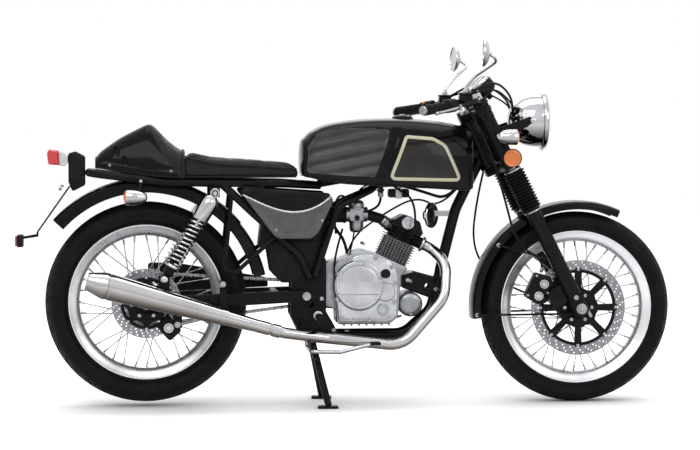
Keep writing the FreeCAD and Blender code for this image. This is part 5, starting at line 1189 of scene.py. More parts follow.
def brakes():
    """Twin-pot caliper on the fork, single-pot caliper under the arm, and the hose."""
    ahead, up = tilted(math.radians(25))
    centre = FRONT_AXLE + around(math.radians(155)) * 0.137
    centre.y = -0.0603
    pieces = caliper(centre, ahead, up, [(-40, -40), (10, -46), (34, -30), (34, 30), (10, 52), (-40, 44)],
                     ((-80.3, -66.4), (-54.2, -41)), rounded([(-40, -34), (-24, -38), (-24, 42), (-40, 36)], 5))
    pot = [(0, 1.2), (9, 1.2), (11, 3.8), (14, 3.8), (15.4, 2.2), (15.4, -2), (0, -2)]
    for lift in (-20, 22):
        spot = centre + up * (lift / 1000) + ahead * 0.002
        spot.y = -0.0801
        add(pieces, COVER_ALLOY, turned("piston_cover", pot, spot, -Y_AXIS, 28))
    heads = [centre + up * (dz / 1000) + ahead * (dx / 1000) for dx, dz in ((-32, -32), (-32, 36), (24, 1))]
    for head in heads:
        head.y = -0.0803
    pieces.append(bolt_heads("caliper_bolts", heads, -Y_AXIS, 9, 4.5))
    lug_side = rounded([(-77.3, -30), (-25.3, -30), (-25.3, 30), (-50, 30), (-77.3, 16)], 8)
    lug_at = on_fork(0, -91, 66) + Y_AXIS * 0.003
    add(pieces, SATIN_BLACK, plate("caliper_lug", lug_side, [], 22, lug_at, FORK_AHEAD, FORK_UP, 2))
    built(pieces, "steering", "front_brake")

    hose = [at(980, -170, 974), on_fork(-34, -139, 642), on_fork(-62, -133, 452), on_fork(-96, -109, 275),
            at(1262, -90, 458), at(1250.8, -74.7, 423)]
    pieces = [cable("hose_run", hose, 3.6)]
    fitting = [(0, 16), (5, 16), (6, 15), (6, 2), (5, 0)]
    add(pieces, PLATED, turned("hose_end", fitting, hose[-1] - Vector((0, 0, 0.002)), hose[-2] - hose[-1], 6))
    finished(joined("hose_built", pieces), "steering", ["brake_hose"])

    ahead, up = tilted(math.radians(48))
    centre = REAR_AXLE + around(math.radians(-48)) * 0.095
    centre.y = -0.078
    pieces = caliper(centre, ahead, up, [(-24, -26), (42, -26), (42, 26), (-24, 26)], ((-97, -84), (-72, -59)),
                     rounded([(20, -24), (42, -24), (42, 24), (20, 24)], 6))
    spot = centre + ahead * 0.008
    spot.y = -0.0968
    add(pieces, COVER_ALLOY, turned("rear_piston", [(0, 1), (9, 1), (11, 3.4), (15, 3.4), (16, 2), (16, -2), (0, -2)],
                                    spot, -Y_AXIS, 28))
    add(pieces, SATIN_BLACK, block("brake_hanger", (81, -97, 254), (111, -89, 313), 2))
    tie = [at(96, -93, centre.z * 1000 + 4), at(230, -93, 296)]
    add(pieces, PLATED, swept("torque_rod", tie, 5.6, 14))
    for end in tie:
        add(pieces, PLATED, turned("rod_eye", [(0, 6), (9, 6), (10, 5), (10, -5), (9, -6), (0, -6)], end, Y_AXIS, 20))
    built(pieces, "chassis", "rear_brake")


brakes()


def turn_lamp(name, centre, facing):
    """Bullet turn lamp with a chrome body and a bulged amber lens."""
    way = X_AXIS * facing
    body = [(0, -62), (5, -61.4), (10, -58.6), (15, -52), (19, -43), (22.4, -32), (24.4, -20), (25, -9), (25, 3),
            (24.2, 4.2), (22.6, 4.2), (22.6, 2)]
    shell = painted(turned(name + "_body", body, centre, way, 40, 50), CHROME)
    glass = [(0, 12), (9, 11.2), (16, 9.2), (21, 6), (23.4, 3.4), (23.4, 1), (0, 1)]
    return [shell, painted(turned(name + "_lens", glass, centre, way, 40, 50), AMBER)]


def lamps():
    pieces = []
    for side in (-1, 1):
        root = on_fork(10, side * 119.8, 604)
        pieces += turn_lamp("front_lamp", Vector((root.x + 0.040, side * 0.158, root.z)), 1)
        stem = [(0, 0), (7, 0), (7, 5), (5, 7), (5, 22), (6, 24), (6, 30), (0, 30)]
        add(pieces, SOFT_RUBBER, turned("lamp_stem", stem, root, Y_AXIS * side, 20))
        spot = on_fork(12, side * 120.8, 529)
        cup = [(0, 0), (29, 0), (30, 1), (30, 8.4), (28.6, 9), (27.4, 8.4), (27.4, 6.4)]
        add(pieces, MOULDED_BLACK, turned("side_cup", cup, spot, Y_AXIS * side, 40))
        face = [(0, 8.8), (14, 8.7), (24, 8.2), (27.4, 7.4), (27.4, 5)]
        add(pieces, AMBER, turned("side_reflector", face, spot, Y_AXIS * side, 40, 60))
    finished(joined("front_lamps", pieces), "steering", ["front_indicators"])
    pieces = []
    # The stems leave the seat rails a part of the way along the rails' last run
    share = 76 / 210
    rail_y, rail_z = 98 - 6 * share, 710 + 26 * share
    for side in (-1, 1):
        pieces += turn_lamp("rear_lamp", at(-58, side * 158, 665), -1)
        start = at(-16, side * (rail_y + 12), rail_z - 5)
        socket = at(-20, side * 150, 668)
        add(pieces, SOFT_RUBBER, swept("rear_stem", [start, socket], 5.6, 14))
        add(pieces, PLATED, swept("rear_stem_collar", [start, start.lerp(socket, 0.16)], 7, 14))
    finished(joined("rear_lamps", pieces), "chassis", ["rear_indicators"])


lamps()


# Frame

SHOCK_PIN = [(0, 0), (10, 0), (10, 21.7), (6, 22), (6, 58), (0, 58)]
DOME_NUT = [(6, 0), (11, 0), (11.6, 1), (11.6, 6.4), (10.4, 8), (7, 10), (0, 10.6)]
SHOCK_FOOT, SHOCK_TOP = (55, 409), (213, 677)


def frame_tubes():
    foot, top = on_fork(STEM_X, 0, 525.3), on_fork(STEM_X, 0, 688.7)
    length = (top - foot).length * 1000
    head = [(12.9, 0), (28, 0), (28, 5), (26, 8), (25.4, 12), (25.4, length - 12), (26, length - 8), (28, length - 5),
            (28, length), (12.9, length)]
    pieces = [painted(turned("steering_head", head, foot, FORK_UP, 40), SATIN_BLACK)]
    start = on_fork(STEM_X, 0, 580)
    end = at(544, 0, 709)
    add(pieces, SATIN_BLACK, swept("backbone", [start, end], 20, 28))
    down = eased([on_fork(STEM_X, 0, 574), at(986, 0, 618), at(938, 0, 430), at(926, 0, 350)], 160, 10)
    add(pieces, SATIN_BLACK, swept("down_tube", down, 17, 26))
    sx, sz = side_place(start)
    dx, dz = side_place(on_fork(STEM_X, 0, 574))
    web = rounded([(sx - 20, sz - 10), (sx - 110, sz - 32), (dx - 52, dz - 82)], 8)
    pieces.append(slab("head_gusset", web, [], 0, 6, 0.8, SATIN_BLACK, sx, sz))
    built(pieces, "chassis", "main_frame")

    pieces = []
    for side in (-1, 1):
        rail = eased([at(934, side * 29.8, 410), at(908, side * 33.8, 300), at(824, side * 56.3, 222),
                      at(560, side * 56.3, 222)], 70, 8)
        add(pieces, SATIN_BLACK, swept("lower_rail", rail, 12.5, 22))
        shape = rounded([(452, 290), (480, 232), (606, 214), (594, 252), (566, 300), (566, 470), (520, 478),
                         (456, 400)], 12)
        holes = [ring_points(9, 20, 520, 320), ring_points(7, 18, 536, 430), ring_points(6, 16, 486, 262)]
        pieces.append(slab("pivot_plate", shape, holes, side * 56.3, 8, 1.2, SATIN_BLACK, 500, 300))
        shape = rounded([(808, 372), (930, 326), (938, 398), (850, 422), (808, 410)], 10)
        holes = [ring_points(9, 18, 892, 376), ring_points(6, 14, 840, 392)]
        pieces.append(slab("engine_bracket", shape, holes, side * 35.8, 6, 1, SATIN_BLACK, 870, 380))
        nuts = [at(828, side * 39, 396), at(918, side * 39, 366)]
        pieces.append(bolt_heads("bracket_bolts", nuts, Y_AXIS * side, 15, 7, False))
        plate_nuts = [at(540, side * 60.3, 455), at(552, side * 60.3, 340), at(590, side * 60.3, 240)]
        pieces.append(bolt_heads("plate_bolts", plate_nuts, Y_AXIS * side, 15, 6, False))
        nut = [(9, -1), (15, -0.6), (15.6, 0.3), (15.6, 2), (13.4, 2.4), (13.4, 10.4), (12.4, 11.4), (8, 11.6),
               (8, 12.4), (0, 12.6)]
        add(pieces, PLATED, turned("pivot_nut", nut, at(500, side * 111, 352), Y_AXIS * side, 24, 30))
    add(pieces, PLATED, swept("pivot_bolt", [at(500, -111, 352), at(500, 111, 352)], 8.6, 16))
    add(pieces, PLATED, swept("stand_pin", [at(515, -60, 254), at(515, 60, 254)], 8, 16))
    add(pieces, SATIN_BLACK, swept("cross_tube", [at(640, -56, 222), at(640, 56, 222)], 10, 18))
    built(pieces, "chassis", "frame_cradle")

    pieces = []
    # How far from the middle the struts stand against the pivot plates
    plate_face = 73.1
    top_x, top_z = SHOCK_TOP
    for side in (-1, 1):
        def here(x, y, z):
            return at(x, -side * y, z)

        run = [here(548, -18, 697), here(430, -98, 705), here(60, -98, 710), here(-150, -92, 736),
               here(-177, -68, 740), here(-177, 0, 740)]
        add(pieces, SATIN_BLACK, swept("seat_rail", eased(run, 60, 8), 12.5, 22))
        strut = [here(512, -plate_face, 408), here(486, -plate_face - 6, 472), here(231, -98, 710)]
        add(pieces, SATIN_BLACK, swept("strut", eased(strut, 120, 6), 12.5, 22))
        brace = [here(735, -12, 726), here(725, -17, 688), here(600, -78, 632), here(548, -plate_face - 2, 470),
                 here(530, -plate_face, 412)]
        add(pieces, SATIN_BLACK, swept("brace", eased(brace, 60, 8), 11.5, 22))
        low_y, high_y = sorted((-side * 94, -side * 102))
        add(pieces, SATIN_BLACK, block("shock_tab", (196, low_y, 663), (230, high_y, 719), 2))
        add(pieces, PLATED, turned("shock_pin", SHOCK_PIN, here(top_x, -98, top_z), Y_AXIS * -side, 20))
        add(pieces, CHROME, turned("dome_nut", DOME_NUT, here(top_x, -148.3, top_z), Y_AXIS * -side, 24))
        high, back = [here(486 - 255 * share, -plate_face - 6 + (plate_face + 6 - 98) * share, 472 + 238 * share)
                      for share in (0.3, 0.86)]
        hanger = eased([high, here(*REST_PEG), back], 26, 8)
        add(pieces, SATIN_BLACK, swept("hanger", hanger, 7, 16))
        add(pieces, PLATED, turned("peg_core", [(0, -8), (9, -8), (9, 12), (0, 12)], here(*REST_PEG), Y_AXIS * -side,
                                   20))
        ribs = [(6, 10), (8.4, 10)]
        for i in range(9):
            low = 12 + i * 6.4
            ribs += [(9, low), (9, low + 3.6), (7.6, low + 4.4), (7.6, low + 5.6)]
        ribs += [(9, 70), (8.2, 72), (0, 72)]
        add(pieces, SOFT_RUBBER, turned("peg_rubber", ribs, here(*REST_PEG), Y_AXIS * -side, 22, 30))
    built(pieces, "chassis", "rear_subframe")


frame_tubes()


def on_arm(along, up):
    """A place along the swinging arm from the rear axle and above its line, in millimetres."""
    return ARM_START + ARM_ALONG * along + ARM_UP * up


def suspension():
    """Box-section swinging arm and two spring and damper units."""
    foot_x, foot_z = SHOCK_FOOT
    pieces = []
    for side in (-1, 1):
        rings = []
        for reach, high, low in ((-38, 13, 13), (-34, 15.4, 15.4), (0, 17.5, 17.5), (40, 20, 20), (60, 21, 21),
                                 (300, 20, 20), (440, 18.4, 18.4), (500, 17, 17), (522, 14.5, 14.5), (526, 12, 12)):
            rings.append([at(*(on_arm(reach, z) + Y_AXIS * (side * 98 + x)))
                          for x, z in rounded([(-13, -low), (13, -low), (13, high), (-13, high)], 5, 4)])
        add(pieces, SATIN_BLACK, skinned("arm", rings, True, 40))
        add(pieces, SATIN_BLACK, block("shock_lug", (37, side * 98 - 5, 331), (73, side * 98 + 5, 420), 3))
        add(pieces, PLATED, turned("lower_pin", SHOCK_PIN, at(foot_x, side * 98, foot_z), Y_AXIS * side, 20))
        add(pieces, CHROME, turned("lower_nut", DOME_NUT, at(foot_x, side * 148.3, foot_z), Y_AXIS * side, 24))
        add(pieces, PLATED, block("chain_adjuster", (-52, side * 98 - 9, 323), (-36, side * 98 + 9, 339), 2))
        add(pieces, SATIN_BLACK, turned("arm_cap", [(9, 0.2), (18, 0.2), (18.6, 1.4), (17, 2.6), (9, 2.6)],
                                        at(500, side * 111, 352), Y_AXIS * side, 28))
    cross = [at(*(on_arm(405, 0) + Y_AXIS * y)) for y in (-90, 90)]
    add(pieces, SATIN_BLACK, swept("arm_cross", cross, 18, 26))
    built(pieces, "chassis", "swinging_arm")

    rise = Vector((SHOCK_TOP[0] - SHOCK_FOOT[0], 0, SHOCK_TOP[1] - SHOCK_FOOT[1]))
    length = rise.length
    way = rise.normalized()
    pieces = []
    for side in (-1, 1):
        foot = at(foot_x, side * 134, foot_z)
        core = [(0, 8), (12, 8), (12, 16), (16, 20), (16, 60), (15, 64), (13.4, 66), (13.4, 190), (0, 190)]
        add(pieces, SATIN_BLACK, turned("damper", core, foot, way, 32))
        rod = [(0, 150), (6, 150), (6, length - 30), (0, length - 30)]
        add(pieces, CHROME, turned("damper_rod", rod, foot, way, 18))
        seat = [(12, 44), (24, 44), (25, 46), (25, 50), (23, 53), (16, 54), (12, 60)]
        add(pieces, CHROME, turned("spring_seat", seat, foot, way, 40))
        cover = [(0, length - 8), (12, length - 10), (18, length - 14), (24, length - 22), (26.6, length - 34),
                 (27, length - 44), (27, length - 92), (26, length - 95), (23, length - 95), (23, length - 90)]
        add(pieces, CHROME, turned("shock_cover", cover, foot, way, 44))
        turns, low, high = 11, 58, length - 92
        line = []
        ahead, across = basis(way)
        steps = turns * 22
        for i in range(steps + 1):
            share = i / steps
            turn = math.tau * turns * share
            climb = low + (high - low) * share
            out = ahead * math.cos(turn) + across * math.sin(turn)
            line.append(foot + way * (climb / 1000) + out * 0.0208)
        add(pieces, CHROME, swept("spring", line, 3.9, 10))
        for reach in (0, length):
            eye = [(6.4, -14), (14, -14), (15, -13), (15, 13), (14, 14), (6.4, 14)]
            middle = foot + way * (reach / 1000)
            add(pieces, CHROME if reach else SATIN_BLACK, turned("shock_eye", eye, middle, Y_AXIS, 32))
            bush = [(6.4, -14.4), (10, -14.4), (10, 14.4), (6.4, 14.4)]
            add(pieces, SOFT_RUBBER, turned("shock_bush", bush, middle, Y_AXIS, 24))
    built(pieces, "chassis", "shock_absorbers")


suspension()


# Bodywork

def curve_value(rows, x):
    """A smooth value between rows of (x, value)."""
    if x <= rows[0][0]:
        return rows[0][1]
    for i in range(len(rows) - 1):
        x0, y0 = rows[i]
        x1, y1 = rows[i + 1]
        if x <= x1:
            before = rows[i - 1] if i else (2 * x0 - x1, y0)
            after = rows[i + 2] if i + 2 < len(rows) else (2 * x1 - x0, y1)
            t = (x - x0) / (x1 - x0)
            m0 = (y1 - before[1]) / (x1 - before[0]) * (x1 - x0)
            m1 = (after[1] - y0) / (after[0] - x0) * (x1 - x0)
            return ((2 * t**3 - 3 * t**2 + 1) * y0 + (t**3 - 2 * t**2 + t) * m0 + (3 * t**2 - 2 * t**3) * y1
                    + (t**3 - t**2) * m1)
    return rows[-1][1]


TANK_REAR, TANK_FRONT = 495, 1029
TANK_TOP = [(495, 845), (520, 868), (564, 889), (640, 903), (719, 909), (815, 909), (901, 903), (960, 895),
            (1010, 884), (1029, 876)]
TANK_LOW = [(495, 728), (564, 713), (640, 704), (719, 700), (901, 690), (1000, 684), (1029, 686)]
TANK_HALF = [(495, 84), (520, 100), (564, 110), (640, 121), (719, 126), (815, 126.5), (901, 123), (960, 113),
             (1010, 97), (1029, 88)]


def tank_point(x, turn):
    """A place on the tank's skin. The turn runs from the lower edge of one side over the top to the other's."""
    high, low, half = curve_value(TANK_TOP, x), curve_value(TANK_LOW, x), curve_value(TANK_HALF, x)
    middle = low + (high - low) * 0.38
    c, s = math.cos(turn), math.sin(turn)
    if s >= 0:
        y = half * math.copysign(abs(c) ** (2 / 2.9), c)
        z = middle + (high - middle) * abs(s) ** (2 / 2.35)
    else:
        share = abs(s)
        y = half * math.copysign(1 - 0.07 * share**2, c)
        z = middle - (middle - low) * share
    return y, z


def tank_side(x, z):
    """How far out the tank's skin is at a height on its right side."""
    low, high = -math.pi / 2, math.pi / 2
    for _ in range(40):
        turn = (low + high) / 2
        if tank_point(x, turn)[1] < z:
            low = turn
        else:
            high = turn
    return tank_point(x, (low + high) / 2)[0]


def inside_outline(x, z, outline):
    inside = False
    for (x0, z0), (x1, z1) in zip(outline, outline[1:] + outline[:1]):
        if (z0 > z) != (z1 > z) and x < (x1 - x0) * (z - z0) / (z1 - z0) + x0:
            inside = not inside
    return inside


def outline_distance(x, z, outline):
    spot = Vector((x, z))
    best = 1e9
    for start, end in zip(outline, outline[1:] + outline[:1]):
        a, b = Vector(start), Vector(end)
        along = b - a
        t = max(0, min(1, (spot - a).dot(along) / along.length_squared))
        best = min(best, (spot - (a + along * t)).length)
    return best


KNEE = rounded([(503, 738), (507, 822), (540, 864, 30), (620, 881, 50), (768, 876), (716, 724)], 16, 7)
BAND = [(772, 880), (802, 878), (752, 724), (722, 726)]
PANEL = rounded([(815, 852, 10), (900, 845, 44), (938, 824, 40), (988, 715, 12), (764, 720, 14)], 12, 8)


def tank():
    """Long flat-topped tank with knee recesses, a filler cap, a seam flange and a lined blank panel on each side."""
    steps_x, steps_t = 190, 144
    points = []
    count = steps_t + 1
    half = steps_t // 2
    for i in range(steps_x + 1):
        x = TANK_REAR + (TANK_FRONT - TANK_REAR) * i / steps_x
        for j in range(count):
            y, z = tank_point(x, -math.pi / 2 + math.pi * min(j, steps_t - j) / half)
            if j > half:
                y = -y
            sunk = 0
            if inside_outline(x, z, KNEE):
                edge = outline_distance(x, z, KNEE)
                sunk = 4.2 * min(1, edge / 5)
                sunk -= 3.8 * rib_at(x, z) ** 1.6 * min(1, edge / 18)
            elif inside_outline(x, z, BAND):
                sunk = -1.8 * min(1, outline_distance(x, z, BAND) / 4)
            points.append(at(x, y - math.copysign(sunk, y), z))
    faces = [(a, d, c, b) for a, b, c, d in quads(steps_x + 1, count)]
    shell = mesh_object("tank_skin", points, faces, 50)
    for material in (GLOSS_BLACK, KNEE_PAD, PANEL_FIELD):
        shell.data.materials.append(material)
    for face in shell.data.polygons:
        x, z = side_place(face.center)
        if abs(face.center.y) > 0.03:
            face.material_index = 1 if inside_outline(x, z, KNEE) else 2 if inside_outline(x, z, PANEL) else 0
    pieces = [shell]
    for x, side in ((TANK_REAR, -1), (TANK_FRONT, 1)):
        middle = (curve_value(TANK_TOP, x) + curve_value(TANK_LOW, x)) / 2
        rings = []
        for k in range(9):
            bulge = 9.8 * (1 - (1 - k / 8) ** 2)
            scale = 1 - (k / 8) ** 1.6
            ring = []
            for j in range(60):
                y, z = tank_point(x, -math.pi / 2 + math.pi * min(j, 60 - j) / 30)
                ring.append(at(x + side * bulge, (y if j <= 30 else -y) * scale, middle + (z - middle) * scale))
            rings.append(ring)
        add(pieces, GLOSS_BLACK, skinned("tank_end", rings, True, 50))
    for side in (-1, 1):
        line = [at(x, side * (curve_value(TANK_HALF, x) * 0.93 + 1.5), curve_value(TANK_LOW, x) + 1)
                for x in range(TANK_REAR + 2, TANK_FRONT, 14)]
        add(pieces, GLOSS_BLACK, swept("tank_flange", line, 3.2, 10))
        dense = divided(PANEL, 5)
        total = len(dense)
        middle = Vector((sum(p[0] for p in dense) / total, sum(p[1] for p in dense) / total))
        strip = []
        for k, (sx, sz) in enumerate(dense):
            way = (Vector(dense[(k + 1) % total]) - Vector(dense[k - 1])).normalized()
            normal = Vector((-way.y, way.x))
            if normal.dot(Vector((sx, sz)) - middle) < 0:
                normal = -normal
            for reach, lift in ((-5.2, 0.1), (-4.9, 0.7), (4.9, 0.7), (5.2, 0.1)):
                px, pz = sx + normal.x * reach, sz + normal.y * reach
                strip.append(at(px, side * (tank_side(px, pz) + lift), pz))
        line = mesh_object("panel_line", strip, quads(total, 4, skin_closed=True), 60)
        add(pieces, CREAM_LINE, line)
    cap_at = at(815.4, 0, 900)
    cap = [(0, 19.4), (14, 19.4), (24, 18.4), (30, 16), (33, 13), (34.4, 9), (37, 8), (37, 0), (36, -4)]
    add(pieces, SATIN_BLACK, turned("filler_cap", cap, cap_at, Z_AXIS, 56, 40))
    flap = rounded([(-9, -15), (9, -15), (9, 15), (-9, 15)], 7)
    add(pieces, PLATED, plate("cap_lock", flap, [], 4, cap_at + Z_AXIS * 0.0205, X_AXIS, Y_AXIS, 1.4))
    built(pieces, "chassis", "fuel_tank")


tank()


SEAT_TOP = [(116, 807), (160, 797), (200, 789), (260, 783), (300, 781), (400, 773), (470, 768), (479, 766)]
SEAT_HALF = [(116, 106), (160, 110), (200, 111), (300, 110), (380, 101), (440, 88), (479, 78)]
PAD_REAR, PAD_FRONT, PAD_FOOT = 118, 476, 724
CHANNELS = (205, 262, 319, 376, 433)
# In metres: how far the channels reach to each side, their depth, where they fade out, and the most that the
# cover may swell
CHANNEL_HALF, CHANNEL_DEPTH, CHANNEL_FADE, SWELL_LIMIT = 0.078, 0.0032, 0.012, 0.006
CLOTH_FRAMES = 20


def seat():
    """Slim seat pad, swelled by cloth simulation, with a sewn seam along its edge and cross channels."""
    rings = []
    steps = 46
    for i in range(steps + 1):
        x = PAD_REAR + (PAD_FRONT - PAD_REAR) * i / steps
        high, half = curve_value(SEAT_TOP, x) - 5, curve_value(SEAT_HALF, x) - 5
        end = min(1, min(i, steps - i) / 2.2 + 0.35) ** 0.5
        crest = PAD_FOOT + (high - PAD_FOOT) * end
        section = rounded([(-half, PAD_FOOT), (half, PAD_FOOT), (half - 3, crest), (3 - half, crest)], 15, 6)
        rings.append([at(x, y, z) for y, z in section])
    pad = skinned("seat_pad", rings, True, 60)
    work = bmesh.new()
    work.from_mesh(pad.data)
    bmesh.ops.triangulate(work, faces=work.faces)
    work.to_mesh(pad.data)
    work.free()
    remesh = pad.modifiers.new("remesh", "REMESH")
    remesh.mode = "VOXEL"
    remesh.voxel_size = 0.0055
    bpy.context.view_layer.update()
    graph = bpy.context.evaluated_depsgraph_get()
    data = bpy.data.meshes.new_from_object(pad.evaluated_get(graph))
    pad.modifiers.clear()
    bpy.data.objects.remove(pad)
    cushion = linked("seat_cushion", data)
    rest = [vertex.co.copy() for vertex in data.vertices]
    cloth = cushion.modifiers.new("cloth", "CLOTH")
    cloth.settings.quality = 5
    cloth.settings.mass = 0.4
    cloth.settings.tension_stiffness = 12
    cloth.settings.compression_stiffness = 12
    cloth.settings.bending_stiffness = 2
    cloth.settings.use_pressure = True
    cloth.settings.uniform_pressure_force = 4
    cloth.settings.effector_weights.gravity = 0
    held = cushion.vertex_groups.new(name="held")
    held.add([v.index for v in data.vertices if v.co.z < at(0, 0, 731).z], 1.0, "REPLACE")
    cloth.settings.vertex_group_mass = "held"
    for number in range(CLOTH_FRAMES):
        bpy.context.scene.frame_set(number + 1)
    graph = bpy.context.evaluated_depsgraph_get()
    swelled = [vertex.co.copy() for vertex in cushion.evaluated_get(graph).data.vertices]
    cushion.modifiers.clear()
    cushion.vertex_groups.clear()
    bpy.context.scene.frame_set(1)
    box_low, box_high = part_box("seat")
    for vertex, before, after in zip(data.vertices, rest, swelled):
        move = after - before
        if move.length > SWELL_LIMIT:
            move = move.normalized() * SWELL_LIMIT
        spot = before + move
        x, z = side_place(spot)
        for line in CHANNELS:
            gap = abs(x - line)
            if gap < 7 and z > 755 and abs(spot.y) < CHANNEL_HALF:
                fade = min(1, (CHANNEL_HALF - abs(spot.y)) / CHANNEL_FADE)
                spot.z -= CHANNEL_DEPTH * (1 - gap / 7) ** 2 * fade
        spot.x = min(max(spot.x, box_low.x), box_high.x)
        spot.z = max(spot.z, box_low.z)
        vertex.co = spot
    smooth = cushion.modifiers.new("smooth", "SMOOTH")
    smooth.factor = 0.5
    smooth.iterations = 3
    rounder = cushion.modifiers.new("rounder", "SUBSURF")
    rounder.levels = 1
    graph = bpy.context.evaluated_depsgraph_get()
    final = bpy.data.meshes.new_from_object(cushion.evaluated_get(graph))
    cushion.modifiers.clear()
    bpy.data.objects.remove(cushion)
    final.polygons.foreach_set("use_smooth", [True] * len(final.polygons))
    cushion = painted(linked("seat_cushion", final), SEAT_LEATHER)
    finished(cushion, "chassis", ["seat"])

    pieces = []
    for side in (-1, 1):
        welt = []
        for k in range(60):
            x = 122 + 350 * k / 59
            welt.append(at(x, side * (curve_value(SEAT_HALF, x) - 4.5), curve_value(SEAT_TOP, x) - 17))
        add(pieces, SEAT_LEATHER, swept("seat_welt", welt, 2.1, 8))
        base = [at(x, side * (curve_value(SEAT_HALF, x) - 3), 727) for x in range(120, 478, 10)]
        add(pieces, MOULDED_BLACK, swept("seat_edge", base, 3.4, 10))
    finished(joined("seat_trim", pieces), "chassis")


seat()


COWL_TOP = [(-158, 788), (-140, 806), (-110, 828), (-80, 848), (-50, 864), (-20, 879), (4, 890), (14, 891),
            (26, 884), (44, 866), (62, 847), (84, 828), (104, 814), (116, 808)]
COWL_LOW = [(-158, 754), (-60, 739), (14, 729), (60, 725), (116, 723)]
COWL_HALF = [(-158, 60), (-140, 66), (-60, 88), (14, 101), (60, 107), (116, 108.5)]
COWL_REAR, COWL_FRONT = -158, 116
# Each vent's middle, and half its width and height before it leans
VENTS = (-91, 806, 7.5, 15), (-66, 779, 7.0, 12)
VENT_LEAN, VENT_DEPTH = 0.35, 9


def cowl_point(x, angle):
    high, low, half = curve_value(COWL_TOP, x), curve_value(COWL_LOW, x), curve_value(COWL_HALF, x)
    c, s = math.cos(angle), math.sin(angle)
    narrow = 1 - 0.16 * max(0, (high - low - 90)) / 80
    y = half * math.copysign(abs(c) ** (2 / 2.6), c)
    z = low + (high - low) * max(0, s) ** (2 / 2.2)
    lift = (z - low) / max(high - low, 1)
    return y * (1 - (1 - narrow) * lift), z


def vent_distance(x, z):
    """How far a place is from the nearer vent's middle, where one is the vent's edge."""
    nearest = 1e9
    for vent_x, vent_z, wide, high in VENTS:
        dx, dz = x - vent_x, z - vent_z
        u = (dx * math.cos(VENT_LEAN) + dz * math.sin(VENT_LEAN)) / wide
        v = (-dx * math.sin(VENT_LEAN) + dz * math.cos(VENT_LEAN)) / high
        nearest = min(nearest, math.hypot(u, v))
    return nearest


def cowl():
    """Pointed seat hump whose faces run down to a lipped edge, with two oval vents on each side."""
    steps_x, steps_t = 140, 96
    points = []
    for i in range(steps_x + 1):
        x = COWL_REAR + (COWL_FRONT - COWL_REAR) * i / steps_x
        for j in range(steps_t + 1):
            y, z = cowl_point(x, math.pi * j / steps_t)
            sunk = VENT_DEPTH * max(0, min(1, (1 - vent_distance(x, z)) * 3))
            crease = math.exp(-((z - (curve_value(COWL_LOW, x) + 26)) / 6) ** 2) * 1.6
            y -= math.copysign(sunk + crease, y) if abs(y) > 20 else 0
            points.append(at(x, y, z))
    shell = mesh_object("cowl_skin", points, quads(steps_x + 1, steps_t + 1), 45)
    for material in (GLOSS_BLACK, MOULDED_BLACK, SEAT_LEATHER):
        shell.data.materials.append(material)
    for face in shell.data.polygons:
        x, z = side_place(face.center)
        if x > 16 + 44 * (max(886 - z, 0) / 100) ** 1.5:
            face.material_index = 2
        if vent_distance(x, z) < 0.9 and abs(face.center.y) > 0.03:
            face.material_index = 1
    pieces = [shell]
    outline = [cowl_point(COWL_REAR, math.pi * i / 40) for i in range(41)]
    rear_rings = [[at(COWL_REAR, y, z) for y, z in outline],
                  [at(COWL_REAR + 4, y * 0.9, 756 + (z - 756) * 0.84) for y, z in outline]]
    add(pieces, GLOSS_BLACK, skinned("cowl_rear", rear_rings, True, 40))
    floor_rows = [[at(x, -curve_value(COWL_HALF, x) + 1, curve_value(COWL_LOW, x) + 0.5),
                   at(x, curve_value(COWL_HALF, x) - 1, curve_value(COWL_LOW, x) + 0.5)]
                  for x in range(COWL_REAR, COWL_FRONT + 1, 10)]
    add(pieces, MOULDED_BLACK, skinned("cowl_floor", floor_rows, False, 40, closed=False))
    roll = [at(COWL_FRONT + 1, *cowl_point(COWL_FRONT, math.pi * k / 60)) for k in range(61)]
    add(pieces, SEAT_LEATHER, swept("seat_roll", roll, 5, 12))
    for side in (-1, 1):
        lip = [at(x, side * (curve_value(COWL_HALF, x) + 0.4), curve_value(COWL_LOW, x) + 2)
               for x in range(COWL_REAR + 2, COWL_FRONT, 8)]
        add(pieces, GLOSS_BLACK, swept("cowl_lip", lip, 2.6, 10))
        spots = [at(x, side * (cowl_point(x, 0.16)[0] - 1.4), cowl_point(x, 0.16)[1]) for x in (-112, 78)]
        pieces.append(bolt_heads("cowl_screws", spots, Y_AXIS * side, 9, 2.4))
    built(pieces, "chassis", "seat_cowl")


cowl()


COVER = [(288, 684, 10), (399, 541, 18), (415, 532, 16), (516, 532, 30), (538, 552, 24), (586, 652, 26),
         (570, 676, 14), (310, 694, 14)]


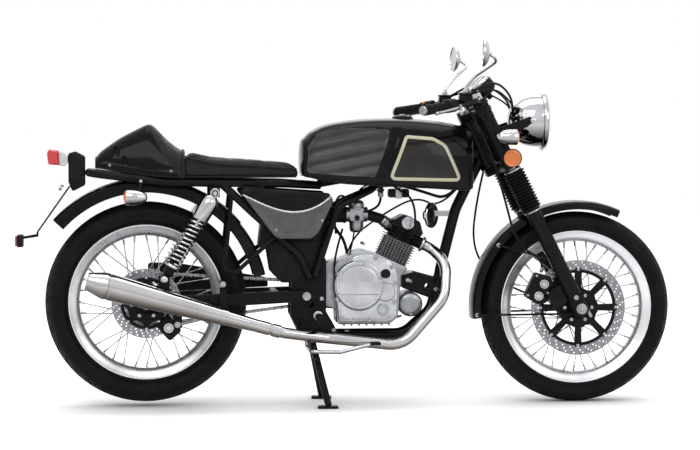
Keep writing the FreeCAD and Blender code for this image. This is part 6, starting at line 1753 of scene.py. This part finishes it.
def side_covers():
    """Shield-shaped covers, matt above a raised curved edge and glossy below it."""
    outline = rounded(COVER, 12, 8)
    dense = divided(outline, 4)
    pieces = []

    def divide(x):
        share = min(max((x - 300) / 280, 0), 1)
        return 672 - 54 * math.sin(math.pi * share**1.25) ** 0.8

    for side in (-1, 1):
        rows = 56
        rings = []
        centre = Vector((438, 622))
        for k in range(rows + 1):
            share = min(k / rows, 0.995)
            loop = []
            for x, z in dense:
                spot = centre + (Vector((x, z)) - centre) * (1 - share)
                edge = min(1, share * 5)
                crown = 2.4 + 6.4 * math.sin(math.pi / 2 * min(1, share * 4.5)) if share else 0
                gap = spot.y - divide(spot.x)
                step = 2.6 * min(1, max(0, (3 - gap) / 6))
                ridge = 2.0 * math.exp(-((gap / 3.4) ** 2))
                out = crown + 3.2 * (1 - ((spot.x - 438) / 170) ** 2) * edge - step * edge + ridge * edge
                loop.append(at(spot.x, side * (116 + out), spot.y))
            rings.append(loop)
        face = skinned("cover_face", rings, True, 40)
        for material in (SATIN_BLACK, GREY_PLASTIC, RIM_ALLOY):
            face.data.materials.append(material)
        for polygon in face.data.polygons:
            x, z = side_place(polygon.center)
            gap = z - divide(x)
            polygon.material_index = 1 if gap < -3 else (2 if gap < 1.5 else 0)
        pieces.append(face)
        pieces.append(slab("cover_back", outline, [], side * 117, 3, 0.8, SATIN_BLACK, 430, 610))
        low_y, high_y = sorted((side * 110.8, side * 116))
        add(pieces, SATIN_BLACK, block("cover_lug", (352, low_y, 682), (368, high_y, 714), 1.2))
        spots = [at(404, side * 124, 560), at(548, side * 124, 590)]
        pieces.append(bolt_heads("cover_screws", spots, Y_AXIS * side, 11, 3))
    built(pieces, "chassis", "side_covers")


side_covers()


# Engine

CRANK = at(727, 0, 352)
BARREL_AHEAD, BARREL_UP = tilted(math.radians(25))
BARREL_FOOT, HEAD_FOOT, FIN_PITCH = 118.3, 185.8, 8.4
INTAKE_WAY = (BARREL_AHEAD * -1 + BARREL_UP * 0.25).normalized()


def on_barrel(x, y, z):
    """A place ahead of the cylinder's axis, across, and up along it from the crankshaft."""
    return CRANK + BARREL_AHEAD * (x / 1000) + Y_AXIS * (y / 1000) + BARREL_UP * (z / 1000)


def crankcase():
    body = rounded([(600, 258, 14), (768, 258, 30), (794, 280, 20), (800, 360, 30), (802, 412, 12),
                    (*side_place(on_barrel(54, 0, 118)), 4), (*side_place(on_barrel(-58, 0, 118)), 4),
                    (676, 496, 60), (592, 452, 30)], 20, 7)
    pieces = []
    for side in (-1, 1):
        pieces.append(slab("case_half", body, [], side * 35.4, 69, 3.5, CAST_ALLOY))
    pieces.append(slab("case_seam", scaled(body, 700, 380, 1.008), [], 0, 5, 1, CAST_ALLOY))
    neck = rounded([(548, 318), (620, 300), (620, 470), (560, 452)], 18, 6)
    pieces.append(slab("gearbox", neck, [], 0, 104, 4, CAST_ALLOY))
    lug = rounded([(790, 370), (846, 380), (846, 424), (800, 430)], 8, 5)
    pieces.append(slab("mount_lug", lug, [], 0, 63, 3, CAST_ALLOY))
    for k in range(7):
        x = 622 + k * 24
        add(pieces, CAST_ALLOY, block("sump_fin", (x, -62, 252), (x + 4, 62, 262), 1))
    starter = [(0, -76), (20, -76), (30, -74), (36, -70), (39, -64), (39, -40), (37.4, -38), (37.4, 40), (39, 42),
               (39, 60), (36, 66), (20, 71), (0, 72)]
    spot = at(834, 0, 320)
    add(pieces, CAST_ALLOY, turned("starter", starter, spot, Y_AXIS, 56, 40))
    for turn in (0.5, 2.6, 4.7):
        pieces.append(bolt_heads("starter_screw", [spot + around(turn) * 0.030 - Y_AXIS * 0.0745], -Y_AXIS, 9, 4))
    wheel = [(0, 50), (9, 50), (9, 64), (21.5, 65), (24, 67), (24, 86.4), (18, 87), (14, 87), (14, 84), (0, 84)]
    add(pieces, PLATED, turned("drive_sprocket", wheel, at(575, 0, 352), Y_AXIS, 30))
    studs = [at(690, side * 30, 508) for side in (-1, 1)]
    pieces.append(bolt_heads("case_nuts", studs, Vector((-0.4, 0, 0.9)), 12, 8, False))
    pieces.append(cable("breather", [at(640, 20, 478), at(634, 24, 520), at(600, 40, 560), at(580, 48, 620)], 5))
    built(pieces, "chassis", "crankcase")


def covers():
    out = -Y_AXIS
    right = rounded([(604, 268, 16), (770, 268, 26), (786, 288, 16), (792, 420, 60), (764, 462, 30), (668, 490, 90),
                     (590, 420, 30)], 20, 9)
    pieces = [slab("right_case", right, [], -80.3, 20, 3.2, COVER_ALLOY)]
    pieces.append(slab("right_step", scaled(right, 690, 370, 0.93), [], -89.6, 4, 1.8, COVER_ALLOY))
    middle = at(668, -90.3, 382)
    dome = [(79, -4), (79, 2), (77.4, 4), (75.6, 4.6), (75.6, 7), (75, 10.4), (72.4, 12.6), (66, 13.4), (64.6, 12.2),
            (63, 12.6), (54, 14.2), (40, 15.6), (22, 16.6), (0, 17)]
    groove = [(78, -1), (81.6, -0.6), (81.6, 0.9), (79, 1.2)]
    add(pieces, MOULDED_BLACK, turned("clutch_groove", groove, middle, out, 90, 30))
    add(pieces, COVER_ALLOY, turned("clutch_dome", dome, middle, out, 96, 28))
    crease = []
    for k in range(25):
        x = -60 + 120 * k / 24
        r = math.hypot(x, -26)
        lift = 12.6 + 4.4 * (1 - (r / 64) ** 2) if r < 64 else 12.4
        crease.append(middle + X_AXIS * (x / 1000) + Z_AXIS * (-0.026) + out * ((lift - 0.4) / 1000))
    add(pieces, PLATED, swept("clutch_ridge", crease, 1.7, 10))
    for i in range(6):
        spot = middle + around(math.tau * i / 6 + 0.35) * 0.0705 + out * 0.0128
        pieces.append(bolt_heads("clutch_screw", [spot], out, 7, 1.6))
    rim_spots = [at(x, -90.3, z) for x, z in (
        (612, 282), (650, 276), (700, 276), (764, 280), (779, 330), (782, 390), (770, 440), (720, 470), (640, 468),
        (603, 420), (600, 340),
    )]
    boss = [(8, -6), (8, 1.2), (7, 2.4), (0, 2.4)]
    for spot in rim_spots:
        add(pieces, COVER_ALLOY, turned("cover_boss", boss, spot, out, 20, 30))
    pieces.append(bolt_heads("cover_screws", [spot + out * 0.0022 for spot in rim_spots], out, 9, 3.6))
    oil = at(744, -91.4, 306)
    for name, spot, rows, material, segments in (
        ("oil_sight_ring", oil, [(19, -1), (19, 3), (17, 5), (13, 5), (12, 3.4)], COVER_ALLOY, 40),
        ("oil_sight", oil, [(12.4, 3.2), (7, 3.9), (0, 4.2)], GLASS, 30),
        ("oil_filler", at(752, -91.4, 420), [(15, -1), (15, 5), (13.4, 7.4), (0, 7.8)], MOULDED_BLACK, 18),
        ("pump_cover", at(752, -91, 362), [(30, -1), (30, 3), (28, 5), (20, 6.4), (0, 7)], COVER_ALLOY, 48),
    ):
        add(pieces, material, turned(name, rows, spot, out, segments, 30))

    left = rounded([(644, 276, 14), (776, 276, 28), (792, 300, 20), (792, 404, 60), (740, 446, 30), (644, 446, 14)],
                   20, 9)
    pieces.append(slab("left_case", left, [], 81.3, 22, 3.2, COVER_ALLOY))
    centre = at(727, 92.3, 352)
    dome = [(68, -6), (68, 12), (66, 16), (62, 18.4), (50, 19.4), (48, 18.2), (46, 18.6), (30, 19.8), (12, 20),
            (10, 18.6), (0, 18.6)]
    add(pieces, COVER_ALLOY, turned("magneto_dome", dome, centre, Y_AXIS, 90, 30))
    for i in range(5):
        spot = centre + around(math.tau * i / 5 + 0.2) * 0.056 + Y_AXIS * 0.0186
        pieces.append(bolt_heads("magneto_screw", [spot], Y_AXIS, 8, 2.4))
    guard = rounded([(548, 300, 14), (660, 290, 10), (660, 436, 10), (556, 420, 70)], 20, 9)
    holes = [ring_points(7, 18, 590 + 22 * k, 330) for k in range(3)]
    pieces.append(slab("sprocket_guard", guard, holes, 93, 6, 1.6, MOULDED_BLACK))
    spots = [at(x, 96, z) for x, z in ((566, 314), (646, 304), (646, 422), (572, 408))]
    pieces.append(bolt_heads("guard_screws", spots, Y_AXIS, 10, 3))
    lower = [at(x, 92.3, z) for x, z in ((656, 288), (700, 286), (764, 288), (782, 320), (782, 390), (664, 434))]
    pieces.append(bolt_heads("left_screws", lower, Y_AXIS, 9, 3.8))
    built(pieces, "chassis", "engine_covers")


def fin(name, level, half_x, half_y, thick, clip):
    outline = rounded([(-half_x, -half_y, clip), (half_x, -half_y, clip), (half_x, half_y, clip),
                       (-half_x, half_y, clip)], clip, 6)
    return plate(name, outline, [], thick, on_barrel(0, 0, level), BARREL_AHEAD, Y_AXIS, min(0.9, thick * 0.3))


def top_end():
    """Finned barrel and head, with rocker box, valve caps, ports and the plug's lead."""
    base = BARREL_FOOT
    pieces = []
    for i in range(8):
        less = 0 if i else 4
        add(pieces, FIN_ALLOY, fin("barrel_fin", base + FIN_PITCH * (i + 0.5), 54 - less, 58 - less, 3, 16))
    core = [(0, base), (44, base), (44, base + 67.2), (0, base + 67.2)]
    add(pieces, FIN_ALLOY, turned("barrel_core", core, CRANK, BARREL_UP, 48))
    for side in (-1, 1):
        for k in range(9):
            rib = [on_barrel(-42 + 10.5 * k, side * 57, base + level) for level in (1, 66)]
            add(pieces, FIN_ALLOY, swept("fin_rib", rib, 2.4, 8))
        for x in (-40, 40):
            tube = [on_barrel(x, side * 42, base + level) for level in (-0.5, 67)]
            add(pieces, FIN_ALLOY, swept("stud_tube", tube, 7, 14))
    built(pieces, "chassis", "cylinder")

    low = HEAD_FOOT
    pieces = []
    for i in range(4):
        add(pieces, SATIN_BLACK, fin("head_fin", low + FIN_PITCH * (i + 0.5), 57, 60, 3, 18))
    core = [(0, low), (46, low), (46, low + 40), (0, low + 40)]
    add(pieces, SATIN_BLACK, turned("head_core", core, CRANK, BARREL_UP, 40))
    outline = rounded([(-48, low + 34, 4), (50, low + 34, 4), (54, low + 52, 8), (30, low + 82, 14),
                       (-26, low + 82, 14), (-50, low + 52, 8)], 8, 6)
    local = [(x, z - low - 58) for x, z in outline]
    add(pieces, SATIN_BLACK, plate("rocker_box", local, [], 100, on_barrel(0, 0, low + 58), BARREL_AHEAD, BARREL_UP,
                                   4))
    for level in (44, 52):
        ring = rounded([(-53, -53, 10), (56, -53, 10), (56, 53, 10), (-53, 53, 10)], 10, 5)
        add(pieces, SATIN_BLACK, plate("head_seam", ring, [], 3, on_barrel(0, 0, low + level), BARREL_AHEAD, Y_AXIS,
                                       0.8))
    for x in (-38, 44):
        spots = [on_barrel(x, side * 44, low + 55) for side in (-1, 1)]
        pieces.append(bolt_heads("rocker_bolts", spots, BARREL_UP, 12, 6))
    for side in (-1, 1):
        spot = on_barrel(-4, side * 49, low + 62)
        cap = [(22, -2), (22, 2), (20, 5), (8, 5.6), (7, 7.4), (0, 7.4)]
        add(pieces, COVER_ALLOY, turned("valve_cap", cap, spot, Y_AXIS * side, 40))
        screws = [spot + (BARREL_AHEAD * math.cos(t) + BARREL_UP * math.sin(t)) * 0.017 + Y_AXIS * (side * 0.0052)
                  for t in (0.6, 2.7, 4.8)]
        pieces.append(bolt_heads("cap_screws", screws, Y_AXIS * side, 7, 2))
    port = on_barrel(34, -22, low + 20)
    add(pieces, SATIN_BLACK, turned("exhaust_port", [(19, 0), (19, 29.5), (14, 29.8)], port, BARREL_AHEAD, 36))
    port = on_barrel(-34, 0, low + 26)
    rows = [(18, 0), (18, 30), (20, 30.6), (20, 33.8), (12, 34)]
    add(pieces, CAST_ALLOY, turned("intake_port", rows, port, INTAKE_WAY, 36))
    plug = on_barrel(8, -50, low + 16)
    insulator = [(6.6, -4), (6.6, 2), (9.4, 2.4), (9.4, 8), (5.4, 8.6), (5.4, 12), (9, 13), (9.6, 16), (9.6, 40),
                 (8, 42.6), (0, 43)]
    lean = (-Y_AXIS + BARREL_UP * 0.35 + BARREL_AHEAD * 0.25).normalized()
    add(pieces, SOFT_RUBBER, turned("plug_cap", insulator, plug, lean, 20))
    top = plug + lean * 0.042
    lead = [top - lean * 0.004, top + lean * 0.03, at(846, -70, 655), at(790, -40, 690), at(772, -20, 702)]
    pieces.append(cable("plug_lead", lead, 3.6))
    built(pieces, "chassis", "cylinder_head")


def carburettor():
    """Carburettor with its stub, and the tap, coil, horn, hoses and cables around it."""
    pieces = []
    carb_at = at(668, 0, 604)
    throat = [(21, -34), (24, -33), (24, -22), (21, -20), (21, 18), (24, 20), (24, 34), (21, 36), (14, 36)]
    add(pieces, CAST_ALLOY, turned("carb_throat", throat, carb_at, X_AXIS, 40))
    body = rounded([(-23, -21), (23, -21), (23, 21), (-23, 21)], 8, 5)
    add(pieces, CAST_ALLOY, plate("carb_body", body, [], 44, carb_at, X_AXIS, Z_AXIS, 3))
    bowl = [(0, -58), (14, -57), (19, -54), (22, -49), (23, -36), (23, -26), (25, -25), (25, -20), (22, -18)]
    add(pieces, CAST_ALLOY, turned("float_bowl", bowl, carb_at, Z_AXIS, 40))
    dome = [(22, 16), (27, 18), (27, 23), (25.4, 25), (25.4, 34), (22, 41), (16, 45), (6, 46), (0, 46)]
    add(pieces, CAST_ALLOY, turned("carb_dome", dome, carb_at, Z_AXIS, 40))
    screws = [at(668 + 20 * math.cos(t), 20 * math.sin(t), 626) for t in (0.8, 2.36, 3.9, 5.5)]
    pieces.append(bolt_heads("carb_screws", screws, Z_AXIS, 6, 2.4))
    add(pieces, MOULDED_BLACK, turned("carb_knob", [(0, 10), (7, 10), (8, 9), (8, 0), (4, -1)], at(668, -24, 594),
                                      -Y_AXIS, 20))
    start = on_barrel(-34, 0, HEAD_FOOT + 26) + INTAKE_WAY * 0.0343
    stub = eased([start, start + INTAKE_WAY * 0.014, at(698, 0, 604)], 30, 6)
    add(pieces, SOFT_RUBBER, swept("intake_stub", stub, 17, 26))
    for spot, axis in ((start + INTAKE_WAY * 0.006, INTAKE_WAY), (at(694, 0, 604), X_AXIS)):
        add(pieces, PLATED, turned("stub_band", [(17, -4), (18.6, -3.6), (18.6, 3.6), (17, 4)], spot, axis, 30))
    tap = [(0, -20), (8, -19), (9, -17), (9, -2), (12, -1), (12, 6), (9, 7), (6, 16), (6, 24)]
    tap_at = at(742, -34, 680)
    add(pieces, CAST_ALLOY, turned("fuel_tap", tap, tap_at, Z_AXIS, 24))
    add(pieces, MOULDED_BLACK, turned("tap_lever", [(0, 18), (5, 18), (7, 16), (7, 8), (3, 6)], tap_at, -Y_AXIS, 18))
    coil = rounded([(-34, -14), (34, -14), (34, 14), (-34, 14)], 9, 6)
    coil_at = at(800, -24, 672)
    add(pieces, MOULDED_BLACK, plate("coil_core", coil, [], 24, coil_at, X_AXIS, Z_AXIS, 3))
    add(pieces, PLATED, plate("coil_straps", [(x * 0.3, z * 1.25) for x, z in coil], [], 28, coil_at, X_AXIS, Z_AXIS,
                              1))
    horn_at = at(908, -8, 600)
    horn_way = Vector((0.8, -0.6, 0))
    horn = [(0, -24), (16, -23), (18, -12), (34, -8), (39, -4), (40, 0), (38, 4), (34, 5), (24, 2), (22, 5), (8, 7),
            (0, 7)]
    add(pieces, SATIN_BLACK, turned("horn", horn, horn_at, horn_way, 48, 40))
    add(pieces, CHROME, turned("horn_rim", [(38, -5), (41, -3), (41, 3), (38, 5)], horn_at, horn_way, 48))
    add(pieces, PLATED, plate("horn_stay", rounded([(-44, -9), (44, -9), (44, 9), (-44, 9)], 6), [], 3,
                              at(936, -2, 606), X_AXIS, Z_AXIS, 0.8))
    for name, radius, line in (
        ("throttle_cable", 2.8, [(668, 0, 648), (668, 0, 672), (700, 10, 700), (760, 20, 712)]),
        ("fuel_hose", 4, [(742, -34, 662), (742, -36, 640), (716, -38, 618), (690, -20, 612)]),
        ("vent_hose", 3.4, [(650, 18, 620), (640, 26, 660), (610, 30, 664), (600, 34, 610), (606, 40, 540)]),
        ("wiring_loom", 5, [(996, -18, 700), (960, -22, 650), (880, -24, 676), (800, -26, 700), (700, -24, 690),
                            (640, -26, 660), (590, -36, 640)]),
        ("clutch_cable", 3.2, [(1000, 24, 690), (940, 36, 620), (870, 66, 660), (760, 78, 600), (650, 74, 520),
                               (640, 80, 440)]),
        ("starter_lead", 3.6, [(620, -40, 560), (600, -60, 500), (590, -66, 440), (600, -70, 300),
                               (700, -64, 250), (806, -58, 284)]),
        ("drain_hose", 2.6, [(660, -8, 548), (656, -10, 520), (640, -40, 470), (622, -62, 400),
                             (616, -64, 330)]),
    ):
        pieces.append(cable(name, [at(*place) for place in line], radius))
    built(pieces, "chassis", "carburettor")


def silencer_radius(distance):
    """The silencer's radius ahead of its widest place."""
    return 42.3 - 22.3 * (distance / 470) ** 1.06


def exhaust():
    """Header pipe with its flange and clamp, and the silencer with its strap."""
    tail_x = -183
    tail = at(tail_x, -185, 410)
    rise = math.radians(15.4)
    way = Vector((math.cos(rise), 0.024, -math.sin(rise)))
    front = tail + way * 0.585
    start = on_barrel(64.3, -22, HEAD_FOOT + 20)
    points = [start, start + BARREL_AHEAD * 0.034, at(948, -66, 452), at(938, -100, 344), at(802, -126, 194),
              at(560, -138, 222), front + way.normalized() * 0.046, front]
    line = eased(points, 95, 12)
    pieces = [painted(swept("header", line, 17.5, 36), EXHAUST_CHROME)]
    flange = [(17.5, 12), (22, 11), (24, 8), (26, 6), (26, 0), (18, 0)]
    add(pieces, EXHAUST_CHROME, turned("header_flange", flange, start, BARREL_AHEAD, 40))
    spots = [start + BARREL_AHEAD * 0.006 + Y_AXIS * (s * 0.0225) for s in (-1, 1)]
    pieces.append(bolt_heads("flange_nuts", spots, BARREL_AHEAD, 10, 7, False))
    shield = front + way.normalized() * 0.02
    add(pieces, EXHAUST_CHROME, turned("pipe_clamp", [(18, -14), (20.6, -13), (20.6, 13), (18, 14)], shield, way, 40))
    built(pieces, "chassis", "exhaust_pipe")

    rows = [(0, 60), (20.6, 60), (21.2, 2), (22.4, 0), (25.6, 0), (27, 2), (29, 8), (33, 22), (38, 38), (41.4, 50),
            (42.5, 58), (42.5, 66), (40.6, 68), (40.6, 71), (42.3, 73)]
    rows += [(silencer_radius(d), 73 + d) for d in range(20, 471, 30)]
    rows += [(20.4, 546), (20.4, 584), (19, 584.6)]
    pieces = [painted(turned("silencer_body", rows, tail, way.normalized(), 72, 40), EXHAUST_CHROME)]
    under = tail.lerp(front, (REST_PEG[0] - tail_x) / (side_place(front)[0] - tail_x))
    ux, uz = side_place(under)
    strap = rounded([(ux - 11, uz), (ux + 11, uz), (249, 382.6), (227, 382.6)], 5, 4)
    pieces.append(slab("silencer_strap", strap, [], -132.5, 5, 1, SATIN_BLACK, 238, 360))
    add(pieces, SATIN_BLACK, block("strap_foot", (227, -135, 377.7), (249, -125, 382.7), 1))
    add(pieces, SATIN_BLACK, block("strap_web", (227, -177, uz - 2), (249, -133, uz + 3), 1))
    radius = silencer_radius((under - tail).length * 1000 - 73)
    band = [(radius, -9), (radius + 1.8, -8), (radius + 1.8, 8), (radius, 9)]
    add(pieces, EXHAUST_CHROME, turned("silencer_band", band, under, way.normalized(), 60))
    built(pieces, "chassis", "silencer")


def air_box():
    outline = rounded([(352, 500), (470, 484), (560, 484), (574, 560), (560, 668), (372, 676)], 16, 6)
    pieces = [slab("box", outline, [], 0, 116, 4, MOULDED_BLACK, 460, 580)]
    inner = scaled(outline, 462, 580, 0.86)
    for side in (-1, 1):
        pieces.append(slab("box_lid", inner, [], side * 58.6, 4, 1.4, MOULDED_BLACK, 460, 580))
        screws = [at(x, side * 60, z) for x, z in ((384, 512), (384, 652), (540, 504), (540, 648))]
        pieces.append(bolt_heads("lid_screws", screws, Y_AXIS * side, 9, 2.6))
    add(pieces, SATIN_BLACK, block("box_strap", (372, -85, 707), (396, 85, 712), 1))
    add(pieces, SATIN_BLACK, block("box_post", (372, -20, 660), (396, 20, 710), 2))
    panel = rounded([(376, 524), (392, 424), (424, 392), (470, 392), (560, 470), (566, 524)], 14, 6)
    for side in (-1, 1):
        pieces.append(slab("frame_panel", panel, [], side * 63.5, 3, 1, MOULDED_BLACK, 470, 460))
    duct = [(26, 0), (26, 10), (24, 12), (26, 14), (26, 22), (24, 24), (26, 26), (26, 66), (28, 67), (28, 73.6),
            (20, 73.7)]
    add(pieces, SOFT_RUBBER, turned("air_duct", duct, at(560, 0, 604), X_AXIS, 40))
    built(pieces, "chassis", "air_box")


crankcase()
covers()
top_end()
carburettor()
exhaust()
air_box()


# Controls, stand and tail

def rest(side, base_y):
    base = at(540, side * base_y, 286)
    out = Y_AXIS * side
    pieces = [painted(turned("rest_arm", [(0, 0), (15, 0), (15, 4), (9, 6), (9, 50), (12, 52), (12, 60), (0, 60)],
                             base, out, 24), PLATED)]
    rows = [(8, 56)]
    for i in range(12):
        low = 58 + i * 7.4
        rows += [(12.4, low), (12.4, low + 4.2), (10.4, low + 5), (10.4, low + 6.6)]
    rows += [(12.6, 147), (12, 149.6), (9, 150), (0, 150)]
    add(pieces, SOFT_RUBBER, turned("rest_rubber", rows, base, out, 26, 30))
    return pieces


def controls():
    face = 60.6
    pieces = rest(-1, face) + rest(1, face)
    outer = -179
    pedal = eased([at(500, -face - 6, 226), at(503, -100, 188), at(510, outer, 184), at(600, outer, 182),
                   at(700, outer, 206)], 22, 6)
    add(pieces, COVER_ALLOY, swept("brake_pedal", pedal, 6.4, 16))
    add(pieces, PLATED, turned("pedal_hinge", [(0, 0), (12, 0), (12, 22), (10, 24), (0, 24)], at(500, -face, 226),
                               -Y_AXIS, 26))
    pad = rounded([(-17, -22), (17, -22), (17, 22), (-17, 22)], 7, 5)
    add(pieces, MOULDED_BLACK, plate("pedal_pad", pad, [], 8, at(709, outer, 208), X_AXIS, Y_AXIS, 2))
    for k in range(5):
        y = outer - 16 + 8 * k
        add(pieces, SOFT_RUBBER, block("pad_rib", (696, y - 1.6, 211), (722, y + 1.6, 212.6), 0.6))
    shaft = [(0, 70.3), (8, 70.3), (8, 117), (7, 118.3), (0, 118.3)]
    add(pieces, PLATED, turned("gear_shaft", shaft, at(622, 0, 268), Y_AXIS, 24))
    boss = [(8, 103), (12, 103), (12.6, 104), (12.6, 116), (12, 117), (8, 117)]
    add(pieces, COVER_ALLOY, turned("gear_boss", boss, at(622, 0, 268), Y_AXIS, 26))
    add(pieces, COVER_ALLOY, swept("gear_lever", [at(622, 110.3, 268), at(700, 110.3, 259.5), at(714, 110.3, 258)], 6,
                                   16, flat=1.2))
    toe = [(6, 101.3), (8.4, 101.3), (9, 102)]
    for i in range(8):
        toe += [(9, 104 + i * 6.4), (9, 107.6 + i * 6.4), (8, 108.4 + i * 6.4), (8, 109.6 + i * 6.4)]
    toe += [(9, 156), (8, 158.3), (0, 158.3)]
    add(pieces, SOFT_RUBBER, turned("gear_toe", toe, at(714, 0, 258), Y_AXIS, 24, 30))
    built(pieces, "chassis", "foot_controls")


def stand():
    pivot = at(515, 0, 254)
    half = 52
    pieces = [painted(turned("stand_sleeve", [(8.2, -half), (12.4, -half), (13, 1 - half), (13, half - 1),
                                              (12.4, half), (8.2, half)], pivot, Y_AXIS, 30), SATIN_BLACK)]
    for side in (-1, 1):
        hip = at(517, side * (half - 16), 250)
        leg = eased([hip, hip + Vector((0.010, side * 0.003, -0.062)), at(562, side * 120, 33),
                     at(568, side * 128, 10)], 60, 6)
        add(pieces, SATIN_BLACK, swept("stand_leg", leg, 11, 20))
        shoe = rounded([(-32, -17), (32, -17), (32, 17), (-32, 17)], 8, 5)
        add(pieces, SATIN_BLACK, plate("stand_shoe", shoe, [], 8.6, at(566, side * 128, 4.4), X_AXIS, Y_AXIS, 1.6))
    add(pieces, SATIN_BLACK, swept("stand_tie", [at(538, -88, 150), at(538, 88, 150)], 8, 18))
    built(pieces, "stand", "centre_stand")


def tail():
    front, loop_z = -189.8, 740
    post = rounded([(front, loop_z - 40), (front, loop_z + 50), (front - 30, loop_z + 66), (front - 52, loop_z + 60),
                    (front - 52, loop_z - 30), (front - 40, loop_z - 60)], 8, 5)
    pieces = [slab("tail_post", post, [], 0, 64, 3, MOULDED_BLACK, -210, 740)]
    top = Vector((front - 49, loop_z - 44))
    foot = Vector((-340, 552))
    way = (foot - top).normalized()
    along = Vector((way.x, 0, way.y))
    middle = (top + foot) / 2
    length = (foot - top).length
    strip = rounded([(-length / 2, -55), (length / 2, -55), (length / 2, 55), (-length / 2, 55)], 10, 5)
    holes = [ring_points(3, 10, length / 2 - 30, s * 36) for s in (-1, 1)]
    add(pieces, MOULDED_BLACK, plate("plate_holder", strip, holes, 4.6, at(middle.x, 0, middle.y), along, Y_AXIS,
                                     0.8))
    stay = rounded([(-337, 552), (-343, 552), (-343, 546), (-389, 538), (-389, 530), (-337, 538)], 1.5, 3)
    pieces.append(slab("reflector_stay", stay, [], 0, 12, 1, SATIN_BLACK, -360, 545))
    add(pieces, MOULDED_BLACK, block("reflector_back", (-403, -31, 506), (-384, 31, 544), 3))
    add(pieces, DARK_RED, block("reflector_face", (-409, -28, 509), (-402, 28, 541), 2))
    light = [(0, -1), (10, -1), (10, 8), (7, 10), (0, 10)]
    add(pieces, CHROME, turned("plate_lamp", light, at(-262, 0, 690), Vector((-0.8, 0, 0.5)), 20))
    built(pieces, "chassis", "plate_bracket")
    back = front - 52.3
    body = rounded([(back, loop_z + 32), (back, loop_z + 52), (back - 12, loop_z + 66), (back - 30, loop_z + 70),
                    (back - 26, loop_z + 22), (back - 12, loop_z + 20)], 5, 5)
    glass = rounded([(back - 25, loop_z + 22), (back - 28, loop_z + 70), (back - 60, loop_z + 74, 8),
                     (back - 66, loop_z + 60, 14), (back - 62, loop_z + 24, 8)], 3, 6)
    lamp = [slab("lamp_base", body, [], 0, 96, 3, CHROME, -260, 790),
            slab("lamp_lens", glass, [], 0, 94, 6, RED, -290, 790)]
    built(lamp, "chassis", "tail_lamp")
    shape = rounded([(96, 21.3, 6), (392, 21.3, 6), (392, 51.3, 16), (96, 113.3, 60), (10, 117.3, 12),
                     (10, 91.3, 12)], 10, 7)
    local = [(x - 200, z - 60) for x, z in shape]
    guard = plate("guard_plate", local, [], 3, at(*(on_arm(200, 60) + Y_AXIS * 91.5)), ARM_ALONG, ARM_UP, 0.8)
    pieces = [painted(guard, MOULDED_BLACK)]
    spots = [at(*(on_arm(x, 36) + Y_AXIS * 93)) for x in (130, 370)]
    pieces.append(bolt_heads("guard_bolts", spots, Y_AXIS, 11, 4))
    built(pieces, "chassis", "chain_guard")


controls()
stand()
tail()
